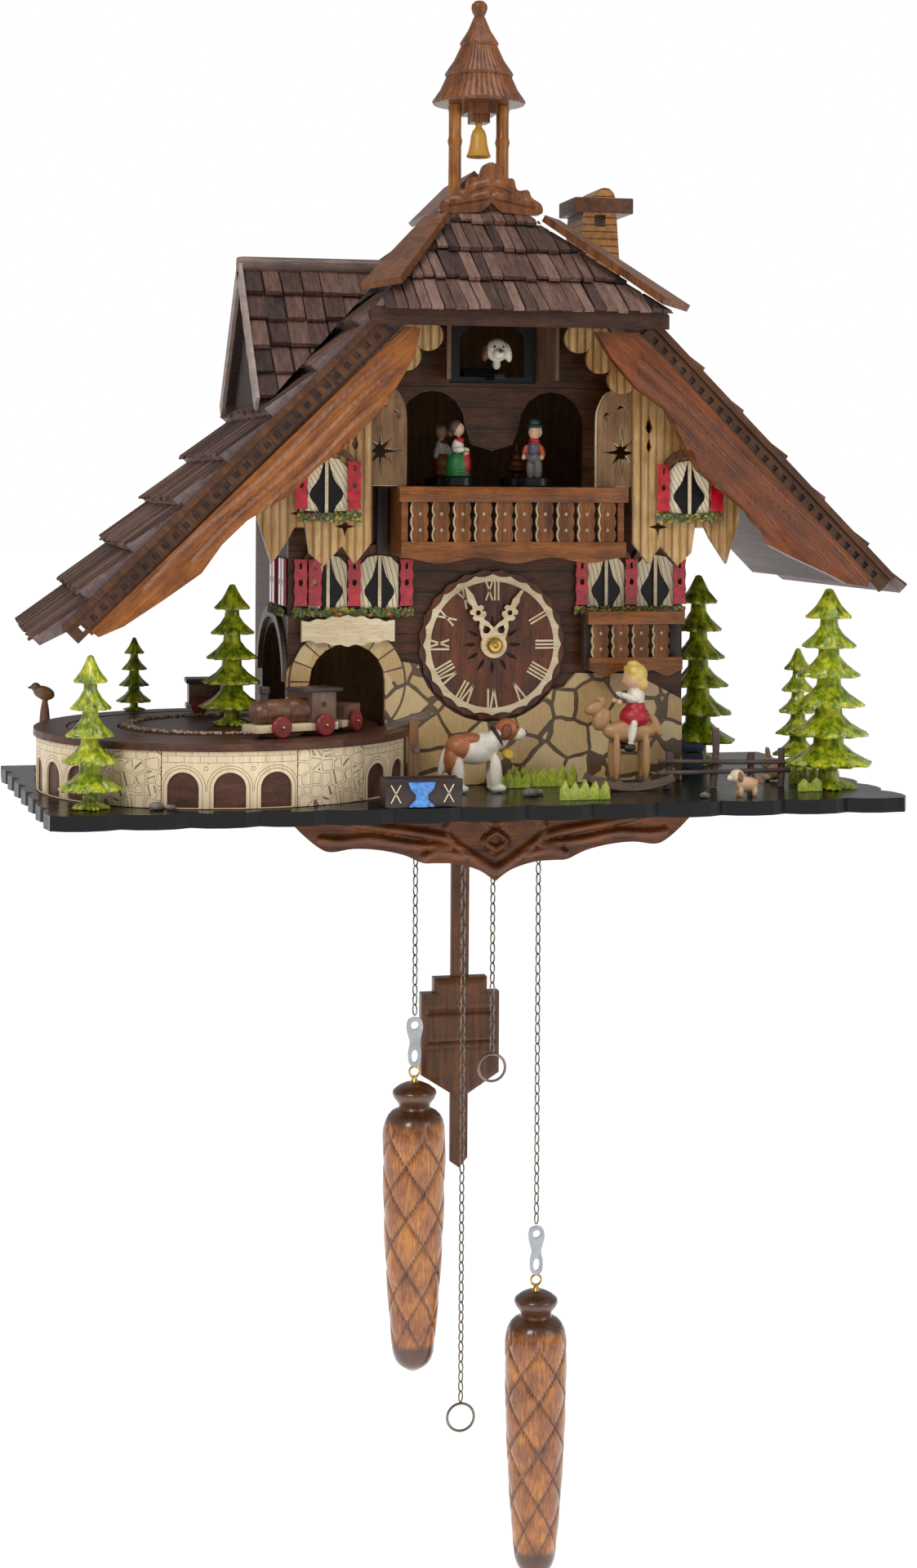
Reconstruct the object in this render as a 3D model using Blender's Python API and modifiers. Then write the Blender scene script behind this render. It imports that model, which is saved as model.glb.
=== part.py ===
"""Chalet cuckoo clock with a turning train, dancers, a herald and two cone weights.

Metres, +Z up.  The origin is on the wall, straight behind the middle of the dial:
X to the viewer's right, -Y out of the wall towards the viewer.
"""
import math
from math import cos, pi, radians, sin, sqrt

import bmesh
import bpy
from mathutils import Matrix, Vector

# ---- driving dimensions -------------------------------------------------------------
GAP = 0.0003            # between faces that touch

PLATE_TOP = -0.0784     # upper face of the base plate
PLATE_THICK = 0.0078
PLATE_DEPTH = 0.232
PLATE_LEFT = 0.249      # distance of the front left corner from the middle
PLATE_RIGHT = 0.212
PLATE_FLARE = 0.017     # the left side runs outwards towards the wall
PLATE_TUCK = 0.007      # and the right side runs inwards
SCALLOP_PITCH = 0.035
SCALLOP_DEPTH = 0.004

HOUSE_LEFT = 0.115
HOUSE_RIGHT = 0.112
HOUSE_DEPTH = 0.1348    # wall to the face of the front board
BOARD = 0.004           # house boards, gable boards and facade

RIDGE_HEIGHT = 0.236    # underside of the roof boards at the ridge
EAVE_LEFT = 0.3196      # slope length of the roof boards, ridge to eave
EAVE_RIGHT = 0.284
ROOF_FRONT = 0.1915     # wall to the front edge of the roof boards
ROOF_BOARD = 0.008
SHINGLE_ROW = 0.034
SHINGLE_LIFT = 0.0055   # butt of a shingle above the row below it
SHINGLE_LEFT = 0.021    # height of the butts above the board's underside
SHINGLE_RIGHT = 0.0165

HIP_SLOPE = 0.705       # rise over run of the hipped end
HIP_FOOT = 0.174        # underside of the hip at its front edge
HIP_FRONT = 0.205
HIP_THICK = 0.0105
HIP_HALF_WIDTH = 0.082

BARGE_THICK = 0.008
GABLE_FACE = 0.165      # wall to the face of the gable boards
GABLE_HALF_WIDTH = 0.136
GABLE_OPENING = 0.147   # width of the opening between the gable boards

ARCH_LEFT = 0.1036      # train arch in the front board
ARCH_RIGHT = 0.0609
ARCH_SPRING = -0.020
SIDE_ARCH_FRONT = 0.125
SIDE_ARCH_BACK = 0.033
SIDE_ARCH_CROWN = 0.010

STAGE_HALF_WIDTH = 0.053    # opening of the dancers' stage
STAGE_FLOOR = 0.0840
STAGE_SPRING = 0.122
STAGE_CROWN = 0.142
DOORWAY_HALF_WIDTH = 0.025
DOORWAY_SILL = 0.1465
DOORWAY_TOP = 0.1822

DIAL_RADIUS = 0.0425
DIAL_THICK = 0.0030
RING_OUTER = DIAL_RADIUS - 0.0030
RING_INNER = DIAL_RADIUS - 0.0150
RING_RAISE = 0.0011
BUSH_RADIUS = 0.0045
HOUR_TUBE_RADIUS = 0.0028
MINUTE_ARBOR_RADIUS = 0.0012
RUNNING_FIT = 0.0003
MINUTE_HAND_LENGTH = DIAL_RADIUS - 0.0060
HOUR_HAND_LENGTH = DIAL_RADIUS - 0.0115
HAND_THICK = 0.0010
MINUTE_HAND_ANGLE = -27.0   # clockwise from twelve
HOUR_HAND_ANGLE = 27.8

PLATFORM_X = -0.148
PLATFORM_Y = -0.117
PLATFORM_HEIGHT = 0.0338
PLATFORM_WALL = 0.1015
DECK_OUTER = 0.1045
TRACK_OUTER = 0.0860
TRACK_INNER = 0.0588
TRACK_GAUGE_RADIUS = 0.0724
DECK_THICK = 0.004
WALL_THICK = 0.0035

CAROUSEL_Y = -0.124
CAROUSEL_RADIUS = 0.042
CAROUSEL_TOP = 0.0885
CAROUSEL_THICK = 0.003
DANCER_ORBIT = 0.031
DANCER_DISC = 0.0095
DANCER_HEIGHT = 0.040

HERALD_OUT = -0.150     # front end of the herald's arm when it is out
ARM_LENGTH = 0.055
DOOR_THICK = 0.0022
DOOR_OPEN = 100.0       # degrees from shut, as it stands

BALCONY_FRONT = 0.178
BALCONY_FLOOR = DIAL_RADIUS + 0.0075
BALCONY_RAIL_TOP = 0.0885
BALCONY_LEFT = 0.060
BALCONY_RIGHT = 0.066

TURRET_Y = -0.097
TURRET_EAVE = 0.3085
TURRET_RADIUS = 0.0272
POST_RADIUS = 0.0040
POST_OFFSET = 0.0140

DORMER_X = -0.138
DORMER_Y = -0.105
DORMER_TOP = 0.210
DORMER_FOOT = 0.132
DORMER_BOARD = 0.005

CHIMNEY_X = 0.0785
CHIMNEY_Y = -0.058
CHIMNEY_TOP = 0.251

CHAIN_Y = -0.090
CHAIN_RADIUS = 0.0016
CHAIN_TOP = -0.0786
LEFT_WEIGHT_X = -0.0333
RIGHT_WEIGHT_X = 0.0397
LEFT_HOOK = -0.2170     # where the chains end and the hooks begin
RIGHT_HOOK = -0.3416
HOOK_LENGTH = 0.0275
WEIGHT_LENGTH = 0.1650
WEIGHT_RADIUS = 0.0180
RING_RADIUS = 0.0083
RING_WIRE = 0.0008
LONG_PULL_X = -0.0050
LONG_PULL = -0.4421
SHORT_PULL_X = 0.0125
SHORT_PULL = -0.2405

PENDULUM_Y = -0.058
PENDULUM_PIVOT = -0.030
ROD_WIDTH = 0.011
ROD_THICK = 0.003
LEAF_THICK = 0.008
PIN_RADIUS = 0.0010

HATCH_X = 0.020         # rear service hatch, lower left corner
HATCH_Z = -0.060
HATCH_WIDTH = 0.072
HATCH_HEIGHT = 0.058
HATCH_PIVOT = 0.0020    # pivot pins, in from the hatch's edge
HATCH_CLEARANCE = 0.0008

CHILD_X = 0.070
CHILD_Y = -0.173
ROCKER_RADIUS = 0.060
ROCKER_HALF_ANGLE = 24.0

for old in list(bpy.data.objects):
    bpy.data.objects.remove(old, do_unlink=True)
clock_parts = bpy.data.collections.new("cuckoo_clock")
cutter_parts = bpy.data.collections.new("cutters")
bpy.context.scene.collection.children.link(clock_parts)
bpy.context.scene.collection.children.link(cutter_parts)


# ---- materials ----------------------------------------------------------------------
def material(name, colour, roughness, metallic=0.0):
    made = bpy.data.materials.new(name)
    made.use_nodes = True
    shader = made.node_tree.nodes["Principled BSDF"]
    shader.inputs["Base Color"].default_value = (*colour, 1.0)
    shader.inputs["Roughness"].default_value = roughness
    shader.inputs["Metallic"].default_value = metallic
    return made


BLACK_GLOSS = material("black_lacquer", (0.012, 0.012, 0.012), 0.25)
WALNUT = material("walnut", (0.090, 0.040, 0.018), 0.45)
CARVED = material("carved_linden", (0.20, 0.075, 0.020), 0.45)
SHINGLE = material("weathered_shingle", (0.16, 0.115, 0.10), 0.75)
GOLDEN = material("golden_wood", (0.50, 0.28, 0.11), 0.45)
MAPLE = material("maple", (0.78, 0.62, 0.40), 0.5)
STONE = material("printed_stone", (0.60, 0.42, 0.21), 0.55)
BRASS = material("brass", (0.75, 0.55, 0.22), 0.25, 1.0)
NICKEL = material("nickel", (0.35, 0.33, 0.31), 0.3, 1.0)
RESIN = material("green_resin", (0.35, 0.42, 0.03), 0.3)
PAINT = material("painted_figure", (0.75, 0.70, 0.62), 0.5)
PLASTIC = material("black_plastic", (0.03, 0.03, 0.03), 0.4)


# ---- shaping helpers ----------------------------------------------------------------
def keep(obj, name, finish, cutter=False):
    """Name an object and put it with the parts, or with the cutters."""
    obj.name = name
    if obj.data.name != name:
        obj.data.name = name
    for user in list(obj.users_collection):
        user.objects.unlink(obj)
    (cutter_parts if cutter else clock_parts).objects.link(obj)
    if cutter:
        obj.hide_render = True
        obj.display_type = "WIRE"
    elif finish is not None:
        obj.data.materials.clear()
        obj.data.materials.append(finish)
    return obj


def from_bmesh(name, shape, finish, cutter=False, at=(0, 0, 0)):
    mesh = bpy.data.meshes.new(name)
    shape.to_mesh(mesh)
    shape.free()
    obj = bpy.data.objects.new(name, mesh)
    obj.location = at
    return keep(obj, name, finish, cutter)


def box(name, low, high, finish=None, cutter=False, at=(0, 0, 0)):
    """A box between two corners, given from the object's own origin."""
    shape = bmesh.new()
    bmesh.ops.create_cube(shape, size=1.0)
    size = Vector(high) - Vector(low)
    middle = (Vector(high) + Vector(low)) / 2
    bmesh.ops.scale(shape, vec=size, verts=shape.verts)
    bmesh.ops.translate(shape, vec=middle, verts=shape.verts)
    return from_bmesh(name, shape, finish, cutter, at)


def ball(name, centre, radii, finish=None, cutter=False, at=(0, 0, 0), turn=0.0):
    """An ellipsoid, turned about the upright axis."""
    shape = bmesh.new()
    bmesh.ops.create_uvsphere(shape, u_segments=10, v_segments=6, radius=1.0)
    bmesh.ops.scale(shape, vec=Vector(radii), verts=shape.verts)
    bmesh.ops.rotate(shape, matrix=Matrix.Rotation(turn, 3, "Z"), verts=shape.verts)
    bmesh.ops.translate(shape, vec=Vector(centre), verts=shape.verts)
    return from_bmesh(name, shape, finish, cutter, at)


def rod(name, start, end, radius, finish=None, cutter=False, sides=12, at=(0, 0, 0)):
    """A round bar between two points."""
    start, end = Vector(start), Vector(end)
    run = end - start
    shape = bmesh.new()
    bmesh.ops.create_cone(shape, cap_ends=True, segments=sides, radius1=radius, radius2=radius,
                          depth=run.length)
    aim = run.to_track_quat("Z", "Y").to_matrix()
    bmesh.ops.rotate(shape, matrix=aim, verts=shape.verts)
    bmesh.ops.translate(shape, vec=(start + end) / 2, verts=shape.verts)
    return from_bmesh(name, shape, finish, cutter, at)


AXIS_TURN = {"Z": (0.0, 0.0, 0.0), "Y": (pi / 2, 0.0, 0.0), "X": (pi / 2, 0.0, pi / 2)}


def slab(name, outline, axis, low, high, finish=None, holes=(), cutter=False, at=None):
    """A flat outline with holes, from low to high along an axis.

    The outline is (x, z) along Y, (y, z) along X and (x, y) along Z.  With a pivot given
    in at, the finished mesh is measured from there.
    """
    curve = bpy.data.curves.new(name, "CURVE")
    curve.dimensions = "2D"
    curve.fill_mode = "BOTH"
    curve.extrude = abs(high - low) / 2
    for loop in (outline, *holes):
        spline = curve.splines.new("POLY")
        spline.points.add(len(loop) - 1)
        for point, (u, v) in zip(spline.points, loop):
            point.co = (u, v, 0.0, 1.0)
        spline.use_cyclic_u = True
    drawn = bpy.data.objects.new(name, curve)
    drawn.rotation_euler = AXIS_TURN[axis]
    drawn.location["XYZ".index(axis)] = (low + high) / 2
    bpy.context.scene.collection.objects.link(drawn)
    bpy.context.view_layer.update()
    graph = bpy.context.evaluated_depsgraph_get()
    mesh = bpy.data.meshes.new_from_object(drawn.evaluated_get(graph))
    mesh.transform(drawn.matrix_world)
    bpy.data.objects.remove(drawn, do_unlink=True)
    shape = bmesh.new()
    shape.from_mesh(mesh)
    bpy.data.meshes.remove(mesh)
    bmesh.ops.remove_doubles(shape, verts=shape.verts, dist=0.00002)
    bmesh.ops.recalc_face_normals(shape, faces=shape.faces)
    origin = Vector(at) if at is not None else Vector((0, 0, 0))
    bmesh.ops.translate(shape, vec=-origin, verts=shape.verts)
    return from_bmesh(name, shape, finish, cutter, origin)


def turned(name, profile, finish=None, steps=24, at=(0, 0, 0), axis="Z", closed=False, cutter=False):
    """A turned shape: (radius, height) points, down the outer side from the top."""
    mesh = bpy.data.meshes.new(name)
    edges = [(i, i + 1) for i in range(len(profile) - 1)]
    if closed:
        edges.append((len(profile) - 1, 0))
    mesh.from_pydata([(r, 0.0, z) for r, z in profile], edges, [])
    obj = bpy.data.objects.new(name, mesh)
    spin = obj.modifiers.new("spin", "SCREW")
    spin.steps = steps
    spin.render_steps = steps
    spin.use_merge_vertices = True
    spin.merge_threshold = 0.00005
    spin.use_smooth_shade = False
    obj.location = at
    if axis == "Y":
        obj.rotation_euler = (pi / 2, 0.0, 0.0)
    return keep(obj, name, finish, cutter)


def combine(target, others, operation):
    """Join cutters to a part, or cut them from it, one after the other."""
    for number, other in enumerate(others):
        step = target.modifiers.new(f"{operation.lower()}_{number}", "BOOLEAN")
        step.operation = operation
        step.solver = "EXACT"
        step.object = other
    return target


def arc(cx, cy, rx, ry, start, end, count):
    """Points on part of an ellipse, both ends included, angles in degrees."""
    points = []
    for i in range(count + 1):
        angle = radians(start + (end - start) * i / count)
        points.append((cx + rx * cos(angle), cy + ry * sin(angle)))
    return points


def circle(cx, cy, radius, count):
    return arc(cx, cy, radius, radius, 0, 360 * (count - 1) / count, count - 1)


def beam(name, start, end, width, thick, facing, finish=None, taper=1.0):
    """A flat board from start to end, its broad face looking along facing."""
    start, end = Vector(start), Vector(end)
    along = (end - start).normalized()
    out = Vector(facing)
    out = (out - along * out.dot(along)).normalized()
    side = out.cross(along)
    shape = bmesh.new()
    bmesh.ops.create_cube(shape, size=1.0)
    length = (end - start).length
    for vert in shape.verts:
        wide = width * (taper if vert.co.x < 0 else 1.0)
        place = along * (vert.co.x * length) + side * (vert.co.y * wide) + out * (vert.co.z * thick)
        vert.co = (start + end) / 2 + place
    bmesh.ops.recalc_face_normals(shape, faces=shape.faces)
    return from_bmesh(name, shape, finish)


# ---- base plate and carving ---------------------------------------------------------
def scallops(start, end, count, depth):
    """A run of shallow bows between two points, bulging to the right of the run."""
    start, end = Vector(start), Vector(end)
    side = Vector(((end - start).y, -(end - start).x)).normalized()
    points = []
    for i in range(count):
        for share, bulge in ((0.0, -1.0), (0.22, 0.0), (0.5, 0.35), (0.78, 0.0)):
            along = (i + share) / count
            points.append(tuple(start.lerp(end, along) + side * depth * bulge))
    return points


front_left = (-PLATE_LEFT, -PLATE_DEPTH)
front_right = (PLATE_RIGHT, -PLATE_DEPTH)
back_right = (PLATE_RIGHT - PLATE_TUCK, 0.0)
back_left = (-PLATE_LEFT - PLATE_FLARE, 0.0)
front_count = round((PLATE_LEFT + PLATE_RIGHT) / SCALLOP_PITCH)
side_count = round(PLATE_DEPTH / SCALLOP_PITCH)
plate_outline = scallops(front_left, front_right, front_count, SCALLOP_DEPTH)
plate_outline += scallops(front_right, back_right, side_count, SCALLOP_DEPTH)
plate_outline += [back_right, back_left]
plate_outline += scallops(back_left, front_left, side_count, SCALLOP_DEPTH)
WINDOW_LEFT = min(LEFT_WEIGHT_X, LONG_PULL_X) - 0.0165
WINDOW_RIGHT = RIGHT_WEIGHT_X + 0.0125
WINDOW_FRONT = CHAIN_Y - 0.008
WINDOW_BACK = PENDULUM_Y + 0.012
window = [(WINDOW_LEFT, WINDOW_FRONT), (WINDOW_RIGHT, WINDOW_FRONT),
          (WINDOW_RIGHT, WINDOW_BACK), (WINDOW_LEFT, WINDOW_BACK)]
slab("base_plate", plate_outline, "Z", PLATE_TOP - PLATE_THICK, PLATE_TOP, BLACK_GLOSS, [window])

CARVING_FACE = -0.152
CARVING_THICK = 0.012
CARVING_HALF = 0.126
carving_top = PLATE_TOP - PLATE_THICK - GAP
carving_half = [(CARVING_HALF, 0.0), (0.112, -0.010), (0.100, -0.021), (0.088, -0.031),
                (0.048, -0.031), (0.040, -0.037), (0.016, -0.037), (0.008, -0.041), (0.0, -0.045)]
carving_outline = [(x, carving_top + z) for x, z in carving_half]
carving_outline += [(-x, z) for x, z in reversed(carving_outline[:-1])]
slab("base_carving", carving_outline, "Y", CARVING_FACE, CARVING_FACE + CARVING_THICK, CARVED)


# ---- house --------------------------------------------------------------------------
house_foot = PLATE_TOP + GAP
front_face = -HOUSE_DEPTH
front_back = front_face + BOARD
eave_clear = RIDGE_HEIGHT - 0.0005
hip_under_front = HIP_FOOT + HIP_SLOPE * (HIP_FRONT - HOUSE_DEPTH)
apex_flat = hip_under_front - 0.0015
pillar_foot = PLATE_TOP + PLATFORM_HEIGHT + GAP     # the corner stands on the platform's island
arch_middle = -(ARCH_LEFT + ARCH_RIGHT) / 2
arch_half = (ARCH_LEFT - ARCH_RIGHT) / 2
front_outline = [(-ARCH_RIGHT, house_foot), (HOUSE_RIGHT, house_foot),
                 (HOUSE_RIGHT, eave_clear - HOUSE_RIGHT), (eave_clear - apex_flat, apex_flat),
                 (apex_flat - eave_clear, apex_flat), (-HOUSE_LEFT, eave_clear - HOUSE_LEFT),
                 (-HOUSE_LEFT, pillar_foot), (-ARCH_LEFT, pillar_foot)]
front_outline += arc(arch_middle, ARCH_SPRING, arch_half, arch_half, 180, 0, 10)
stage_quarter = (STAGE_HALF_WIDTH - 0.0155) / 2
stage_hole = [(-STAGE_HALF_WIDTH, STAGE_FLOOR), (STAGE_HALF_WIDTH, STAGE_FLOOR),
              (STAGE_HALF_WIDTH, STAGE_SPRING)]
stage_hole += arc(STAGE_HALF_WIDTH - stage_quarter, STAGE_SPRING, stage_quarter,
                  STAGE_CROWN - STAGE_SPRING, 0, 180, 8)[1:]
stage_hole += [(0.012, 0.112), (0.0, 0.1085), (-0.012, 0.112)]
stage_hole += arc(stage_quarter - STAGE_HALF_WIDTH, STAGE_SPRING, stage_quarter,
                  STAGE_CROWN - STAGE_SPRING, 0, 180, 8)
doorway_hole = [(-DOORWAY_HALF_WIDTH, DOORWAY_SILL), (DOORWAY_HALF_WIDTH, DOORWAY_SILL),
                (DOORWAY_HALF_WIDTH, DOORWAY_TOP), (-DOORWAY_HALF_WIDTH, DOORWAY_TOP)]
bush_hole = circle(0, 0, BUSH_RADIUS + GAP, 16)
slab("house_front", front_outline, "Y", front_face, front_back, WALNUT,
     [stage_hole, doorway_hole, bush_hole])

wall_front = front_back + GAP
wall_back = -BOARD - GAP
side_middle = -(SIDE_ARCH_FRONT + SIDE_ARCH_BACK) / 2
side_half = (SIDE_ARCH_FRONT - SIDE_ARCH_BACK) / 2
left_top = eave_clear - HOUSE_LEFT - GAP
left_outline = [(wall_back, house_foot), (wall_back, left_top), (wall_front, left_top),
                (wall_front, pillar_foot), (-SIDE_ARCH_FRONT, pillar_foot)]
left_outline += arc(side_middle, ARCH_SPRING, side_half, SIDE_ARCH_CROWN - ARCH_SPRING, 180, 0, 12)
left_outline += [(-SIDE_ARCH_BACK, house_foot)]
slab("left_wall", left_outline, "X", -HOUSE_LEFT, BOARD - HOUSE_LEFT, WALNUT)
right_top = eave_clear - HOUSE_RIGHT - GAP
right_outline = [(wall_front, house_foot), (wall_back, house_foot), (wall_back, right_top),
                 (wall_front, right_top)]
slab("right_wall", right_outline, "X", HOUSE_RIGHT - BOARD, HOUSE_RIGHT, WALNUT)

hatch_hole = [(HATCH_X - HATCH_CLEARANCE, HATCH_Z - HATCH_CLEARANCE),
              (HATCH_X + HATCH_WIDTH + HATCH_CLEARANCE, HATCH_Z - HATCH_CLEARANCE),
              (HATCH_X + HATCH_WIDTH + HATCH_CLEARANCE, HATCH_Z + HATCH_HEIGHT + HATCH_CLEARANCE),
              (HATCH_X - HATCH_CLEARANCE, HATCH_Z + HATCH_HEIGHT + HATCH_CLEARANCE)]
HANGER_HEIGHT = 0.188
HANGER_RADIUS = 0.006
HANGER_SLOT = 0.0025
hanger_hole = arc(0, HANGER_HEIGHT, HANGER_RADIUS, HANGER_RADIUS, 115, 425, 12)
hanger_hole += [(HANGER_SLOT, HANGER_HEIGHT + 0.013), (-HANGER_SLOT, HANGER_HEIGHT + 0.013)]
back_outline = [(-HOUSE_LEFT, house_foot), (HOUSE_RIGHT, house_foot),
                (HOUSE_RIGHT, eave_clear - HOUSE_RIGHT - GAP), (0, eave_clear - GAP),
                (-HOUSE_LEFT, eave_clear - HOUSE_LEFT - GAP)]
slab("back_panel", back_outline, "Y", -BOARD, 0.0, WALNUT, [hatch_hole, hanger_hole])
hatch_axis = (HATCH_X + HATCH_PIVOT, -BOARD / 2, HATCH_Z + HATCH_HEIGHT / 2)
box("rear_hatch", (-HATCH_PIVOT, -BOARD / 2 + 0.0005, -HATCH_HEIGHT / 2),
    (HATCH_WIDTH - HATCH_PIVOT, BOARD / 2 - 0.0005, HATCH_HEIGHT / 2), WALNUT, at=hatch_axis)

facade_face = front_face - GAP - BOARD
dial_notch = DIAL_RADIUS + 0.0010
facade_outline = [(-HOUSE_LEFT - 0.001, pillar_foot), (-ARCH_LEFT, pillar_foot)]
facade_outline += arc(arch_middle, ARCH_SPRING, arch_half, arch_half, 180, 0, 10)
facade_outline += [(-ARCH_RIGHT, house_foot), (HOUSE_RIGHT - 0.001, house_foot),
                   (HOUSE_RIGHT - 0.001, -0.032), (0.096, -0.024), (0.082, -0.017),
                   (dial_notch + 0.0055, -0.0165), (dial_notch - 0.0015, -0.024)]
facade_outline += arc(0, 0, dial_notch, dial_notch, -36, -166, 14)
facade_outline += arc(arch_middle, ARCH_SPRING, arch_half + 0.011, arch_half + 0.011, 20, 160, 8)
facade_outline += [(-HOUSE_LEFT - 0.001, ARCH_SPRING + 0.006)]
slab("stone_facade", facade_outline, "Y", facade_face, facade_face + BOARD, STONE)


# ---- dial and movement --------------------------------------------------------------
dial_back = front_face - GAP
dial_face = dial_back - DIAL_THICK
bore = BUSH_RADIUS + GAP
dial_profile = [(bore, DIAL_THICK), (RING_INNER, DIAL_THICK), (RING_INNER, DIAL_THICK + RING_RAISE),
                (RING_OUTER, DIAL_THICK + RING_RAISE), (RING_OUTER, DIAL_THICK),
                (DIAL_RADIUS, DIAL_THICK), (DIAL_RADIUS, 0.0), (bore, 0.0)]
turned("dial", dial_profile, MAPLE, 40, at=(0, dial_back, 0), axis="Y", closed=True)

MOVEMENT = 0.056
movement_front = front_back + GAP
bush_end = dial_face - 0.0018
movement = box("clock_movement", (-MOVEMENT / 2, movement_front, -MOVEMENT / 2),
               (MOVEMENT / 2, movement_front + 0.016, MOVEMENT / 2), PLASTIC)
bush = rod("bush", (0, movement_front + 0.004, 0), (0, bush_end, 0), BUSH_RADIUS, cutter=True, sides=16)
bush_bore = rod("bush_bore", (0, movement_front + 0.008, 0), (0, bush_end - 0.004, 0),
                HOUR_TUBE_RADIUS + RUNNING_FIT, cutter=True, sides=16)
combine(movement, [bush], "UNION")
combine(movement, [bush_bore], "DIFFERENCE")


def hand_outline(length, hub, neck, waist):
    """A pierced-style wooden hand: round hub, slim neck, broad leaf and a point."""
    right = [(hub * 0.8, hub * 0.6), (neck, length * 0.28), (waist, length * 0.42),
             (waist * 0.9, length * 0.55), (neck * 0.9, length * 0.62), (waist * 0.7, length * 0.72),
             (neck * 0.8, length * 0.82)]
    outline = right + [(0.0, length)] + [(-x, z) for x, z in reversed(right)]
    outline += arc(0, 0, hub, hub, 143, 397, 10)[1:-1]
    return outline


hour_back = bush_end - 0.0006
minute_back = hour_back - HAND_THICK - 0.0012
hour_shape = hand_outline(HOUR_HAND_LENGTH, 0.0055, 0.0018, 0.0042)
hour_hand = slab("hour_hand", hour_shape, "Y", -HAND_THICK, 0.0, MAPLE)
hour_hand.location = (0, hour_back, 0)
hour_hand.rotation_euler = (0, radians(HOUR_HAND_ANGLE), 0)
tube_length = movement_front + 0.006 - hour_back
hour_tube = rod("hour_tube", (0, 0.001, 0), (0, tube_length, 0), HOUR_TUBE_RADIUS, cutter=True, sides=12,
                at=(0, hour_back, 0))
hour_tube_top = rod("hour_tube_top", (0, 0.0015, 0), (0, -0.0005, 0), HOUR_TUBE_RADIUS, cutter=True,
                    sides=12, at=(0, hour_back, 0))
hour_bore = rod("hour_bore", (0, tube_length + 0.002, 0), (0, -0.003, 0),
                MINUTE_ARBOR_RADIUS + RUNNING_FIT, cutter=True, sides=12, at=(0, hour_back, 0))
combine(hour_hand, [hour_tube_top, hour_tube], "UNION")
combine(hour_hand, [hour_bore], "DIFFERENCE")

minute_shape = hand_outline(MINUTE_HAND_LENGTH, 0.0048, 0.0014, 0.0030)
minute_hand = slab("minute_hand", minute_shape, "Y", -HAND_THICK, 0.0, MAPLE)
minute_hand.location = (0, minute_back, 0)
minute_hand.rotation_euler = (0, radians(MINUTE_HAND_ANGLE), 0)
arbor_length = movement_front + 0.005 - minute_back
minute_arbor = rod("minute_arbor", (0, -0.0005, 0), (0, arbor_length, 0), MINUTE_ARBOR_RADIUS,
                   cutter=True, sides=10, at=(0, minute_back, 0))
combine(minute_hand, [minute_arbor], "UNION")
nut_back = minute_back - HAND_THICK - GAP
turned("hand_nut", [(0, 0.0032), (0.0026, 0.0030), (0.0044, 0.0016), (0.0046, 0.0), (0, 0)], BRASS, 14,
       at=(0, nut_back, 0), axis="Y")


# ---- roof ---------------------------------------------------------------------------
def slope_point(side, down, out):
    """A point of the gable section: down the slope from the ridge and out from the board."""
    across = (down + out) / sqrt(2)
    return (side * across, RIDGE_HEIGHT + (out - down) / sqrt(2))


def shingle_outline(side, eave, height):
    """Board underside, eave and a saw-tooth of shingle rows up to the ridge."""
    last = eave + 0.0225 * height / SHINGLE_LEFT
    points = [(side * GAP, RIDGE_HEIGHT), slope_point(side, eave, 0.0), slope_point(side, eave, ROOF_BOARD)]
    points.append(slope_point(side, last, height - SHINGLE_LIFT))
    butt = last
    while butt > SHINGLE_ROW * 0.6:
        points.append(slope_point(side, butt, height))
        butt -= SHINGLE_ROW
        if butt > height:
            points.append(slope_point(side, butt, height - SHINGLE_LIFT))
    top = RIDGE_HEIGHT + (height - SHINGLE_LIFT) * sqrt(2)
    points.append((side * GAP, top))
    return points


hip_clear = slab("hip_clear", [(-0.30, HIP_FOOT - HIP_SLOPE * (0.30 - HIP_FRONT) - GAP * 1.5),
                               (-0.02, HIP_FOOT + HIP_SLOPE * (HIP_FRONT - 0.02) - GAP * 1.5),
                               (-0.02, 0.40), (-0.30, 0.40)], "X", -0.16, 0.16, cutter=True)
for side_name, side, eave, height in (("roof_left", -1, EAVE_LEFT, SHINGLE_LEFT),
                                      ("roof_right", 1, EAVE_RIGHT, SHINGLE_RIGHT)):
    roof = slab(side_name, shingle_outline(side, eave, height), "Y", -ROOF_FRONT, -GAP, SHINGLE)
    combine(roof, [hip_clear], "DIFFERENCE")


def hip_top(y, extra=0.0):
    return HIP_FOOT + HIP_THICK + extra + HIP_SLOPE * (HIP_FRONT + y)


HIP_ROWS = 4
hip_run = (RIDGE_HEIGHT + 0.0095 - HIP_FOOT) / HIP_SLOPE
hip_outline = [(-HIP_FRONT, HIP_FOOT), (-HIP_FRONT + hip_run, HIP_FOOT + HIP_SLOPE * hip_run)]
for row in range(HIP_ROWS, 0, -1):
    butt_y = -HIP_FRONT + hip_run * (row - 1) / HIP_ROWS
    top_y = -HIP_FRONT + hip_run * row / HIP_ROWS
    hip_outline += [(top_y, hip_top(top_y, -0.002)), (butt_y, hip_top(butt_y, 0.0015))]
hip_roof = slab("hip_roof", hip_outline, "X", -HIP_HALF_WIDTH, HIP_HALF_WIDTH, SHINGLE)
for side in (-1, 1):
    trim_line = RIDGE_HEIGHT + 0.0275
    trim = slab(f"hip_trim_{side}", [(side * 0.0, trim_line), (side * 0.2, trim_line - 0.2),
                                     (side * 0.3, 0.4), (side * 0.0, 0.4)],
                "Y", -0.25, -0.05, cutter=True)
    combine(hip_roof, [trim], "DIFFERENCE")

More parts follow.
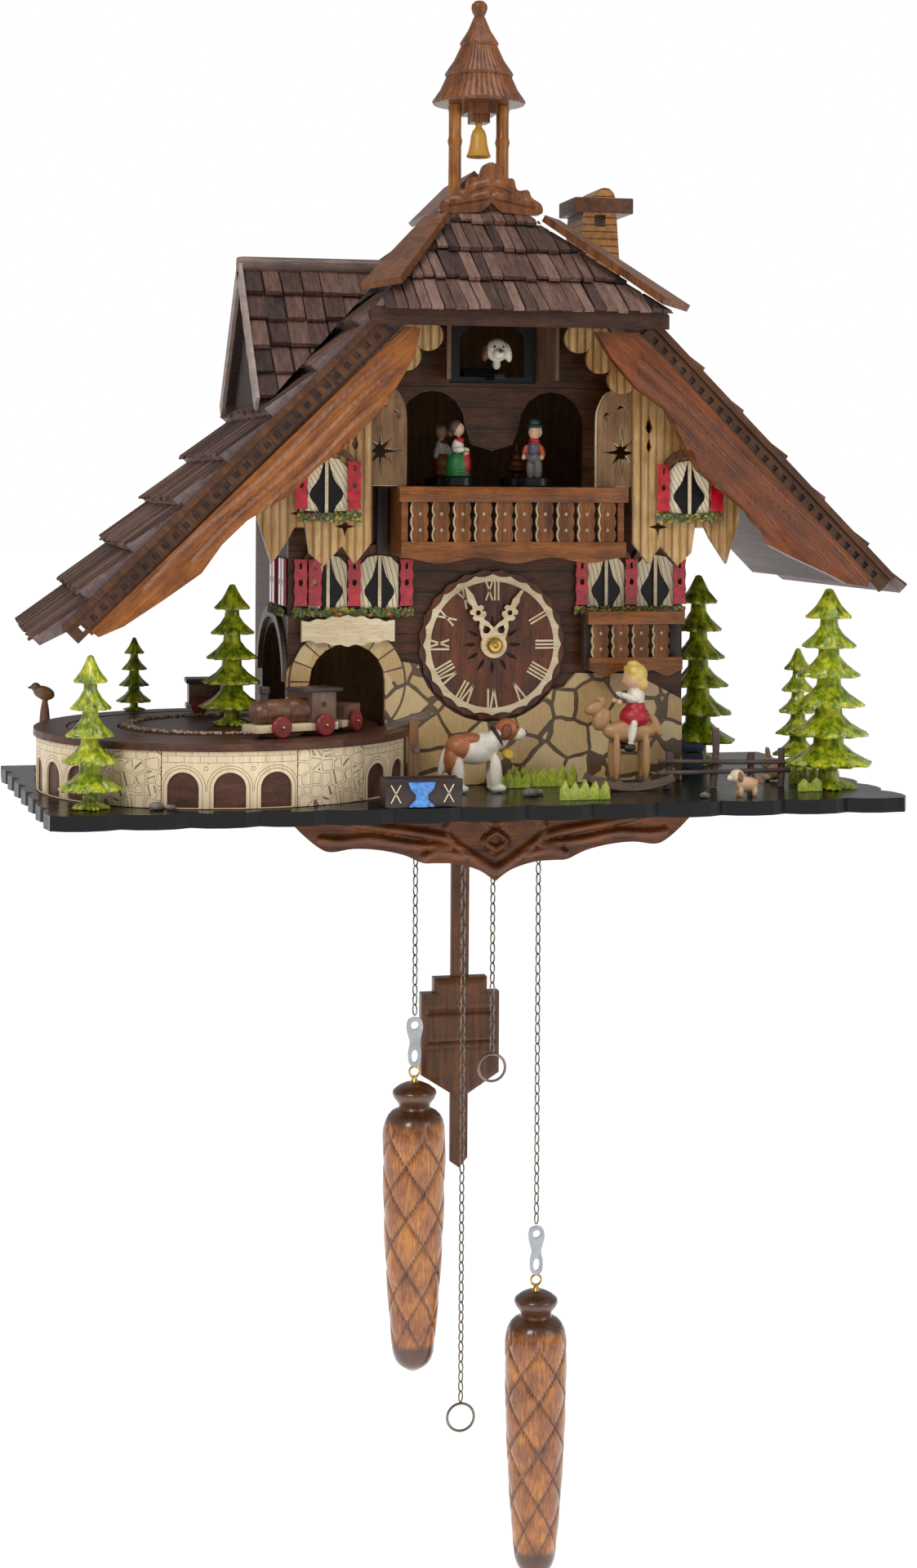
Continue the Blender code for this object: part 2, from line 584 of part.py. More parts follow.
HIP_LINE_TOP = Vector((0.0040, -0.0980, 0.2620))     # edge where the hip meets the gable slopes
HIP_LINE_FOOT = Vector((0.0795, -0.2050, 0.1865))
HIP_BEAM_LIFT = 0.0042
for side_name, side, reach in (("hip_beam_left", -1, 0.92), ("hip_beam_right", 1, 1.04)):
    mirror = Vector((side, 1, 1))
    normal = Vector((0.38, -0.31, 0.87)) * mirror
    start = HIP_LINE_TOP.lerp(HIP_LINE_FOOT, 0.36) * mirror + normal * HIP_BEAM_LIFT
    end = HIP_LINE_TOP.lerp(HIP_LINE_FOOT, reach) * mirror + normal * HIP_BEAM_LIFT
    beam(side_name, start, end, 0.024, 0.004, normal, CARVED, taper=0.6)

CAP_THICK = 0.005
cap_inner = RIDGE_HEIGHT + max(SHINGLE_LEFT, SHINGLE_RIGHT) * sqrt(2) + 0.0012
cap_reach = 0.020
cap_outline = [(0, cap_inner), (cap_reach, cap_inner - cap_reach),
               (cap_reach + CAP_THICK / 2, cap_inner - cap_reach + CAP_THICK / 2),
               (0, cap_inner + CAP_THICK), (-cap_reach - CAP_THICK / 2, cap_inner - cap_reach + CAP_THICK / 2),
               (-cap_reach, cap_inner - cap_reach)]
slab("ridge_cap", cap_outline, "Y", TURRET_Y + 0.0105, -0.002, CARVED)

CREST_Y = -0.1285
CREST_HALF = 0.0275
crest_half = [(0.0, 0.0062), (0.006, 0.0005), (CREST_HALF, 0.0), (0.0285, 0.0055), (0.0235, 0.0100),
              (0.0165, 0.0130), (0.0140, 0.0190), (0.0075, 0.0215), (0.0045, 0.0275), (0.0, 0.0290)]
crest_foot = hip_top(CREST_Y, 0.0015) + 0.0022
crest_outline = [(x, crest_foot + z) for x, z in crest_half]
crest_outline += [(-x, z) for x, z in reversed(crest_outline[1:-1])]
slab("crest", crest_outline, "Y", CREST_Y - 0.0030, CREST_Y + 0.0030, CARVED)

barge_front = -ROOF_FRONT - GAP - BARGE_THICK
barge_back = -ROOF_FRONT - GAP
left_barge = [(-0.062, 0.1735), (-0.2270, 0.0125), (-0.2230, 0.0095), (-0.2101, 0.0150), (-0.1889, 0.0290),
              (-0.1698, 0.0425), (-0.1591, 0.0575), (-0.1462, 0.0700), (-0.1246, 0.0830), (-0.1094, 0.0980),
              (-0.0941, 0.1090), (-0.0721, 0.1320), (-0.0568, 0.1580), (-0.0540, 0.1730)]
right_barge = [(0.0690, 0.1705), (0.2020, 0.0385), (0.1990, 0.0340), (0.1869, 0.0360), (0.1773, 0.0410),
               (0.1557, 0.0505), (0.1414, 0.0575), (0.1295, 0.0755), (0.1153, 0.0870), (0.1011, 0.0980),
               (0.0917, 0.1140), (0.0823, 0.1315), (0.0660, 0.1425), (0.0520, 0.1580), (0.0430, 0.1725),
               (0.0670, 0.1725)]
slab("barge_left", left_barge, "Y", barge_front, barge_back, CARVED)
slab("barge_right", right_barge, "Y", barge_front, barge_back, CARVED)


# ---- gable boards -------------------------------------------------------------------
gable_inner = GABLE_OPENING / 2
gable_half = [(0.0340, 0.1795), (0.0555, 0.1795), (GABLE_HALF_WIDTH, 0.0985), (GABLE_HALF_WIDTH, 0.0700),
              (0.1285, 0.0460), (0.1190, 0.0600), (0.1160, 0.0660), (0.1100, 0.0660), (0.1080, 0.0520),
              (0.1000, 0.0450), (0.0900, 0.0560), (0.0830, 0.0460), (gable_inner, 0.0580),
              (gable_inner, 0.1400), (0.0660, 0.1440), (0.0560, 0.1560), (0.0460, 0.1660), (0.0380, 0.1730)]
for side_name, side in (("gable_left", -1), ("gable_right", 1)):
    slab(side_name, [(side * x, z) for x, z in gable_half], "Y", -GABLE_FACE, -GABLE_FACE + BOARD, GOLDEN)


# ---- dormer -------------------------------------------------------------------------
dormer_half = DORMER_TOP - DORMER_FOOT
dormer_section = [(DORMER_Y, DORMER_TOP), (DORMER_Y - dormer_half, DORMER_FOOT),
                  (DORMER_Y - dormer_half, DORMER_FOOT - 0.012), (DORMER_Y + dormer_half, DORMER_FOOT - 0.012),
                  (DORMER_Y + dormer_half, DORMER_FOOT)]
dormer = slab("dormer", dormer_section, "X", DORMER_X, DORMER_X + 0.095, SHINGLE)
recess_half = dormer_half - 0.012
recess = slab("dormer_recess", [(DORMER_Y, DORMER_TOP - 0.009),
                                (DORMER_Y - recess_half, DORMER_TOP - 0.009 - recess_half),
                                (DORMER_Y - recess_half, 0.05), (DORMER_Y + recess_half, 0.05),
                                (DORMER_Y + recess_half, DORMER_TOP - 0.009 - recess_half)],
              "X", DORMER_X - 0.01, DORMER_X + DORMER_BOARD, cutter=True)
dormer_seat = RIDGE_HEIGHT + SHINGLE_LEFT * sqrt(2) + 0.0008
roof_clear = slab("dormer_seat", [(-0.30, dormer_seat - 0.30), (0.01, dormer_seat + 0.01), (0.01, -0.10),
                                  (-0.30, -0.10)], "Y", -0.30, 0.05, cutter=True)
combine(dormer, [recess, roof_clear], "DIFFERENCE")


# ---- chimney ------------------------------------------------------------------------
chimney_seat = RIDGE_HEIGHT + SHINGLE_RIGHT * sqrt(2) + 0.0008
stack = [(CHIMNEY_X - 0.0125, 0.150), (CHIMNEY_X + 0.0125, 0.150), (CHIMNEY_X + 0.0125, 0.215),
         (CHIMNEY_X + 0.0100, CHIMNEY_TOP), (CHIMNEY_X + 0.0200, CHIMNEY_TOP - 0.0004),
         (CHIMNEY_X + 0.0200, CHIMNEY_TOP + 0.0085)]
stack += arc(CHIMNEY_X + 0.003, CHIMNEY_TOP + 0.0085, 0.0062, 0.0062, 0, 180, 8)
stack += [(CHIMNEY_X - 0.0150, CHIMNEY_TOP + 0.0085), (CHIMNEY_X - 0.0150, CHIMNEY_TOP - 0.0004),
          (CHIMNEY_X - 0.0100, CHIMNEY_TOP), (CHIMNEY_X - 0.0125, 0.215)]
chimney = slab("chimney", stack, "Y", CHIMNEY_Y - 0.0185, CHIMNEY_Y + 0.0185, CARVED)
chimney_foot = slab("chimney_foot", [(-0.05, chimney_seat + 0.05), (0.20, chimney_seat - 0.20), (0.20, 0.0),
                                     (-0.05, 0.0)], "Y", -0.12, 0.02, cutter=True)
smoke_slot = box("smoke_slot", (CHIMNEY_X - 0.0035, -0.10, CHIMNEY_TOP - 0.0085),
                 (CHIMNEY_X + 0.0035, 0.0, CHIMNEY_TOP - 0.0015), cutter=True)
combine(chimney, [chimney_foot, smoke_slot], "DIFFERENCE")


# ---- bell turret --------------------------------------------------------------------
def turret_tier(low, high, wide, narrow):
    return [(narrow, high), (wide, low + 0.0015), (wide - 0.0008, low)]


turret_profile = [(0.0, 0.0600)]
turret_profile += arc(0.0, 0.0556, 0.0047, 0.0047, 60, -50, 4)
turret_profile += [(0.0030, 0.0505)] + turret_tier(0.0336, 0.0500, 0.0114, 0.0032)
turret_profile += turret_tier(0.0158, 0.0330, 0.0200, 0.0110)
turret_profile += turret_tier(0.0, 0.0152, TURRET_RADIUS, 0.0195)
turret_profile += [(0.0, 0.0)]
turret_roof = turned("turret_roof", turret_profile, CARVED, 6, at=(0, TURRET_Y, TURRET_EAVE))
turret_block = box("turret_block", (-0.0092, TURRET_Y - 0.0092, TURRET_EAVE - 0.0060),
                   (0.0092, TURRET_Y + 0.0092, TURRET_EAVE + 0.002), cutter=True)
turret_boss = box("turret_boss", (-0.0054, TURRET_Y - 0.0054, TURRET_EAVE - 0.0108),
                  (0.0054, TURRET_Y + 0.0054, TURRET_EAVE - 0.005), cutter=True)
bell_top = TURRET_EAVE - 0.0100
bell_profile = [(0.0, 0.0), (0.0020, 0.0), (0.0018, -0.0030), (0.0042, -0.0060), (0.0050, -0.0118),
                (0.0062, -0.0178), (0.0070, -0.0200), (0.0060, -0.0204), (0.0040, -0.0148), (0.0, -0.0138)]
turret_bell = turned("turret_bell", bell_profile, steps=12, at=(0, TURRET_Y, bell_top), cutter=True)
combine(turret_roof, [turret_block, turret_boss, turret_bell], "UNION")
for side_name, side, lift in (("turret_post_left", -1, SHINGLE_LEFT), ("turret_post_right", 1, SHINGLE_RIGHT)):
    seat = RIDGE_HEIGHT + lift * sqrt(2) + 0.0008
    foot_clear = slab(f"{side_name}_foot", [(0, seat), (side * 0.1, seat - 0.1), (side * 0.1, 0.05), (0, 0.05)],
                      "Y", -0.15, -0.05, cutter=True)
    post = rod(side_name, (side * POST_OFFSET, TURRET_Y, 0.225),
               (side * POST_OFFSET, TURRET_Y, TURRET_EAVE - GAP), POST_RADIUS, CARVED)
    combine(post, [foot_clear], "DIFFERENCE")


# ---- balconies ----------------------------------------------------------------------
def railing(name, left, right, low, high, front, thick, holes, share, finish):
    """A board with a row of openings, which leaves evenly spaced balusters between two rails."""
    board = box(name, (left, front, low), (right, front + thick, high), finish)
    margin = (right - left) * 0.03
    pitch = (right - left - 2 * margin) / holes
    rail = (high - low) * 0.24
    gaps = []
    for i in range(holes):
        start = left + margin + pitch * (i + (1 - share) / 2)
        gaps.append(box(f"{name}_gap_{i}", (start, front - 0.01, low + rail),
                        (start + pitch * share, front + thick + 0.003, high - rail), cutter=True))
    return combine(board, gaps, "DIFFERENCE")


upper_balcony = railing("balcony_upper", -BALCONY_LEFT, BALCONY_RIGHT, BALCONY_FLOOR, BALCONY_RAIL_TOP,
                        -BALCONY_FRONT, 0.0035, 10, 0.42, CARVED)
balcony_back = front_face - GAP
JOINT_INSET = 0.0006    # boards of one joinery stand back a little from each other's faces
balcony_floor = box("balcony_floor",
                    (-BALCONY_LEFT + 2 * JOINT_INSET, -BALCONY_FRONT + 0.002, BALCONY_FLOOR + JOINT_INSET),
                    (BALCONY_RIGHT - 2 * JOINT_INSET, balcony_back, BALCONY_FLOOR + 0.004), cutter=True)
balcony_sides = []
for side_name, start in (("left", -BALCONY_LEFT + JOINT_INSET), ("right", BALCONY_RIGHT - JOINT_INSET - 0.0035)):
    balcony_sides.append(box(f"balcony_side_{side_name}", (start, -BALCONY_FRONT + 0.002, BALCONY_FLOOR + 0.002),
                             (start + 0.0035, balcony_back - JOINT_INSET, BALCONY_RAIL_TOP - JOINT_INSET),
                             cutter=True))
combine(upper_balcony, [balcony_floor, *balcony_sides], "UNION")

LOWER_LEFT = 0.0520
LOWER_RIGHT = 0.1060
LOWER_FLOOR = -0.0140
LOWER_TOP = 0.0190
lower_front = -0.155
lower_balcony = railing("balcony_lower", LOWER_LEFT, LOWER_RIGHT, LOWER_FLOOR, LOWER_TOP, lower_front, 0.0035,
                        4, 0.45, CARVED)
lower_floor = box("lower_floor", (LOWER_LEFT + JOINT_INSET, lower_front + 0.002, LOWER_FLOOR + JOINT_INSET),
                  (LOWER_RIGHT - JOINT_INSET, balcony_back, LOWER_FLOOR + 0.004), cutter=True)
combine(lower_balcony, [lower_floor], "UNION")


# ---- herald and its doors -----------------------------------------------------------
door_hinge_x = DOORWAY_HALF_WIDTH + 0.0012
door_y = front_face - GAP - DOOR_THICK / 2
door_width = door_hinge_x - 0.0006
door_low = DOORWAY_SILL + 0.0010
door_high = DOORWAY_TOP - 0.0010
for side_name, side in (("cuckoo_door_left", -1), ("cuckoo_door_right", 1)):
    near = -side * 0.0004
    far = -side * door_width
    door = box(side_name, (min(near, far), -DOOR_THICK / 2, door_low - door_high),
               (max(near, far), DOOR_THICK / 2, 0.0), WALNUT,
               at=(side * door_hinge_x, door_y - 0.0006, door_high))
    door.rotation_euler = (0, 0, side * radians(DOOR_OPEN))

arm_low = DOORWAY_SILL + 0.0015
herald = box("herald_dog", (-0.003, HERALD_OUT, arm_low), (0.003, HERALD_OUT + ARM_LENGTH, arm_low + 0.003), PAINT)
herald_peg = rod("herald_peg", (0, HERALD_OUT + 0.004, arm_low + 0.001),
                 (0, HERALD_OUT + 0.004, arm_low + 0.012), 0.0016, cutter=True, sides=8)
herald_head = ball("herald_head", (0, HERALD_OUT + 0.004, arm_low + 0.0160), (0.0085, 0.0080, 0.0080), cutter=True)
herald_block = box("herald_block", (-0.010, HERALD_OUT + ARM_LENGTH - 0.012, arm_low - 0.003),
                   (0.010, HERALD_OUT + ARM_LENGTH, arm_low + 0.008), cutter=True)
combine(herald, [herald_peg, herald_head, herald_block], "UNION")


# ---- dancers' stage -----------------------------------------------------------------
stage_disc_low = CAROUSEL_TOP - CAROUSEL_THICK
drive_top = 0.0700
carousel_profile = [(0.0, CAROUSEL_TOP), (CAROUSEL_RADIUS, CAROUSEL_TOP), (CAROUSEL_RADIUS, stage_disc_low),
                    (0.0025, stage_disc_low), (0.0025, drive_top + GAP), (0.0, drive_top + GAP)]
turned("carousel", carousel_profile, BLACK_GLOSS, 32, at=(0, CAROUSEL_Y, 0))
dancer_profile = [(0.0, DANCER_HEIGHT), (0.0034, DANCER_HEIGHT - 0.002), (0.0040, DANCER_HEIGHT - 0.006),
                  (0.0022, DANCER_HEIGHT - 0.0095), (0.0052, 0.0270), (0.0036, 0.0200), (0.0076, 0.0070),
                  (0.0050, 0.0050), (DANCER_DISC, 0.0045), (DANCER_DISC, 0.0), (0.0, 0.0)]
for number in range(4):
    around = radians(225 + 90 * number)
    spot = (DANCER_ORBIT * cos(around), CAROUSEL_Y + DANCER_ORBIT * sin(around), CAROUSEL_TOP + GAP)
    turned(f"dancer_{number + 1}", dancer_profile, PAINT, 10, at=spot)

box("drive_unit", (-0.030, CAROUSEL_Y - 0.0060, 0.0350), (0.030, CAROUSEL_Y + 0.040, drive_top), PLASTIC)


# ---- train platform and train -------------------------------------------------------
deck_top = PLATE_TOP + PLATFORM_HEIGHT
deck_low = deck_top - DECK_THICK
platform_profile = [(TRACK_OUTER + 0.0008, deck_top), (DECK_OUTER, deck_top), (DECK_OUTER, deck_low),
                    (PLATFORM_WALL, deck_low), (PLATFORM_WALL, house_foot),
                    (PLATFORM_WALL - WALL_THICK, house_foot), (PLATFORM_WALL - WALL_THICK, deck_low),
                    (TRACK_OUTER + 0.0008, deck_low)]
platform = turned("platform", platform_profile, MAPLE, 48, at=(PLATFORM_X, PLATFORM_Y, 0), closed=True)
house_clear = box("house_clear", (-HOUSE_LEFT - 0.0014, facade_face - GAP, -0.12), (0.0, 0.05, 0.0), cutter=True)
combine(platform, [house_clear], "DIFFERENCE")

post_radius = 0.0055
island_radius = TRACK_INNER - 0.0010
flange_top = deck_top - 0.0175
island_profile = [(0.0, deck_top), (island_radius, deck_top), (island_radius, deck_low + 0.0005),
                  (post_radius, deck_low + 0.0005), (post_radius, flange_top), (0.0120, flange_top),
                  (0.0120, flange_top - 0.004), (post_radius, flange_top - 0.004), (post_radius, house_foot),
                  (0.0, house_foot)]
turned("platform_island", island_profile, CARVED, 32, at=(PLATFORM_X, PLATFORM_Y, 0))

track_top = deck_top - 0.0003
track_web = deck_low - 0.0042
hub_radius = post_radius + 0.0006
track_profile = [(hub_radius, track_web), (TRACK_INNER, track_web), (TRACK_INNER, track_top),
                 (TRACK_OUTER, track_top), (TRACK_OUTER, track_web - 0.003), (0.0110, track_web - 0.003),
                 (0.0110, flange_top + GAP), (hub_radius, flange_top + GAP)]
turned("turntable", track_profile, CARVED, 40, at=(PLATFORM_X, PLATFORM_Y, 0), closed=True)


def on_track(angle, along, across, height):
    """A point beside the track: along it, across it from the gauge line and above it."""
    turn = radians(angle)
    radial = Vector((cos(turn), sin(turn)))
    tangent = Vector((-sin(turn), cos(turn)))
    spot = radial * (TRACK_GAUGE_RADIUS + across) + tangent * along
    return Vector((PLATFORM_X + spot.x, PLATFORM_Y + spot.y, track_top + height))


def vehicle_box(name, angle, along, across, height, finish=None, cutter=False):
    """A block of a rail vehicle, its sides square to the track at the given angle."""
    low = Vector((across[0], along[0], height[0]))
    high = Vector((across[1], along[1], height[1]))
    made = box(name, low, high, finish, cutter)
    made.location = on_track(angle, 0, 0, 0)
    made.rotation_euler = (0, 0, radians(angle))
    return made


def vehicle_wheel(name, angle, along, radius):
    """An axle with its two wheels, as one round bar with flanges."""
    half = 0.0105
    profile = [(0.0, half), (radius, half), (radius, half - 0.0022), (0.0014, half - 0.0022),
               (0.0014, -half + 0.0022), (radius, -half + 0.0022), (radius, -half), (0.0, -half)]
    made = turned(name, profile, cutter=True, steps=12)
    made.location = on_track(angle, along, 0, radius + GAP)
    made.rotation_euler = Vector((cos(radians(angle)), sin(radians(angle)), 0)).to_track_quat("Z", "Y").to_euler()
    return made


LOCO_ANGLE = -67.0
TENDER_ANGLE = -36.5
WAGON_ANGLE = 88.0
loco = vehicle_box("locomotive", LOCO_ANGLE, (-0.0260, 0.0240), (-0.0085, 0.0085), (0.0030, 0.0075), WALNUT)
loco_boiler = rod("loco_boiler", on_track(LOCO_ANGLE, -0.0240, 0, 0.0135), on_track(LOCO_ANGLE, 0.012, 0, 0.0135),
                  0.0068, cutter=True, sides=14)
loco_cab = vehicle_box("loco_cab", LOCO_ANGLE, (0.0080, 0.0230), (-0.0080, 0.0080), (0.0060, 0.0240), cutter=True)
loco_roof = vehicle_box("loco_roof", LOCO_ANGLE, (0.0030, 0.0255), (-0.0095, 0.0095), (0.0235, 0.0265), cutter=True)
loco_stack = rod("loco_stack", on_track(LOCO_ANGLE, -0.0170, 0, 0.0150), on_track(LOCO_ANGLE, -0.0170, 0, 0.0270),
                 0.0028, cutter=True, sides=10)
loco_wheels = [vehicle_wheel("loco_axle_front", LOCO_ANGLE, -0.0120, 0.0058),
               vehicle_wheel("loco_axle_rear", LOCO_ANGLE, 0.0150, 0.0058)]
combine(loco, [loco_boiler, loco_cab, loco_roof, loco_stack, *loco_wheels], "UNION")
tender = vehicle_box("tender", TENDER_ANGLE, (-0.0095, 0.0095), (-0.0075, 0.0075), (0.0030, 0.0150), WALNUT)
tender_wheel = vehicle_wheel("tender_axle", TENDER_ANGLE, 0.0, 0.0058)
combine(tender, [tender_wheel], "UNION")
wagon = vehicle_box("wagon", WAGON_ANGLE, (-0.0150, 0.0150), (-0.0080, 0.0080), (0.0030, 0.0180), WALNUT)
wagon_roof = vehicle_box("wagon_roof", WAGON_ANGLE, (-0.0165, 0.0165), (-0.0092, 0.0092), (0.0175, 0.0210),
                         cutter=True)
wagon_wheels = [vehicle_wheel("wagon_axle_front", WAGON_ANGLE, -0.0085, 0.0052),
                vehicle_wheel("wagon_axle_rear", WAGON_ANGLE, 0.0085, 0.0052)]
combine(wagon, [wagon_roof, *wagon_wheels], "UNION")


# ---- pendulum, chains and weights ---------------------------------------------------
frame_low = house_foot
frame_high = frame_low + 0.006
hanger = box("hanger_frame", (WINDOW_LEFT - 0.006, CHAIN_Y - 0.008, frame_low),
             (WINDOW_RIGHT + 0.006, PENDULUM_Y - 0.0085, frame_high), WALNUT)
upright = box("hanger_upright", (-0.009, PENDULUM_Y - 0.0150, frame_high - 0.001),
              (0.009, PENDULUM_Y - 0.0085, PENDULUM_PIVOT + 0.008), cutter=True)
pivot_pin = rod("pivot_pin", (0, PENDULUM_Y - 0.010, PENDULUM_PIVOT), (0, PENDULUM_Y + 0.005, PENDULUM_PIVOT),
                PIN_RADIUS, cutter=True, sides=12)
combine(hanger, [upright, pivot_pin], "UNION")

rod_half = ROD_WIDTH / 2
block_top = -0.2015
shoulder = block_top - 0.0090
block_foot = shoulder - 0.0290
leaf_corner = block_foot - 0.0190
leaf_tip = leaf_corner - 0.0150
tail_foot = leaf_tip - 0.0370
rod_outline = [(-rod_half, PENDULUM_PIVOT + 0.006), (-rod_half, tail_foot), (0.000, tail_foot - 0.004),
               (rod_half * 0.9, tail_foot + 0.002), (rod_half, PENDULUM_PIVOT + 0.006)]
pivot_hole = circle(0, PENDULUM_PIVOT, PIN_RADIUS + RUNNING_FIT, 12)
pivot_place = (0, PENDULUM_Y, PENDULUM_PIVOT)
pendulum = slab("pendulum", rod_outline, "Y", PENDULUM_Y - ROD_THICK / 2, PENDULUM_Y + ROD_THICK / 2, WALNUT,
                [pivot_hole], at=pivot_place)
leaf_half = [(0.0, block_top), (0.0160, block_top), (0.0160, shoulder), (0.0235, shoulder),
             (0.0235, leaf_corner), (0.0, leaf_tip)]
leaf_outline = leaf_half + [(-x, z) for x, z in reversed(leaf_half[1:-1])]
leaf = slab("pendulum_leaf", leaf_outline, "Y", PENDULUM_Y - LEAF_THICK / 2, PENDULUM_Y + LEAF_THICK / 2,
            cutter=True)
combine(pendulum, [leaf], "UNION")


def weight_chain(name, x, hook):
    """A hanging chain as one slender bar, with its flat hook at the foot."""
    drop = hook - CHAIN_TOP
    profile = [(0.0, 0.0), (CHAIN_RADIUS, 0.0), (CHAIN_RADIUS, drop), (0.0048, drop - 0.0060),
               (0.0048, drop - 0.0210), (CHAIN_RADIUS, drop - HOOK_LENGTH), (0.0, drop - HOOK_LENGTH)]
    return turned(name, profile, NICKEL, 8, at=(x, CHAIN_Y, CHAIN_TOP))


def cone_weight(name, x, hook):
    """A pine-cone weight: eye, knob, neck, shoulder and a long tapering body."""
    start = hook - HOOK_LENGTH - GAP
    body = WEIGHT_LENGTH
    wide = WEIGHT_RADIUS
    profile = [(0.0, 0.0), (0.0020, 0.0), (0.0020, -0.0110), (0.0090, -0.0120), (0.0128, -0.0165),
               (0.0095, -0.0220), (0.0090, -0.0245), (wide * 0.86, -0.0290), (wide, -0.0400),
               (wide * 0.98, -0.0750), (wide * 0.93, -0.1080), (wide * 0.84, -0.1460),
               (wide * 0.66, -body), (wide * 0.40, -body - 0.0078), (0.0, -body - 0.0112)]
    return turned(name, profile, CARVED, 16, at=(x, CHAIN_Y, start))


def pull_chain(name, x, foot):
    """A hanging chain with a wire ring at its end."""
    chain = rod(name, (0, 0, 0), (0, 0, foot - CHAIN_TOP), CHAIN_RADIUS, NICKEL, sides=6, at=(x, CHAIN_Y, CHAIN_TOP))
    wire = arc(RING_RADIUS, 0.0, RING_WIRE, RING_WIRE, 90, -210, 5)
    ring = turned(f"{name}_ring", wire, cutter=True, steps=18, closed=True)
    ring.rotation_euler = (pi / 2, 0, 0)
    ring.location = (x, CHAIN_Y, foot - RING_RADIUS)
    combine(chain, [ring], "UNION")
    return chain


weight_chain("weight_chain_left", LEFT_WEIGHT_X, LEFT_HOOK)
weight_chain("weight_chain_right", RIGHT_WEIGHT_X, RIGHT_HOOK)
cone_weight("cone_weight_left", LEFT_WEIGHT_X, LEFT_HOOK)
cone_weight("cone_weight_right", RIGHT_WEIGHT_X, RIGHT_HOOK)
pull_chain("pull_chain_long", LONG_PULL_X, LONG_PULL)
pull_chain("pull_chain_short", SHORT_PULL_X, SHORT_PULL)


# ---- figures and trees on the plate -------------------------------------------------
def fir_tree(name, x, y, foot, height, radius, tiers):
    """A turned fir: a bell-shaped skirt for each tier on a short trunk."""
    profile = [(0.0, height), (radius * 0.16, height * 0.985)]
    for tier in range(tiers):
        wide = radius * (0.42 + 0.58 * (tier + 1) / tiers)
        low = height * (1 - 0.90 * (tier + 1) / tiers)
        high = height * (1 - 0.90 * tier / tiers)
        profile.append((wide * 0.34, high - (high - low) * 0.30))
        profile.append((wide, low + (high - low) * 0.10))
        profile.append((wide * 0.42, low))
    profile += [(radius * 0.24, height * 0.09), (radius * 0.24, 0.0), (0.0, 0.0)]
    return turned(name, profile, RESIN, 10, at=(x, y, foot))


fir_tree("fir_front_left", -0.2275, -0.2045, house_foot, 0.0790, 0.0160, 5)
fir_tree("fir_island", PLATFORM_X + 0.004, PLATFORM_Y - 0.003, deck_top + GAP, 0.0780, 0.0180, 5)
fir_tree("fir_right", 0.1820, -0.1850, house_foot, 0.1110, 0.0240, 6)

dog_x, dog_y = -0.0160, -0.1700
dog = ball("bernard_dog", (dog_x, dog_y, PLATE_TOP + 0.0225), (0.0175, 0.0085, 0.0085), PAINT)
dog_head = ball("dog_head", (dog_x + 0.0175, dog_y, PLATE_TOP + 0.0320), (0.0085, 0.0070, 0.0075), cutter=True)
dog_legs = [rod(f"dog_leg_{i}", (dog_x + dx, dog_y + dy, house_foot), (dog_x + dx, dog_y + dy, PLATE_TOP + 0.020),
                0.0034, cutter=True, sides=8)
            for i, (dx, dy) in enumerate(((0.012, -0.0045), (0.012, 0.0045), (-0.012, -0.0045), (-0.012, 0.0045)))]
combine(dog, [dog_head, *dog_legs], "UNION")

basin_x, basin_y = -0.0570, -0.2215
basin = box("fountain", (basin_x - 0.0205, basin_y - 0.0085, house_foot),
            (basin_x + 0.0205, basin_y + 0.0085, house_foot + 0.0145), WALNUT)
basin_hollow = box("basin_hollow", (basin_x - 0.0180, basin_y - 0.0060, house_foot + 0.0030),
                   (basin_x + 0.0180, basin_y + 0.0060, house_foot + 0.0200), cutter=True)
spout_post = box("spout_post", (basin_x - 0.0050, basin_y + 0.0070, house_foot),
                 (basin_x + 0.0000, basin_y + 0.0120, house_foot + 0.0440), cutter=True)
spout = rod("spout", (basin_x - 0.0025, basin_y + 0.009, house_foot + 0.0300),
            (basin_x - 0.0025, basin_y - 0.001, house_foot + 0.0285), 0.0018, cutter=True, sides=8)
combine(basin, [basin_hollow], "DIFFERENCE")
combine(basin, [spout_post, spout], "UNION")

rock_axis = (CHILD_X, CHILD_Y, house_foot + ROCKER_RADIUS)
rocker_outline = arc(0, 0, ROCKER_RADIUS, ROCKER_RADIUS, 270 - ROCKER_HALF_ANGLE, 270 + ROCKER_HALF_ANGLE, 8)
rocker_outline += arc(0, 0, ROCKER_RADIUS - 0.0060, ROCKER_RADIUS - 0.0060, 270 + ROCKER_HALF_ANGLE,
                      270 - ROCKER_HALF_ANGLE, 8)
child = slab("rocking_child", rocker_outline, "Y", -0.010, 0.010, PAINT)
child.location = rock_axis
child_seat = box("child_seat", (-0.009, -0.006, -ROCKER_RADIUS + 0.003), (0.009, 0.006, -0.030), cutter=True,
                 at=rock_axis)
child_mount = ball("child_mount", (0.001, 0, -0.0270), (0.0185, 0.0070, 0.0080), cutter=True, at=rock_axis)
child_body = ball("child_body", (0.004, 0, -0.0120), (0.0090, 0.0080, 0.0130), cutter=True, at=rock_axis)
child_head = ball("child_head", (0.000, 0, 0.0040), (0.0085, 0.0080, 0.0085), cutter=True, at=rock_axis)
combine(child, [child_seat, child_mount, child_body, child_head], "UNION")
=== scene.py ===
import math
import random

import bmesh
import bpy
import numpy as np
from mathutils import Matrix, Vector
from mathutils.geometry import delaunay_2d_cdt


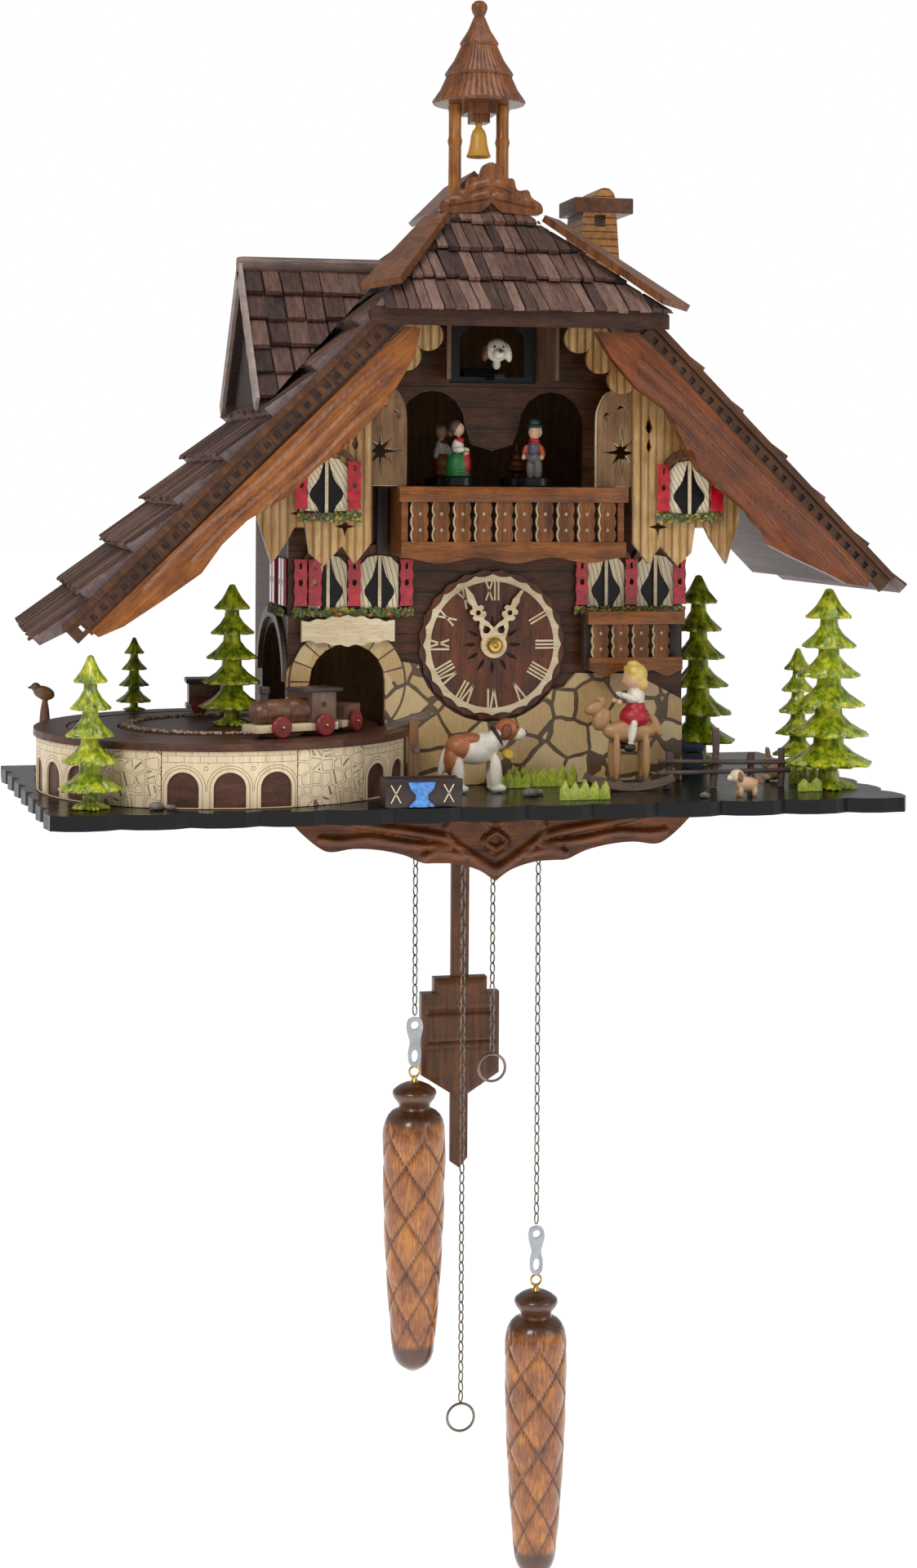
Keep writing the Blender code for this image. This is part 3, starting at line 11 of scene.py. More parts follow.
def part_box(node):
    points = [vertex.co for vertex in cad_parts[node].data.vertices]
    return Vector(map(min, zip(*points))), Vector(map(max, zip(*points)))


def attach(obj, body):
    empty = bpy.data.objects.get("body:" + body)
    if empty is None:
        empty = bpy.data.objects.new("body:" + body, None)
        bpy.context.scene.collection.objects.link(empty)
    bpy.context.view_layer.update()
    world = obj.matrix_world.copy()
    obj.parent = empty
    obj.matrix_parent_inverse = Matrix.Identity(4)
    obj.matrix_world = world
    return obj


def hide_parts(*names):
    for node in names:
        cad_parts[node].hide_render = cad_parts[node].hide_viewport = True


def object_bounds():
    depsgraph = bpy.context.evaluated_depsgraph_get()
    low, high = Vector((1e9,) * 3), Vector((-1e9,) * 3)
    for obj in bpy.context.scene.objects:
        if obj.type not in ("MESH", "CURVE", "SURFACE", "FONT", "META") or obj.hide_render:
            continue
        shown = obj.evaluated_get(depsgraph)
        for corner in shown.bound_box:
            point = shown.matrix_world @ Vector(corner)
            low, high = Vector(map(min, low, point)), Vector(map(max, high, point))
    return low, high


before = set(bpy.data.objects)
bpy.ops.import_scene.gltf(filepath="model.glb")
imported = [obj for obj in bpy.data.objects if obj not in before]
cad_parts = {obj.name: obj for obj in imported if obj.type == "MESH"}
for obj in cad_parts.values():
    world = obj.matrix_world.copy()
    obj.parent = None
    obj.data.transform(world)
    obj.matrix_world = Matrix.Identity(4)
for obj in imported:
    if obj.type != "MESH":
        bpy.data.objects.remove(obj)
cad_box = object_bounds()


# ---- camera, light and floor --------------------------------------------------------
# The clock hangs in front of a white ground and is seen from a little left of its middle,
# level with the dial, under soft light from both sides.
camera_data = bpy.data.cameras.new("camera")
camera_data.lens = 56.8
camera_data.sensor_width = 36.0
camera_data.shift_y = -0.1917
camera = bpy.data.objects.new("camera", camera_data)
turn = Matrix.Rotation(math.radians(-12.3), 4, "Z") @ Matrix.Rotation(math.radians(90), 4, "X")
camera.matrix_world = Matrix.Translation((-0.3142, -1.4886, 0.0902)) @ turn @ Matrix.Rotation(math.radians(0.32), 4,
    "Z")
bpy.context.scene.collection.objects.link(camera)
bpy.context.scene.camera = camera
bpy.context.scene.view_settings.view_transform = "Standard"

world = bpy.data.worlds.new("studio")
world.use_nodes = True
sky = world.node_tree.nodes["Background"]
sky.inputs["Color"].default_value = (1.0, 1.0, 1.0, 1.0)
seen = world.node_tree.nodes.new("ShaderNodeLightPath")
level = world.node_tree.nodes.new("ShaderNodeMapRange")
level.inputs["To Min"].default_value = 0.36
world.node_tree.links.new(seen.outputs["Is Camera Ray"], level.inputs["Value"])
world.node_tree.links.new(level.outputs[0], sky.inputs["Strength"])
bpy.context.scene.world = world

for name, place, size, power in (("key", (-1.1, -1.5, 1.2), 0.7, 15.0), ("fill", (1.3, -1.3, 0.5), 0.9, 5.0),
        ("top", (0.1, -0.5, 1.5), 0.7, 6.0)):
    lamp = bpy.data.lights.new(name, "AREA")
    lamp.size = size
    lamp.energy = power
    light = bpy.data.objects.new(name, lamp)
    aim = Vector((0.0, -0.1, 0.0)) - Vector(place)
    light.matrix_world = Matrix.Translation(place) @ aim.to_track_quat("-Z", "Y").to_matrix().to_4x4()
    bpy.context.scene.collection.objects.link(light)

floor_mesh = bpy.data.meshes.new("floor")
FLOOR_HALF = 30.0
FLOOR_HEIGHT = cad_box[0].z - 0.25
floor_mesh.from_pydata([(x, y, FLOOR_HEIGHT) for x, y in ((-FLOOR_HALF, -FLOOR_HALF), (FLOOR_HALF, -FLOOR_HALF),
    (FLOOR_HALF, FLOOR_HALF), (-FLOOR_HALF, FLOOR_HALF))], [], [(0, 1, 2, 3)])
floor = bpy.data.objects.new("floor", floor_mesh)
pale = bpy.data.materials.new("pale_floor")
pale.use_nodes = True
floor_shader = pale.node_tree.nodes["Principled BSDF"]
floor_shader.inputs["Base Color"].default_value = (0.9, 0.9, 0.9, 1.0)
floor_shader.inputs["Roughness"].default_value = 0.9
floor_shader.inputs["Emission Color"].default_value = (1.0, 1.0, 1.0, 1.0)
floor_shader.inputs["Emission Strength"].default_value = 0.7
floor_mesh.materials.append(pale)
bpy.context.scene.collection.objects.link(floor)


# ---- base plate ---------------------------------------------------------------------
# A plywood plate with a scalloped edge, sprayed with black gloss lacquer.  The edge has
# fine saw marks under the lacquer and catches light at each cusp.
class Sock:
    """A node's output.  Python's arithmetic on it adds Math nodes."""

    def __init__(self, graph, socket):
        self.graph, self.socket = graph, socket

    def __rtruediv__(self, other):
        return self.maths("DIVIDE", other, self)

    def maths(self, operation, *values):
        inputs = {i: value for i, value in enumerate(values)}
        return self.graph.add(self.graph.MATHS, {"operation": operation}, inputs)

    def __add__(self, other):
        return self.maths("ADD", self, other)

    def __sub__(self, other):
        return self.maths("SUBTRACT", self, other)

    def __rsub__(self, other):
        return self.maths("SUBTRACT", other, self)

    def __mul__(self, other):
        return self.maths("MULTIPLY", self, other)

    def __truediv__(self, other):
        return self.maths("DIVIDE", self, other)

    def __mod__(self, other):
        return self.maths("FLOORED_MODULO", self, other)

    def __abs__(self):
        return self.maths("ABSOLUTE", self)

    def below(self, other):
        return self.maths("LESS_THAN", self, other)

    def floor(self):
        return self.maths("FLOOR", self)

    def lower(self, other):
        return self.maths("MINIMUM", self, other)

    def higher(self, other):
        return self.maths("MAXIMUM", self, other)

    __radd__ = __add__
    __rmul__ = __mul__


class Graph:
    """The nodes of one tree: add() takes a type, its settings, and what its inputs get."""

    MATHS = "ShaderNodeMath"

    def __init__(self, tree):
        self.tree = tree

    def add(self, kind, settings=None, inputs=None, out=0):
        node = self.tree.nodes.new(kind)
        for key, value in (settings or {}).items():
            if key == "stops":
                for _ in range(len(value) - 2):
                    node.color_ramp.elements.new(0.5)
                for element, (spot, colour) in zip(node.color_ramp.elements, value):
                    element.position = spot
                    element.color = colour
            else:
                setattr(node, key, value)
        for key, value in (inputs or {}).items():
            if isinstance(value, Sock):
                self.tree.links.new(value.socket, node.inputs[key])
            else:
                node.inputs[key].default_value = value
        return Sock(self, node.outputs[out])

    def noise(self, place, scale, detail=4.0, roughness=0.55):
        return self.add("ShaderNodeTexNoise", None, {"Vector": place, "Scale": scale, "Detail": detail,
            "Roughness": roughness})

    def mix(self, share, first, second, mode="MIX"):
        return self.add("ShaderNodeMix", {"data_type": "RGBA", "blend_type": mode}, {0: share, 6: first, 7: second},
            2)

    def ramp(self, value, *stops):
        return self.add("ShaderNodeValToRGB", {"stops": stops}, {0: value})

    def split(self, place):
        node = self.tree.nodes.new("ShaderNodeSeparateXYZ")
        self.tree.links.new(place.socket, node.inputs[0])
        return [Sock(self, socket) for socket in node.outputs]

    def vector_noise(self, place, scale, strength):
        """Coordinates pushed about by noise, so that drawn lines waver."""
        colour = self.add("ShaderNodeTexNoise", None, {"Vector": place, "Scale": scale, "Detail": 1.0}, "Color")
        shift = self.add("ShaderNodeVectorMath", {"operation": "SCALE"}, {0: colour, "Scale": strength})
        return self.add("ShaderNodeVectorMath", {"operation": "ADD"}, {0: place, 1: shift})

    def grained(self, place, along, tilt=(0, 0, 0), stretch=16.0):
        """Coordinates drawn out along the grain, which may be tilted."""
        longer = [stretch if axis == along else 1.0 for axis in "XYZ"]
        return self.add("ShaderNodeMapping", {"vector_type": "TEXTURE"}, {"Vector": place, "Rotation": tilt,
            "Scale": longer})


def tint(code):
    """A colour from its six-figure code, as the shader wants it."""
    parts = [int(code[i:i + 2], 16) / 255 for i in (0, 2, 4)]
    return (*[p / 12.92 if p <= 0.04045 else ((p + 0.055) / 1.055) ** 2.4 for p in parts], 1.0)


def surface(name, make, bump=0.0001, source="Object", **constants):
    """A material whose colour, roughness and height come from make(graph, place)."""
    made = bpy.data.materials.new(name)
    made.use_nodes = True
    graph = Graph(made.node_tree)
    shader = made.node_tree.nodes["Principled BSDF"]
    for key, value in constants.items():
        shader.inputs[key.replace("_", " ")].default_value = value
    place = graph.add("ShaderNodeTexCoord", out=source)
    made_of = make(graph, place)
    if "Height" in made_of:
        made_of["Normal"] = graph.add("ShaderNodeBump", None, {"Height": made_of.pop("Height"), "Distance": bump})
    for key, value in made_of.items():
        graph.tree.links.new(value.socket, shader.inputs[key])
    return made


def wood(name, light, dark, along="X", tilt=(0, 0, 0), fineness=1.0, gloss=0.4, coat=0.25, worn=0.0, bump=0.00012,
        extra=None):
    """Stained wood: long fibres, broader figure, blotches of stain, pores, and a satin lacquer."""
    def make(graph, place):
        grain = graph.grained(place, along, tilt)
        fibre = graph.noise(grain, 1500.0 * fineness, 5.0, 0.65)
        figure = graph.noise(grain, 260.0 * fineness, 3.0)
        blotch = graph.noise(place, 60.0, 3.0)
        pores = graph.noise(grain, 2600.0 * fineness, 2.0).below(0.37)
        tone = fibre * 0.45 + figure * 0.55 + blotch * 0.4 - 0.2
        middle = tuple((a * 0.45 + b * 0.55) for a, b in zip(tint(light), tint(dark)))
        colour = graph.ramp(tone, (0.32, tint(dark)), (0.5, middle), (0.7, tint(light)))
        colour = graph.mix(pores * 0.45, colour, tint(dark))
        if worn:
            bleached = graph.noise(grain, 500.0, 4.0, 0.7) * (blotch + 0.45)
            colour = graph.mix((bleached * 1.3 - 0.25).higher(0.0) * worn, colour, tint("b7a7a2"))
        rough = fibre * 0.22 + blotch * 0.12 + (gloss - 0.14)
        height = fibre * 0.7 + figure * 0.5 - pores * 0.5
        made_of = {"Base Color": colour, "Roughness": rough, "Height": height}
        if extra:
            extra(graph, place, made_of)
        return made_of
    return surface(name, make, bump, Coat_Weight=coat * 0.7, Coat_Roughness=0.22, Specular_IOR_Level=0.3)


def lacquer(name, colour, scuff, gloss=0.22):
    """Sprayed gloss lacquer with dust, fine rub marks and a slight orange peel."""
    def make(graph, place):
        peel = graph.noise(place, 420.0, 2.0)
        rub = graph.noise(graph.grained(place, "X"), 700.0, 4.0, 0.7)
        dust = graph.noise(place, 45.0, 4.0)
        shade = graph.mix((rub * 1.7 - 0.85).higher(0.0) * 0.5 + dust * 0.08, tint(colour), tint(scuff))
        return {"Base Color": shade, "Roughness": rub * 0.22 + dust * 0.12 + (gloss - 0.12),
            "Height": peel * 0.6 + rub * 0.5}
    return surface(name, make, 0.00009, Coat_Weight=0.08, Coat_Roughness=0.08, Specular_IOR_Level=0.28)


def paint_node(node, finish):
    """Gives a CAD node its finish."""
    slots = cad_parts[node].data.materials
    slots.clear()
    slots.append(finish)


PLATE_LACQUER = lacquer("plate_lacquer", "050505", "1f1f21", 0.2)
paint_node("base_plate", PLATE_LACQUER)


# ---- carving under the plate --------------------------------------------------------
# A carved linden board under the front of the plate: a heart of scrolls in the middle and
# long leaves to both sides, stained brown and rubbed lighter on the high places.
def smooth_line(points, per=6, closed=False):
    """A soft curve through points in a plane."""
    dots = [Vector(p) for p in points]
    count = len(dots)
    out = []
    for i in range(count if closed else count - 1):
        if closed:
            a, b, c, d = (dots[(i + k) % count] for k in (-1, 0, 1, 2))
        else:
            a, b, c, d = (dots[min(max(i + k, 0), count - 1)] for k in (-1, 0, 1, 2))
        for step in range(per):
            t = step / per
            out.append(tuple(0.5 * (2 * b + (c - a) * t + (2 * a - 5 * b + 4 * c - d) * t * t
                + (3 * b - a - 3 * c + d) * t ** 3)))
    if not closed:
        out.append(tuple(dots[-1]))
    return out


def finer(loop, step):
    """The same loop with no side longer than step."""
    out = []
    for a, b in zip(loop, loop[1:] + loop[:1]):
        a, b = Vector(a), Vector(b)
        parts = max(1, math.ceil((b - a).length / step))
        out += [tuple(a.lerp(b, k / parts)) for k in range(parts)]
    return out


def bow(cx, cy, rx, ry, start, end, count):
    """Points on part of an ellipse, angles in degrees, both ends included."""
    angles = [math.radians(start + (end - start) * i / count) for i in range(count + 1)]
    return [(cx + rx * math.cos(a), cy + ry * math.sin(a)) for a in angles]


def settle(name, shape, finish, body, stands_for=(), sharp=35.0):
    """Makes a finished piece of a bmesh, in its place, and lets it ride on a body."""
    for face in shape.faces:
        face.smooth = True
    for edge in shape.edges:
        if len(edge.link_faces) == 2 and edge.calc_face_angle(0.0) > math.radians(sharp):
            edge.smooth = False
    mesh = bpy.data.meshes.new(name)
    shape.to_mesh(mesh)
    shape.free()
    return adopt(name, mesh, finish, body, stands_for)


def adopt(name, mesh, finish, body, stands_for=()):
    piece = bpy.data.objects.new(name, mesh)
    if finish is not None:
        mesh.materials.clear()
        mesh.materials.append(finish)
    bpy.context.scene.collection.objects.link(piece)
    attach(piece, body)
    if stands_for:
        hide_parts(*stands_for)
    return piece


def inside(loop, points):
    """Which of the points lie inside a loop."""
    hits = np.zeros(len(points), bool)
    for (u0, v0), (u1, v1) in zip(loop, loop[1:] + loop[:1]):
        if v0 != v1:
            level = (v0 > points[:, 1]) != (v1 > points[:, 1])
            hits ^= level & (points[:, 0] < (u1 - u0) * (points[:, 1] - v0) / (v1 - v0) + u0)
    return hits


def board_shape(outline, front, back, holes=(), step=None, carve=None, axis="Y"):
    """A flat board with holes.  carve(u, v) raises its front face, given arrays of points."""
    loops = [list(outline), *[list(hole) for hole in holes]]
    if step:
        loops = [finer(loop, step) for loop in loops]
    dots, edges = [], []
    for loop in loops:
        first = len(dots)
        dots += [Vector(p) for p in loop]
        edges += [(first + i, first + (i + 1) % len(loop)) for i in range(len(loop))]
    if step:
        us, vs = [p.x for p in dots], [p.y for p in dots]
        rows = int((max(vs) - min(vs)) / (step * 0.87))
        for row in range(1, rows + 1):
            shift = step / 2 if row % 2 else 0.0
            columns = int((max(us) - min(us)) / step)
            dots += [Vector((min(us) + shift + step * (c + 0.27), min(vs) + row * step * 0.87))
                for c in range(columns)]
    found, _, faces, _, _, _ = delaunay_2d_cdt(dots, edges, [], 2, 1e-7)
    middles = np.array([tuple(sum((found[i] for i in face), Vector((0, 0))) / len(face)) for face in faces])
    lost = np.zeros(len(faces), bool)
    for loop in loops[1:]:
        lost |= inside(loop, middles)
    faces = [face for face, gone in zip(faces, lost) if not gone]
    used = sorted({i for face in faces for i in face})
    number = {old: new for new, old in enumerate(used)}
    flat = np.array([found[i][:] for i in used])
    raised = np.array(carve(flat[:, 0], flat[:, 1])) if carve else np.zeros(len(flat))
    shape = bmesh.new()

    def spot(u, v, depth):
        return {"Y": (u, depth, v), "X": (depth, u, v), "Z": (u, v, depth)}[axis]

    sign = 1 if back > front else -1
    near = [shape.verts.new(spot(u, v, front - sign * r)) for (u, v), r in zip(flat, raised)]
    far = [shape.verts.new(spot(u, v, back)) for u, v in flat]
    seen = {}
    for face in faces:
        a = [number[i] for i in face]
        shape.faces.new([near[i] for i in a])
        shape.faces.new([far[i] for i in reversed(a)])
        for i, j in zip(a, a[1:] + a[:1]):
            seen[(i, j)] = True
    for i, j in seen:
        if (j, i) not in seen:
            shape.faces.new([near[j], near[i], far[i], far[j]])
    bmesh.ops.recalc_face_normals(shape, faces=shape.faces)
    return shape


def ridges(strokes, mirrored=False):
    """Raised rounded strokes with a cut line on each side, from lines of (u, v), width and height."""
    def carve(u, v):
        across = np.abs(u) if mirrored else u
        total = np.zeros_like(u)
        for line, width, height in strokes:
            points = np.array(smooth_line(line, 5))
            near = np.full_like(u, 1.0)
            for a, b in zip(points[:-1], points[1:]):
                run = b - a
                share = np.clip(((across - a[0]) * run[0] + (v - a[1]) * run[1]) / (run @ run + 1e-12), 0, 1)
                near = np.minimum(near, np.hypot(across - a[0] - share * run[0], v - a[1] - share * run[1]))
            crown = np.clip(1 - (near / width) ** 2, 0, 1)
            total = np.maximum(total, crown * height)
            total -= 0.0007 * np.exp(-(((near - width * 1.15) / 0.0006) ** 2))
        return total
    return carve


CARVED_WOOD = wood("carved_linden", "8e4c1a", "2f1608", "X", gloss=0.36, coat=0.4)
plate_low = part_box("base_plate")[0].z
carving_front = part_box("base_carving")[0].y
carving_half = smooth_line([(0.0, -0.0447), (0.009, -0.0385), (0.022, -0.0345), (0.034, -0.0338), (0.0414, -0.0334),
    (0.052, -0.0288), (0.066, -0.0257), (0.08, -0.0247), (0.092, -0.0262), (0.0987, -0.024), (0.108, -0.0165),
    (0.118, -0.0062), (0.1255, -0.0006)], 4)
carving_outline = [(x, plate_low + z) for x, z in carving_half]
carving_outline += [(-x, z) for x, z in reversed(carving_outline[1:])]
SCROLLS = [([(0.003, -0.012), (0.012, -0.006), (0.024, -0.009), (0.027, -0.019), (0.014, -0.03), (0.001, -0.038)],
    0.003, 0.0026), ([(0.027, -0.02), (0.048, -0.016), (0.072, -0.012), (0.094, -0.007), (0.11, -0.004)], 0.0032,
    0.0026), ([(0.026, -0.025), (0.048, -0.023), (0.07, -0.019), (0.088, -0.02), (0.098, -0.019)], 0.0026, 0.0022),
    ([(0.018, -0.03), (0.032, -0.027), (0.04, -0.03)], 0.0026, 0.002), ([(0.048, -0.004), (0.058, -0.009),
    (0.07, -0.006), (0.082, -0.004)], 0.0024, 0.0018), ([(0.0, -0.017), (0.006, -0.022), (0.0, -0.027)], 0.0022,
    0.0022)]
scrolls = [([(x, plate_low + z) for x, z in line], width, height) for line, width, height in SCROLLS]
settle("base_scrolls", board_shape(carving_outline, carving_front + 0.0028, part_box("base_carving")[1].y, step=0.0011,
    carve=ridges(scrolls, True)), CARVED_WOOD, "case", ["base_carving"], 60.0)


# ---- train platform -----------------------------------------------------------------
# A round box for the track.  Its wall is a veneer of maple with sawn arches that show a
# brown backing, and with brickwork and field stones burned in; the deck is brown.
def burned_maple(name, lines):
    """Maple veneer with burned lines; lines(graph, u, v) gives 1 on a line."""
    def make(graph, place):
        u, v, _ = graph.split(place)
        grain = graph.grained(graph.add("ShaderNodeTexCoord", out="Object"), "Z")
        fibre = graph.noise(grain, 1300.0, 4.0, 0.6)
        figure = graph.noise(grain, 240.0, 2.0)
        pale_wood = graph.ramp(fibre * 0.5 + figure * 0.6, (0.35, tint("dcc196")), (0.72, tint("f3e0bd")))
        burn = lines(graph, u * 0.001, v * 0.001, place).lower(1.0)
        return {"Base Color": graph.mix(burn * 0.82, pale_wood, tint("4d2d18")), "Roughness": fibre * 0.2 + 0.38,
            "Height": fibre * 0.35 - burn}
    return surface(name, make, 0.00012, "UV", Coat_Weight=0.15)


ARCH_PITCH = 0.02415        # measured round the wall
ARCH_HALF = 0.0083
ARCH_SPRING = 0.0105
WALL_HEIGHT = 0.0296


def arcade_lines(graph, u, v, place):
    """Two arch outlines round each opening, brick courses above and a small boss between."""
    across = u % ARCH_PITCH - ARCH_PITCH / 2
    rise = (v - ARCH_SPRING).higher(0.0)
    reach = (across * across + rise * rise).maths("SQRT", across * across + rise * rise)
    lines = (abs(reach - (ARCH_HALF + 0.0019))).below(0.00016)
    lines = lines + (abs(reach - (ARCH_HALF + 0.0034))).below(0.00013) * v.maths("GREATER_THAN", v, 0.009)
    between = abs(across) - ARCH_PITCH / 2
    boss = between * between + (v - 0.0208) * (v - 0.0208)
    lines = lines + abs(boss.maths("SQRT", boss) - 0.001).below(0.00013)
    course = 0.0034
    brick = 0.0084
    row = (v / course).floor()
    joint = (abs((v + 0.0001) % course) - 0.0).below(0.0002)
    stagger = (u + row * (brick * 0.5)) % brick
    joint = joint + stagger.below(0.00022)
    return lines + joint * v.maths("GREATER_THAN", v, 0.0226)


def stone_lines(graph, u, v, place):
    """Field stones burned as rounded cells."""
    cells = graph.add("ShaderNodeTexVoronoi", {"feature": "DISTANCE_TO_EDGE"},
        {"Vector": place, "Scale": 0.155, "Randomness": 0.62})
    ring = abs(cells - 0.085).below(0.016)
    return ring


ARCADE = burned_maple("arcade_maple", arcade_lines)
FIELD_STONE = burned_maple("field_stone_maple", stone_lines)
DECK_WOOD = wood("deck_walnut", "6c4230", "351e16", "X", gloss=0.42, coat=0.15)
for node in ("platform", "platform_island", "turntable"):
    paint_node(node, DECK_WOOD)

PLATFORM_MIDDLE = Vector((-0.148, -0.117))
VENEER_RADIUS = 0.1016
VENEER_THICK = 0.0012
wall_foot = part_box("platform")[0].z
house_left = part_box("left_wall")[0].x


def wrap_veneer(name, first, last, finish, arches):
    """One panel of veneer between two angles, bent round the wall."""
    length = math.radians(last - first) * VENEER_RADIUS
    outline = [(0.0003, 0.0), (length - 0.0003, 0.0), (length - 0.0003, WALL_HEIGHT), (0.0003, WALL_HEIGHT)]
    holes = []
    for i in range(arches):
        middle = ARCH_PITCH * (i + 0.5) - (ARCH_PITCH * arches - length) / 2
        hole = bow(middle, ARCH_SPRING, ARCH_HALF, ARCH_HALF, 0, 180, 16)
        holes.append(hole + [(middle - ARCH_HALF, 0.0004), (middle + ARCH_HALF, 0.0004)])
    shape = board_shape(outline, -VENEER_THICK, 0.0, holes, 0.0024)
    uv = shape.loops.layers.uv.new("UVMap")
    slack = (ARCH_PITCH * max(arches, 1) - length) / 2
    for face in shape.faces:
        for loop in face.loops:
            loop[uv].uv = ((loop.vert.co.x + slack) * 1000, loop.vert.co.z * 1000)
    for vert in shape.verts:
        angle = math.radians(first) + vert.co.x / VENEER_RADIUS
        reach = VENEER_RADIUS - vert.co.y
        vert.co = (PLATFORM_MIDDLE.x + reach * math.cos(angle), PLATFORM_MIDDLE.y + reach * math.sin(angle),
            wall_foot + vert.co.z)
    settle(name, shape, finish, "case", sharp=40)


for number, (first, last, arches) in enumerate(((-307, -267, 3), (-267, -243, 0), (-243, -203, 3), (-203, -179, 0),
        (-179, -139, 3), (-139, -115, 0), (-115, -75, 3), (-75, -51, 0), (-51, -24, 2))):
    wrap_veneer(f"platform_veneer_{number}", first, last, ARCADE if arches else FIELD_STONE, arches)

# Gravel is glued round the island's rim, as ballast.
class Growth(Graph):
    """A Geometry Nodes tree with named inputs that ends in Realize Instances and Set Material."""

    def __init__(self, name, inputs):
        super().__init__(bpy.data.node_groups.new(name, "GeometryNodeTree"))
        face = self.tree.interface
        face.new_socket("Geometry", in_out="OUTPUT", socket_type="NodeSocketGeometry")
        face.new_socket("Geometry", in_out="INPUT", socket_type="NodeSocketGeometry")
        for key, kind in inputs.items():
            face.new_socket(key, in_out="INPUT", socket_type=f"NodeSocket{kind}")
        face.new_socket("Finish", in_out="INPUT", socket_type="NodeSocketMaterial")
        self.group = self.tree.nodes.new("NodeGroupInput")

    def given(self, key):
        return Sock(self, self.group.outputs[key])

    def close(self, instances):
        real = self.add("GeometryNodeRealizeInstances", None, {"Geometry": instances})
        done = self.add("GeometryNodeSetMaterial", None, {"Geometry": real, "Material": self.given("Finish")})
        last = self.tree.nodes.new("NodeGroupOutput")
        self.tree.links.new(done.socket, last.inputs[0])

    def vector(self, x, y, z):
        return self.add("ShaderNodeCombineXYZ", None, {0: x, 1: y, 2: z})

    def chance(self, low, high, seed, vector=False):
        kind = "FLOAT_VECTOR" if vector else "FLOAT"
        at = 0 if vector else 2
        return self.add("FunctionNodeRandomValue", {"data_type": kind}, {at: low, at + 1: high, "Seed": seed},
            0 if vector else 1)

    def grow(self, name, base, values, finish, body, slot, place=None, stands_for=(), clip=()):
        """Runs the tree on a base mesh and keeps the result as a plain piece."""
        maker = bpy.data.objects.new(f"{name}_maker", base)
        bpy.context.scene.collection.objects.link(maker)
        modifier = maker.modifiers.new("growth", "NODES")
        modifier.node_group = self.tree
        keys = {item.name: item.identifier for item in self.tree.interface.items_tree if item.in_out == "INPUT"}
        for key, value in {**values, "Finish": finish}.items():
            modifier[keys[key]] = value
        bpy.context.view_layer.update()
        graph = bpy.context.evaluated_depsgraph_get()
        mesh = bpy.data.meshes.new_from_object(maker.evaluated_get(graph))
        bpy.data.objects.remove(maker, do_unlink=True)
        if place is not None:
            mesh.transform(place)
        if clip:
            shape = bmesh.new()
            shape.from_mesh(mesh)
            for point, normal in clip:
                everything = shape.verts[:] + shape.edges[:] + shape.faces[:]
                cut = bmesh.ops.bisect_plane(shape, geom=everything, plane_co=point, plane_no=normal,
                    clear_outer=True)
                rim = [e for e in cut["geom_cut"] if isinstance(e, bmesh.types.BMEdge)]
                bmesh.ops.holes_fill(shape, edges=rim, sides=0)
            bmesh.ops.recalc_face_normals(shape, faces=shape.faces)
            shape.to_mesh(mesh)
            shape.free()
        mesh.name = name
        return adopt(name, mesh, finish, body, stands_for)


def scatter_growth():
    """Small lumps strewn over a surface, each turned and sized by chance."""
    g = Growth("strewn_lumps", {"Density": "Float", "Smallest": "Float", "Largest": "Float", "Seed": "Int",
        "Flatness": "Float"})
    dots = g.add("GeometryNodeDistributePointsOnFaces", None, {"Mesh": g.given("Geometry"),
        "Density": g.given("Density"), "Seed": g.given("Seed")})
    lump = g.add("GeometryNodeMeshIcoSphere", None, {"Radius": 1.0, "Subdivisions": 1})
    size = g.chance(g.given("Smallest"), g.given("Largest"), g.given("Seed"))
    stretch = g.vector(size, size * 0.75, size * g.given("Flatness"))
    turned = g.chance((0.0, 0.0, 0.0), (6.28, 6.28, 6.28), g.given("Seed"), True)
    strewn = g.add("GeometryNodeInstanceOnPoints", None, {"Points": dots, "Instance": lump, "Rotation": turned,
        "Scale": stretch})
    g.close(strewn)
    return g


def speckled(name, colours, scale, rough=0.6, **constants):
    """Lumps of several colours, picked by their place."""
    def make(graph, place):
        cells = graph.add("ShaderNodeTexVoronoi", None, {"Vector": place, "Scale": scale}, "Color")
        pick = graph.split(cells)[0]
        stops = [(i / (len(colours) - 1) * 0.9 + 0.05, tint(c)) for i, c in enumerate(colours)]
        fine = graph.noise(place, 2200.0, 3.0)
        shade = graph.mix(fine * 0.35, graph.ramp(pick, *stops), tint("3b2c20"))
        return {"Base Color": shade, "Roughness": fine * 0.3 + (rough - 0.15), "Height": fine}
    return surface(name, make, 0.0001, **constants)


def ring_mesh(name, middle, inner, outer, height, first=0, last=360, count=60):
    """A flat ring or part of one, as a base for what is strewn on it."""
    mesh = bpy.data.meshes.new(name)
    dots, faces = [], []
    for i in range(count + 1):
        a = math.radians(first + (last - first) * i / count)
        for reach in (inner, outer):
            dots.append((middle[0] + reach * math.cos(a), middle[1] + reach * math.sin(a), height))
    for i in range(count):
        faces.append((2 * i, 2 * i + 1, 2 * i + 3, 2 * i + 2))
    mesh.from_pydata(dots, [], faces)
    return mesh


STREWN = scatter_growth()
deck_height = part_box("platform")[1].z
GRAVEL = speckled("gravel", ("8a4a2c", "d9b48a", "f0e2cc", "b47a50"), 520.0)
STREWN.grow("ballast", ring_mesh("ballast_bed", PLATFORM_MIDDLE, 0.0505, 0.0562, deck_height + 0.0007),
    {"Density": 420000.0, "Smallest": 0.0006, "Largest": 0.0012, "Seed": 4, "Flatness": 0.8}, GRAVEL, "case",
    "printed_wood")


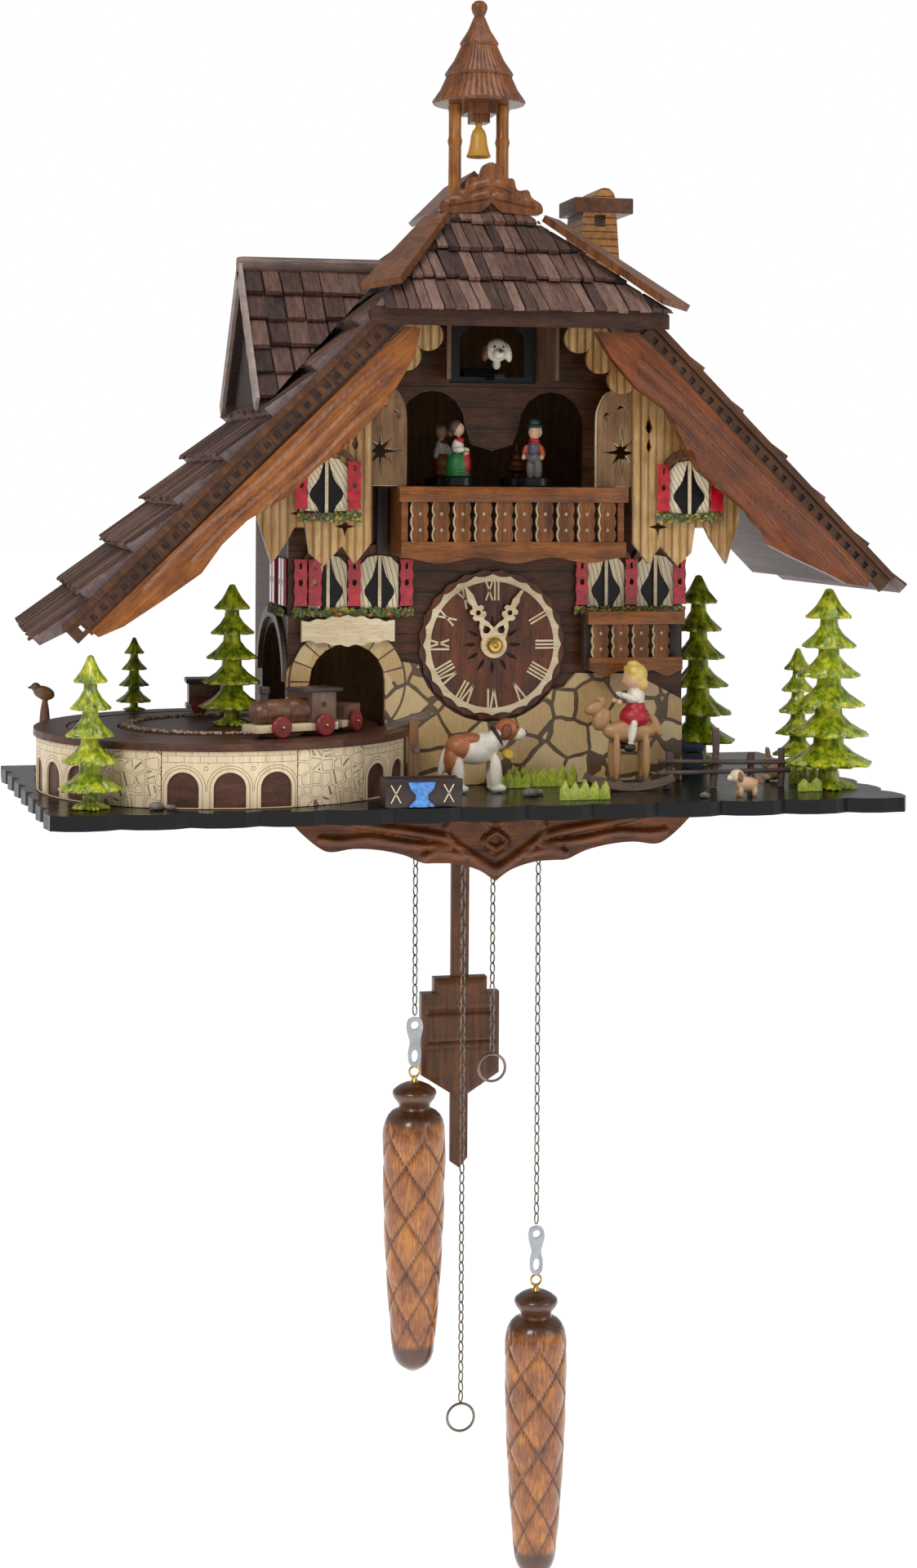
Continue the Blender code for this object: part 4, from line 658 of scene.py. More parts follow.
# ---- house: boards, facade and train arches -------------------------------------------
# Walnut-stained boards; the front's lower half is faced with a maple sheet, cut away round
# the dial and the train arch, with its field stones and arch stones burned in by hand.
def planked(pitch):
    def add(graph, place, made_of):
        height = graph.split(place)[2]
        groove = ((height + 0.5) % pitch).below(0.0007)
        made_of["Base Color"] = graph.mix(groove * 0.8, made_of["Base Color"], tint("1c100a"))
        made_of["Height"] = made_of["Height"] - groove * 1.5
    return add


SIDING = wood("walnut_siding", "683c18", "241105", "X", gloss=0.38, coat=0.3, extra=planked(0.0115))
SIDE_SIDING = wood("side_siding", "683c18", "241105", "Y", gloss=0.5, coat=0.05, extra=planked(0.0115))
paint_node("house_front", SIDING)
for node in ("left_wall", "right_wall"):
    paint_node(node, SIDE_SIDING)
PLAIN_PLY = wood("back_plywood", "a5774a", "6e4a2a", "Z", gloss=0.6, coat=0.0)
for node in ("back_panel", "rear_hatch"):
    paint_node(node, PLAIN_PLY)

ARCH_X, ARCH_Z, ARCH_RADIUS, RING_STONES = -0.08225, -0.02, 0.02135, 0.0112


def make_masonry(graph, place):
    u, _, v = graph.split(place)
    grain = graph.grained(place, "Z", stretch=9.0)
    fibre = graph.noise(grain, 1100.0, 4.0, 0.6)
    drawn = graph.vector_noise(place, 90.0, 0.0035)
    cells = graph.add("ShaderNodeTexVoronoi", {"feature": "DISTANCE_TO_EDGE"},
        {"Vector": drawn, "Scale": 52.0, "Randomness": 0.8})
    shade = graph.add("ShaderNodeTexVoronoi", None, {"Vector": drawn, "Scale": 52.0, "Randomness": 0.8}, "Color")
    across, rise = u - ARCH_X, v - ARCH_Z
    reach = (across * across + rise * rise).maths("SQRT", across * across + rise * rise)
    angle = u.maths("ARCTAN2", rise, across)
    in_ring = reach.below(ARCH_RADIUS + RING_STONES) * v.maths("GREATER_THAN", v, ARCH_Z)
    spoke = ((angle + 0.13) % 0.36).below(0.034)
    joint = cells.below(0.05)
    rim = abs(reach - (ARCH_RADIUS + RING_STONES)).below(0.0006)
    joint = (joint * (1.0 - in_ring) + (spoke * in_ring).higher(rim)).lower(1.0)
    tan = graph.ramp(fibre * 0.5 + graph.split(shade)[0] * 0.45 + 0.05, (0.2, tint("b08a58")), (0.5, tint("cfae78")),
        (0.85, tint("e6cf9f")))
    return {"Base Color": graph.mix(joint * 0.88, tan, tint("3d2715")), "Roughness": fibre * 0.2 + 0.36,
        "Height": fibre * 0.2 - joint}


paint_node("stone_facade", surface("masonry", make_masonry, 0.0004, Coat_Weight=0.2))

# A greyed half-round lining trims the side arch.
GREY_TRIM = wood("grey_trim", "8a7468", "4f3f37", "X", gloss=0.5)
side_arch = bow(-0.079, -0.02, 0.0495, 0.0335, 180, 0, 26)
side_outer = bow(-0.079, -0.02, 0.0555, 0.0395, 0, 180, 26)
settle("side_arch_trim", board_shape(side_arch + side_outer, house_left - 0.0026, house_left - 0.0002, axis="X"),
    GREY_TRIM, "case")


# ---- dial, hands and nut --------------------------------------------------------------
# The dial is turned walnut with leaves sawn out round its middle.  A maple ring with twenty
# hollow-ground points carries glued numerals; the hands are pierced maple.
DIAL_FIELD = wood("dial_field", "804218", "2c1206", "Z", gloss=0.3, coat=0.5)
PALE_MAPLE = wood("pale_maple", "f4e4c4", "d7bd92", "X", gloss=0.4, coat=0.2)
dial_low, dial_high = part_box("dial")
dial_back = dial_high.y
dial_front = dial_low.y


def turned_loop(loop, angle, middle=(0.0, 0.0)):
    """A loop turned clockwise about a point."""
    c, s = math.cos(math.radians(angle)), math.sin(math.radians(angle))
    return [(middle[0] + u * c + v * s, middle[1] - u * s + v * c) for u, v in loop]


def leaf(low, high, wide):
    """A leaf outline from low to high, broad in its lower half."""
    right = smooth_line([(0.0, low), (wide, low + (high - low) * 0.38), (0.0, high)], 5)
    return right + [(-u, v) for u, v in reversed(right[1:-1])]


leaves = [turned_loop(leaf(0.0092, 0.0168, 0.0011), 30 * i) for i in range(12)]
rim = []
for i in range(48):
    rim.append(turned_loop([(0.0, 0.0421 if i % 2 else 0.0408)], 7.5 * i)[0])
settle("dial_field", board_shape(rim, dial_front + 0.001, dial_back, leaves), DIAL_FIELD, "case", ["dial"])
settle("dial_shadow", board_shape(bow(0, 0, 0.018, 0.018, 0, 350, 35), dial_front + 0.0026, dial_back), PLATE_LACQUER,
    "case")
ring_edge = []
for i in range(24):
    for share, reach in ((0.0, 0.0396), (0.25, 0.0386), (0.5, 0.0382), (0.75, 0.0386)):
        ring_edge += turned_loop([(0.0, reach)], 15 * (i + share))
settle("dial_ring", board_shape(ring_edge, dial_front - 0.0002, dial_front + 0.0012,
    [bow(0, 0, 0.0354, 0.0354, 0, 355, 71)]), PALE_MAPLE, "case", sharp=50)

NUMERALS = ("XII", "I", "II", "III", "IIII", "V", "VI", "VII", "VIII", "IX", "X", "XI")
STROKES = {"I": [((0.0, 0.0), (0.0, 1.0))], "V": [((-0.42, 1.0), (0.0, 0.0)), ((0.42, 1.0), (0.0, 0.0))],
    "X": [((-0.42, 1.0), (0.42, 0.0)), ((0.42, 1.0), (-0.42, 0.0))]}
numerals = bmesh.new()
for hour, word in enumerate(NUMERALS):
    widths = [0.002 if letter == "I" else 0.0046 for letter in word]
    left = -sum(widths) / 2
    for letter, wide in zip(word, widths):
        middle = left + wide / 2
        left += wide
        for (u0, v0), (u1, v1) in STROKES[letter]:
            a = Vector((middle + u0 * 0.0046, 0.0248 + v0 * 0.011))
            b = Vector((middle + u1 * 0.0046, 0.0248 + v1 * 0.011))
            side = (b - a).normalized().orthogonal() * 0.00052
            loop = turned_loop([a + side, b + side, b - side, a - side], 30 * hour)
            near = [numerals.verts.new((u, dial_front, v)) for u, v in loop]
            far = [numerals.verts.new((u, dial_front + 0.0012, v)) for u, v in loop]
            numerals.faces.new(near)
            numerals.faces.new(far[::-1])
            for i in range(4):
                numerals.faces.new((near[i - 1], near[i], far[i], far[i - 1]))
bmesh.ops.recalc_face_normals(numerals, faces=numerals.faces)
settle("dial_numerals", numerals, PALE_MAPLE, "case")


def pierced_hand(name, body, length, angle, front):
    """A hub ring, an open fork, a quatrefoil round its hole and a long taper."""
    right = [(0.0046, 0.0056), (0.0042, 0.0088), (0.0036, 0.0104), (0.003, 0.0128), (0.0014, 0.0158),
        (0.0036, 0.0172), (0.004, 0.0192), (0.0026, 0.0202), (0.0042, 0.0214), (0.0036, 0.0234), (0.0016, 0.024),
        (0.002, length * 0.8), (0.0014, length * 0.86), (0.0003, length)]
    outline = smooth_line(right, 3)
    outline += [(-u, v) for u, v in reversed(outline)]
    outline += bow(0, 0, 0.0072, 0.0072, 130, 410, 24)[1:-1]
    fork = [(0.0, 0.0126), (0.002, 0.0104), (0.0022, 0.0086), (0.0, 0.0074), (-0.0022, 0.0086), (-0.002, 0.0104)]
    holes = [turned_loop(hole, angle) for hole in (bow(0, 0.0203, 0.0015, 0.0015, 0, 330, 11), fork)]
    settle(name, board_shape(turned_loop(outline, angle), front, front + 0.001, holes), PALE_MAPLE, body,
        [name.replace("pierced_", "")])


pierced_hand("pierced_hour_hand", "hour", 0.0345, 27.8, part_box("hour_hand")[0].y)
pierced_hand("pierced_minute_hand", "minute", 0.0378, -27.0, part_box("minute_hand")[0].y)


def lathe(name, profile, finish, body, middle, axis="Z", stands_for=(), steps=40, lobes=0, depth=0.0,
        sharp=35.0, keep=False):
    """Turns (radius, height) points, from the top down, about an axis through middle.

    lobes and depth flute the wall.
    """
    shape = bmesh.new() if not keep else keep
    rings = []
    for radius, height in profile:
        if radius < 1e-6:
            rings.append([shape.verts.new((0.0, 0.0, height))])
            continue
        ring = []
        for i in range(steps):
            a = 2 * math.pi * i / steps
            reach = radius * (1 - depth * (0.5 + 0.5 * math.cos(lobes * a))) if lobes else radius
            ring.append(shape.verts.new((reach * math.cos(a), reach * math.sin(a), height)))
        rings.append(ring)
    for upper, lower in zip(rings, rings[1:]):
        for i in range(steps):
            k = (i + 1) % steps
            corners = [upper[i % len(upper)], lower[i % len(lower)], lower[k % len(lower)], upper[k % len(upper)]]
            corners = [c for n, c in enumerate(corners) if c not in corners[:n]]
            if len(corners) > 2:
                shape.faces.new(corners)
    if len(rings[0]) > 1:
        shape.faces.new(rings[0])
    if len(rings[-1]) > 1:
        shape.faces.new(rings[-1][::-1])
    used = [v for ring in rings for v in ring]
    if axis == "Y":
        bmesh.ops.rotate(shape, matrix=Matrix.Rotation(math.pi / 2, 3, "X"), verts=used)
    if axis == "X":
        bmesh.ops.rotate(shape, matrix=Matrix.Rotation(math.pi / 2, 3, "Y"), verts=used)
    bmesh.ops.translate(shape, vec=Vector(middle), verts=used)
    bmesh.ops.recalc_face_normals(shape, faces=shape.faces)
    if keep:
        return shape
    return settle(name, shape, finish, body, stands_for, sharp)


def metal(name, colour, tarnish, rough=0.22):
    def make(graph, place):
        rub = graph.noise(place, 900.0, 4.0, 0.7)
        stain = graph.noise(place, 130.0, 3.0)
        shade = graph.mix((stain * 1.6 - 0.45).higher(0.0) * 0.6, tint(colour), tint(tarnish))
        return {"Base Color": shade, "Roughness": rub * 0.25 + stain * 0.12 + (rough - 0.15), "Height": rub}
    return surface(name, make, 0.00003, Metallic=1.0)


BRASS = metal("nut_brass", "dcb665", "8a6a2c", 0.24)
lathe("knurled_nut", [(0.0, 0.0023), (0.0011, 0.0025), (0.0016, 0.0032), (0.0034, 0.0028), (0.0045, 0.0014),
    (0.0046, 0.0)], BRASS, "case", (0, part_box("hand_nut")[1].y, 0), "Y", ["hand_nut"])


# ---- shingled roof --------------------------------------------------------------------
# Rows of narrow split slats, greyed and uneven at their butts, nailed over the roof boards.
# The gable slopes meet a hipped end in front, and carved bargeboards close the verges.
def shingle_growth():
    """Slats on a grid: X along the row, Y up the slope, Z outwards; each a little different."""
    g = Growth("slat_rows", {"Across": "Float", "Up": "Float", "Slats": "Int", "Rows": "Int", "Length": "Float",
        "Thick": "Float", "Tilt": "Float", "Seed": "Int"})
    grid = g.add("GeometryNodeMeshGrid", None, {"Size X": g.given("Across"), "Size Y": g.given("Up"),
        "Vertices X": g.given("Slats"), "Vertices Y": g.given("Rows")})
    slat = g.add("GeometryNodeMeshCube", None, {"Size": (1.0, 1.0, 1.0)})
    slide = g.chance(-0.0016, 0.0016, g.given("Seed"))
    moved = g.add("GeometryNodeSetPosition", None, {"Geometry": grid, "Offset": g.vector(slide * 0.25, slide, 0.0)})
    pitch = g.given("Across") / (g.given("Slats") - 1.0)
    wide = g.chance(0.8, 1.02, g.given("Seed") + 1.0) * pitch
    tall = g.chance(0.7, 1.35, g.given("Seed") + 2.0) * g.given("Thick")
    lean = g.chance(-0.02, 0.02, g.given("Seed") + 3.0)
    laid = g.add("GeometryNodeInstanceOnPoints", None, {"Points": moved, "Instance": slat,
        "Rotation": g.vector(g.given("Tilt"), lean, lean), "Scale": g.vector(wide, g.given("Length"), tall)})
    toned = g.add("GeometryNodeStoreNamedAttribute", {"data_type": "FLOAT", "domain": "INSTANCE"},
        {"Geometry": laid, "Name": "tone", "Value": g.chance(0.0, 1.0, g.given("Seed") + 4.0)})
    g.close(toned)
    return g


def weathered(name, pale, brown, dark, along, tilt=(0, 0, 0)):
    """Split shingle wood: each slat has its own tone, silvered along the raised fibres."""
    def make(graph, place):
        grain = graph.grained(place, along, tilt, 14.0)
        fibre = graph.noise(grain, 1900.0, 5.0, 0.7)
        streak = graph.noise(grain, 420.0, 3.0, 0.6)
        tone = graph.add("ShaderNodeAttribute", {"attribute_name": "tone"}, out="Fac")
        value = fibre * 0.55 + streak * 0.5 + tone * 0.42 - 0.24
        return {"Base Color": graph.ramp(value, (0.25, tint(dark)), (0.5, tint(brown)), (0.82, tint(pale))),
            "Roughness": fibre * 0.25 + 0.58, "Height": fibre * 0.8 + streak}
    return surface(name, make, 0.0003)


SLOPE_LEFT = weathered("slats_left", "8c6a5a", "58392b", "21120b", "X", (0, math.radians(-45), 0))
SLOPE_RIGHT = weathered("slats_right", "8c6a5a", "58392b", "21120b", "X", (0, math.radians(45), 0))
SLOPE_HIP = weathered("slats_hip", "97776a", "5e4034", "261610", "Y", (math.radians(35), 0, 0))
UNDER_ROOF = wood("under_roof", "8d7a78", "5c4c4b", "Y", gloss=0.55, coat=0.1)
for node in ("roof_left", "roof_right"):
    paint_node(node, UNDER_ROOF)
paint_node("hip_roof", wood("hip_edge", "553627", "24130b", "X", gloss=0.5, coat=0.05))

ROOF_FRONT, ROOF_RIDGE, ROW, LIFT = 0.1915, 0.236, 0.034, 0.0055
HIP_FOOT, HIP_SLOPE, HIP_FRONT = 0.174, 0.705, 0.205
SLATS = shingle_growth()
grower = bpy.data.meshes.new("grower")
grower.from_pydata([(0, 0, 0)], [], [])
for side, eave, height, rows in ((-1, 0.3196 + 0.0225, 0.021, 10), (1, 0.284 + 0.0225 * 0.0165 / 0.021, 0.0165, 9)):
    out = Vector((side, 0, 1)).normalized()
    up = Vector((-side, 0, 1)).normalized()
    along = up.cross(out)
    middle = Vector((0, -ROOF_FRONT / 2, ROOF_RIDGE)) - up * (eave - ROW * rows / 2) + out * (height - LIFT / 2
        + 0.0002)
    laid = Matrix((along, up, out)).transposed().to_4x4()
    laid.translation = middle
    clip = [((0, -HIP_FRONT, HIP_FOOT + 0.01), (0, -HIP_SLOPE, 1)), ((0, 0, 0), (-side, 0, 0)),
        ((0, -0.0004, 0), (0, 1, 0))]
    SLATS.grow(f"slats_{'left' if side < 0 else 'right'}", grower, {"Across": ROOF_FRONT - 0.0046,
        "Up": ROW * (rows - 1), "Slats": 37, "Rows": rows, "Length": ROW * 1.05, "Thick": 0.0017,
        "Tilt": -math.atan(LIFT / ROW), "Seed": 3 + side}, SLOPE_LEFT if side < 0 else SLOPE_RIGHT, "case",
        "shingle_wood", laid, (), clip)

hip_angle = math.atan(HIP_SLOPE)
hip_up = Vector((0, math.cos(hip_angle), math.sin(hip_angle)))
hip_out = Vector((0, -math.sin(hip_angle), math.cos(hip_angle)))
HIP_LENGTH = 0.0715 / math.sin(hip_angle)
hip_row = HIP_LENGTH / 4
laid = Matrix((Vector((1, 0, 0)), hip_up, hip_out)).transposed().to_4x4()
laid.translation = Vector((0, -HIP_FRONT, HIP_FOOT)) + hip_up * (HIP_LENGTH / 2) + hip_out * 0.0108
clip = [((0.264, 0, 0), (1, 0, 1)), ((-0.264, 0, 0), (-1, 0, 1))]
SLATS.grow("slats_front", grower, {"Across": 0.158, "Up": hip_row * 3, "Slats": 26, "Rows": 4,
    "Length": hip_row * 1.1, "Thick": 0.0019, "Tilt": -0.1, "Seed": 21}, SLOPE_HIP, "case", "shingle_wood", laid, (),
    clip)

CARVED_BARGE = wood("barge_wood", "ad682a", "56290c", "X", (0, math.radians(-43), 0), gloss=0.4, coat=0.2)
CARVED_BARGE_RED = wood("barge_wood_red", "8a481e", "43200e", "X", (0, math.radians(43), 0), gloss=0.34, coat=0.35)
left_barge = [(-0.062, 0.1735), (-0.227, 0.0125), (-0.223, 0.0095), (-0.2101, 0.015), (-0.1889, 0.029),
    (-0.1698, 0.0425), (-0.1591, 0.0575), (-0.1462, 0.07), (-0.1246, 0.083), (-0.1094, 0.098), (-0.0941, 0.109),
    (-0.0721, 0.132), (-0.0568, 0.158), (-0.054, 0.173)]
right_barge = [(0.069, 0.1705), (0.202, 0.0385), (0.199, 0.034), (0.1869, 0.036), (0.1773, 0.041), (0.1557, 0.0505),
    (0.1414, 0.0575), (0.1295, 0.0755), (0.1153, 0.087), (0.1011, 0.098), (0.0917, 0.114), (0.0823, 0.1315),
    (0.066, 0.1425), (0.052, 0.158), (0.043, 0.1725), (0.067, 0.1725)]
barge_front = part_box("barge_left")[0].y
for side, outline, finish in ((-1, left_barge, CARVED_BARGE), (1, right_barge, CARVED_BARGE_RED)):
    top, foot = Vector((side * 0.07, 0.158)), Vector((side * 0.198, 0.036))
    run = (foot - top).normalized()
    cross = Vector((-run.y, run.x)) * (1 if side > 0 else -1)
    lines = []
    for start, end, offset in ((0.0, 1.02, -0.001), (0.02, 0.86, -0.0078), (0.1, 0.66, -0.015), (0.0, 0.36, -0.0215)):
        steps = [top.lerp(foot, start + (end - start) * k / 5) + cross * (offset + 0.0011
            * math.sin(k * 2.2 + offset * 900)) for k in range(6)]
        lines.append(([tuple(p) for p in steps], 0.0024, 0.0018))
    name = "left" if side < 0 else "right"
    settle(f"bargeboard_{name}", board_shape(outline, barge_front + 0.0016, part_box(f"barge_{name}")[1].y, step=0.0016,
        carve=ridges(lines)), finish, "case", [f"barge_{name}"], 50)


def slotted_verge(name, start, end, wide, front, thick, finish, pitch=0.0075):
    """A thin strip along a slope with a row of sawn slots."""
    start, end = Vector(start), Vector(end)
    run = (end - start).normalized()
    cross = Vector((-run.y, run.x)) * wide / 2
    length = (end - start).length
    outline = [start + cross, end + cross, end - cross, start - cross]
    holes = []
    for i in range(int(length / pitch) - 1):
        a = start + run * (pitch * (i + 0.75))
        b = a + run * (pitch * 0.45)
        holes.append([a + cross * 0.42, b + cross * 0.42, b - cross * 0.42, a - cross * 0.42])
    return settle(name, board_shape(outline, front, front + thick, holes), finish, "case")


MOULDING = wood("moulding_wood", "6f4526", "2e190c", "X", (0, math.radians(45), 0), gloss=0.4, coat=0.3)
for side, eave in ((-1, 0.3196), (1, 0.284)):
    a = math.sqrt(0.5)
    first, last = 0.095, eave + 0.008
    spots = [(side * (down + out) * a, ROOF_RIDGE + (out - down) * a) for down,
        out in ((first, 0.0065), (last, 0.0065))]
    slotted_verge(f"verge_{'left' if side < 0 else 'right'}", *spots, 0.0085, -ROOF_FRONT - 0.003, 0.0028, MOULDING)
    spots = [(side * (down + out) * a, ROOF_RIDGE + (out - down) * a) for down,
        out in ((first, 0.0128), (last, 0.0128))]
    start, end = Vector(spots[0]), Vector(spots[1])
    cross = (end - start).normalized().orthogonal() * 0.0018
    settle(f"verge_bead_{'left' if side < 0 else 'right'}", board_shape([start + cross, end + cross, end - cross,
        start - cross], -ROOF_FRONT - 0.0052, -ROOF_FRONT - 0.0001), MOULDING, "case")

HIP_BEAM = wood("hip_beam_wood", "8e5428", "44240f", "Z", gloss=0.4, coat=0.3)
for node in ("hip_beam_left", "hip_beam_right", "ridge_cap"):
    paint_node(node, HIP_BEAM)

# ---- gable boards -----------------------------------------------------------------------
# Pale boards with sawn drops at the foot and cut-outs beside the stage.
def grooved(graph, place, made_of):
    """Dark stain left in the planed grooves between the boards' ribs."""
    across = abs((graph.split(place)[0] / 0.0046) % 1.0 - 0.5) * 2.0
    line = (across * 1.9 - 0.85).higher(0.0).lower(1.0)
    patch = graph.noise(graph.grained(place, "Z"), 160.0, 3.0)
    made_of["Base Color"] = graph.mix(line * (patch * 1.1 + 0.15).lower(1.0), made_of["Base Color"], tint("5f3714"))
    made_of["Height"] = made_of["Height"] - line * 1.5


GABLE_WOOD = wood("gable_wood", "e3c083", "a06c2e", "Z", gloss=0.36, coat=0.35, worn=0.08, extra=grooved)
gable_half = [(0.034, 0.1795), (0.0555, 0.1795), (0.136, 0.0985), (0.136, 0.07), (0.1285, 0.046), (0.119, 0.06),
    (0.116, 0.066), (0.11, 0.066), (0.108, 0.052), (0.1, 0.045), (0.09, 0.056), (0.083, 0.046), (0.0735, 0.058)]
for share in (1 / 6, 3 / 6, 5 / 6):
    gable_half += bow(0.0735 - 0.037 * share, 0.143 + 0.0335 * share, 0.0083, 0.0083, 317.8, 137.8, 10)
gable_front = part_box("gable_left")[0].y
for side, name in ((-1, "left"), (1, "right")):
    drops = [leaf(0.118, 0.128, 0.0022), leaf(0.108, 0.116, 0.0016)]
    holes = [[(u + 0.083, v) for u, v in drop] for drop in drops]
    for u, v, reach in ((0.0885, 0.0665, 0.0056), (0.1135, 0.0735, 0.005)):
        holes.append([(u + reach * (1.0, 0.3)[k % 2] * math.sin(k * math.pi / 4),
            v + reach * (1.0, 0.3)[k % 2] * math.cos(k * math.pi / 4)) for k in range(8)])
    seams = [([(side * x, 0.044), (side * x, 0.175)], 0.0058, 0.0006) for x in (0.079, 0.0905, 0.102, 0.1135, 0.125)]
    settle(f"gable_boards_{name}", board_shape([(side * u, v) for u, v in gable_half], gable_front + 0.0006,
        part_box(f"gable_{name}")[1].y, [[(side * u, v) for u, v in hole] for hole in holes], 0.0028, ridges(seams)),
        GABLE_WOOD, "case", [f"gable_{name}"], 50)

# ---- crest, ridge and bell turret -------------------------------------------------------
# A lobed carved crest hides the joint of the hip; above it a little turned and fluted
# belfry roof stands on two posts, with a golden bell under it.
TURRET_WOOD = wood("turret_wood", "985a2a", "44200e", "Z", gloss=0.34, coat=0.4)
GOLDEN_WOOD = wood("golden_wood", "c4802f", "6e3a10", "Z", gloss=0.32, coat=0.4)
crest_low, crest_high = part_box("crest")
crest_half = [(0.006, 0.0009), (0.0275, 0.0), (0.0292, 0.0058), (0.0235, 0.0098), (0.0212, 0.014), (0.015, 0.0138),
    (0.0128, 0.02), (0.0074, 0.0208), (0.0046, 0.0272), (0.0, 0.0292)]
crest_line = [(0.0, 0.0062)] + smooth_line(crest_half, 4)
crest_outline = [(u, crest_low.z + v) for u, v in crest_line]
crest_outline += [(-u, v) for u, v in reversed(crest_outline[1:-1])]
lobes = [([(0.003, 0.01), (0.014, 0.008), (0.024, 0.006)], 0.003, 0.0016),
    ([(0.002, 0.017), (0.009, 0.015), (0.016, 0.011)], 0.0026, 0.0016), ([(0.0, 0.02), (0.0, 0.027)], 0.0024, 0.0016)]
lobes = [([(u, crest_low.z + v) for u, v in line], wide, tall) for line, wide, tall in lobes]
settle("carved_crest", board_shape(crest_outline, crest_low.y + 0.0008, crest_high.y, step=0.0011,
    carve=ridges(lobes, True)), TURRET_WOOD, "case", ["crest"], 60)

TURRET = (0.0, -0.097, 0.3085)
tiers = [(0.0, 0.0603), (0.0026, 0.0597), (0.0044, 0.0578), (0.0047, 0.0556), (0.004, 0.053), (0.0028, 0.0508)]
belfry = bmesh.new()
lathe(None, tiers, None, None, TURRET, steps=24, keep=belfry)
for low, high, wide, narrow in ((0.0336, 0.0506, 0.0114, 0.0032), (0.0158, 0.0334, 0.02, 0.0108),
        (0.0, 0.0156, 0.0272, 0.0192)):
    lathe(None, [(narrow, high), ((narrow + wide) / 2 - 0.0006, (low + high) / 2 + 0.0004), (wide, low + 0.0016),
        (wide - 0.0008, low)], None, None, TURRET, steps=120, lobes=40, depth=0.032, keep=belfry)
for low, high, half in ((-0.006, 0.002, 0.0092), (-0.0108, -0.005, 0.0054)):
    block = bmesh.ops.create_cube(belfry, size=1.0)["verts"]
    bmesh.ops.scale(belfry, vec=(2 * half, 2 * half, high - low), verts=block)
    bmesh.ops.translate(belfry, vec=Vector(TURRET) + Vector((0, 0, (low + high) / 2)), verts=block)
settle("belfry_roof", belfry, TURRET_WOOD, "case", ["turret_roof"])
bell = [(0.0, 0.0), (0.0021, -0.0002), (0.0019, -0.003), (0.0036, -0.0052), (0.0045, -0.008), (0.005, -0.0125),
    (0.006, -0.017), (0.0072, -0.0198), (0.0064, -0.0204), (0.0044, -0.015), (0.0, -0.0138)]
GOLD_PAINT = lacquer("gold_paint", "c8953f", "7a5218", 0.3)
lathe("belfry_bell", bell, GOLD_PAINT, "case", (0, TURRET[1], 0.2985), steps=32)
for side, node, foot in ((-1, "turret_post_left", 0.251), (1, "turret_post_right", 0.2445)):
    lathe(f"belfry_{node[7:]}", [(0.0037, 0.3082), (0.004, 0.306), (0.0036, 0.303), (0.0036, 0.29), (0.0043, 0.287),
        (0.0036, 0.284), (0.0037, 0.264), (0.004, foot)], GOLDEN_WOOD, "case",
        (side * 0.014, TURRET[1], 0), stands_for=[node], steps=24)


# ---- chimney and dormer ------------------------------------------------------------------
# A golden chimney ringed with dark saw cuts under a walnut cap, and on the left slope a
# pointed dormer with larger slats and pinkish-grey verge boards, notched along their edge.
def ringed(graph, place, made_of):
    groove = ((graph.split(place)[2] + 0.5) % 0.0042).below(0.0007)
    made_of["Base Color"] = graph.mix(groove * 0.85, made_of["Base Color"], tint("3a1f0e"))
    made_of["Height"] = made_of["Height"] - groove * 2.0


def block_shape(shape, low, high, turn=None, at=(0, 0, 0), soften=0.0):
    """Adds a block between two corners, eased along its edges, turned and moved."""
    verts = bmesh.ops.create_cube(shape, size=1.0)["verts"]
    low, high = Vector(low), Vector(high)
    bmesh.ops.scale(shape, vec=high - low, verts=verts)
    bmesh.ops.translate(shape, vec=(low + high) / 2, verts=verts)
    if soften:
        edges = list({e for v in verts for e in v.link_edges})
        made = bmesh.ops.bevel(shape, geom=edges, offset=soften, segments=2, affect="EDGES", profile=0.6)
        verts = list({v for f in made["faces"] for v in f.verts} | {v for v in verts if v.is_valid})
    if turn is not None:
        bmesh.ops.rotate(shape, matrix=turn, verts=verts)
    bmesh.ops.translate(shape, vec=Vector(at), verts=verts)
    return shape


paint_node("chimney", wood("chimney_wood", "c08a4c", "7c4a22", "Y", gloss=0.36, coat=0.3, extra=ringed))
cap = block_shape(bmesh.new(), (0.063, -0.0768, 0.2506), (0.099, -0.0392, 0.2598), soften=0.0008)
settle("chimney_cap", cap, wood("cap_walnut", "7a4a2c", "3d2112", "Y"), "case")

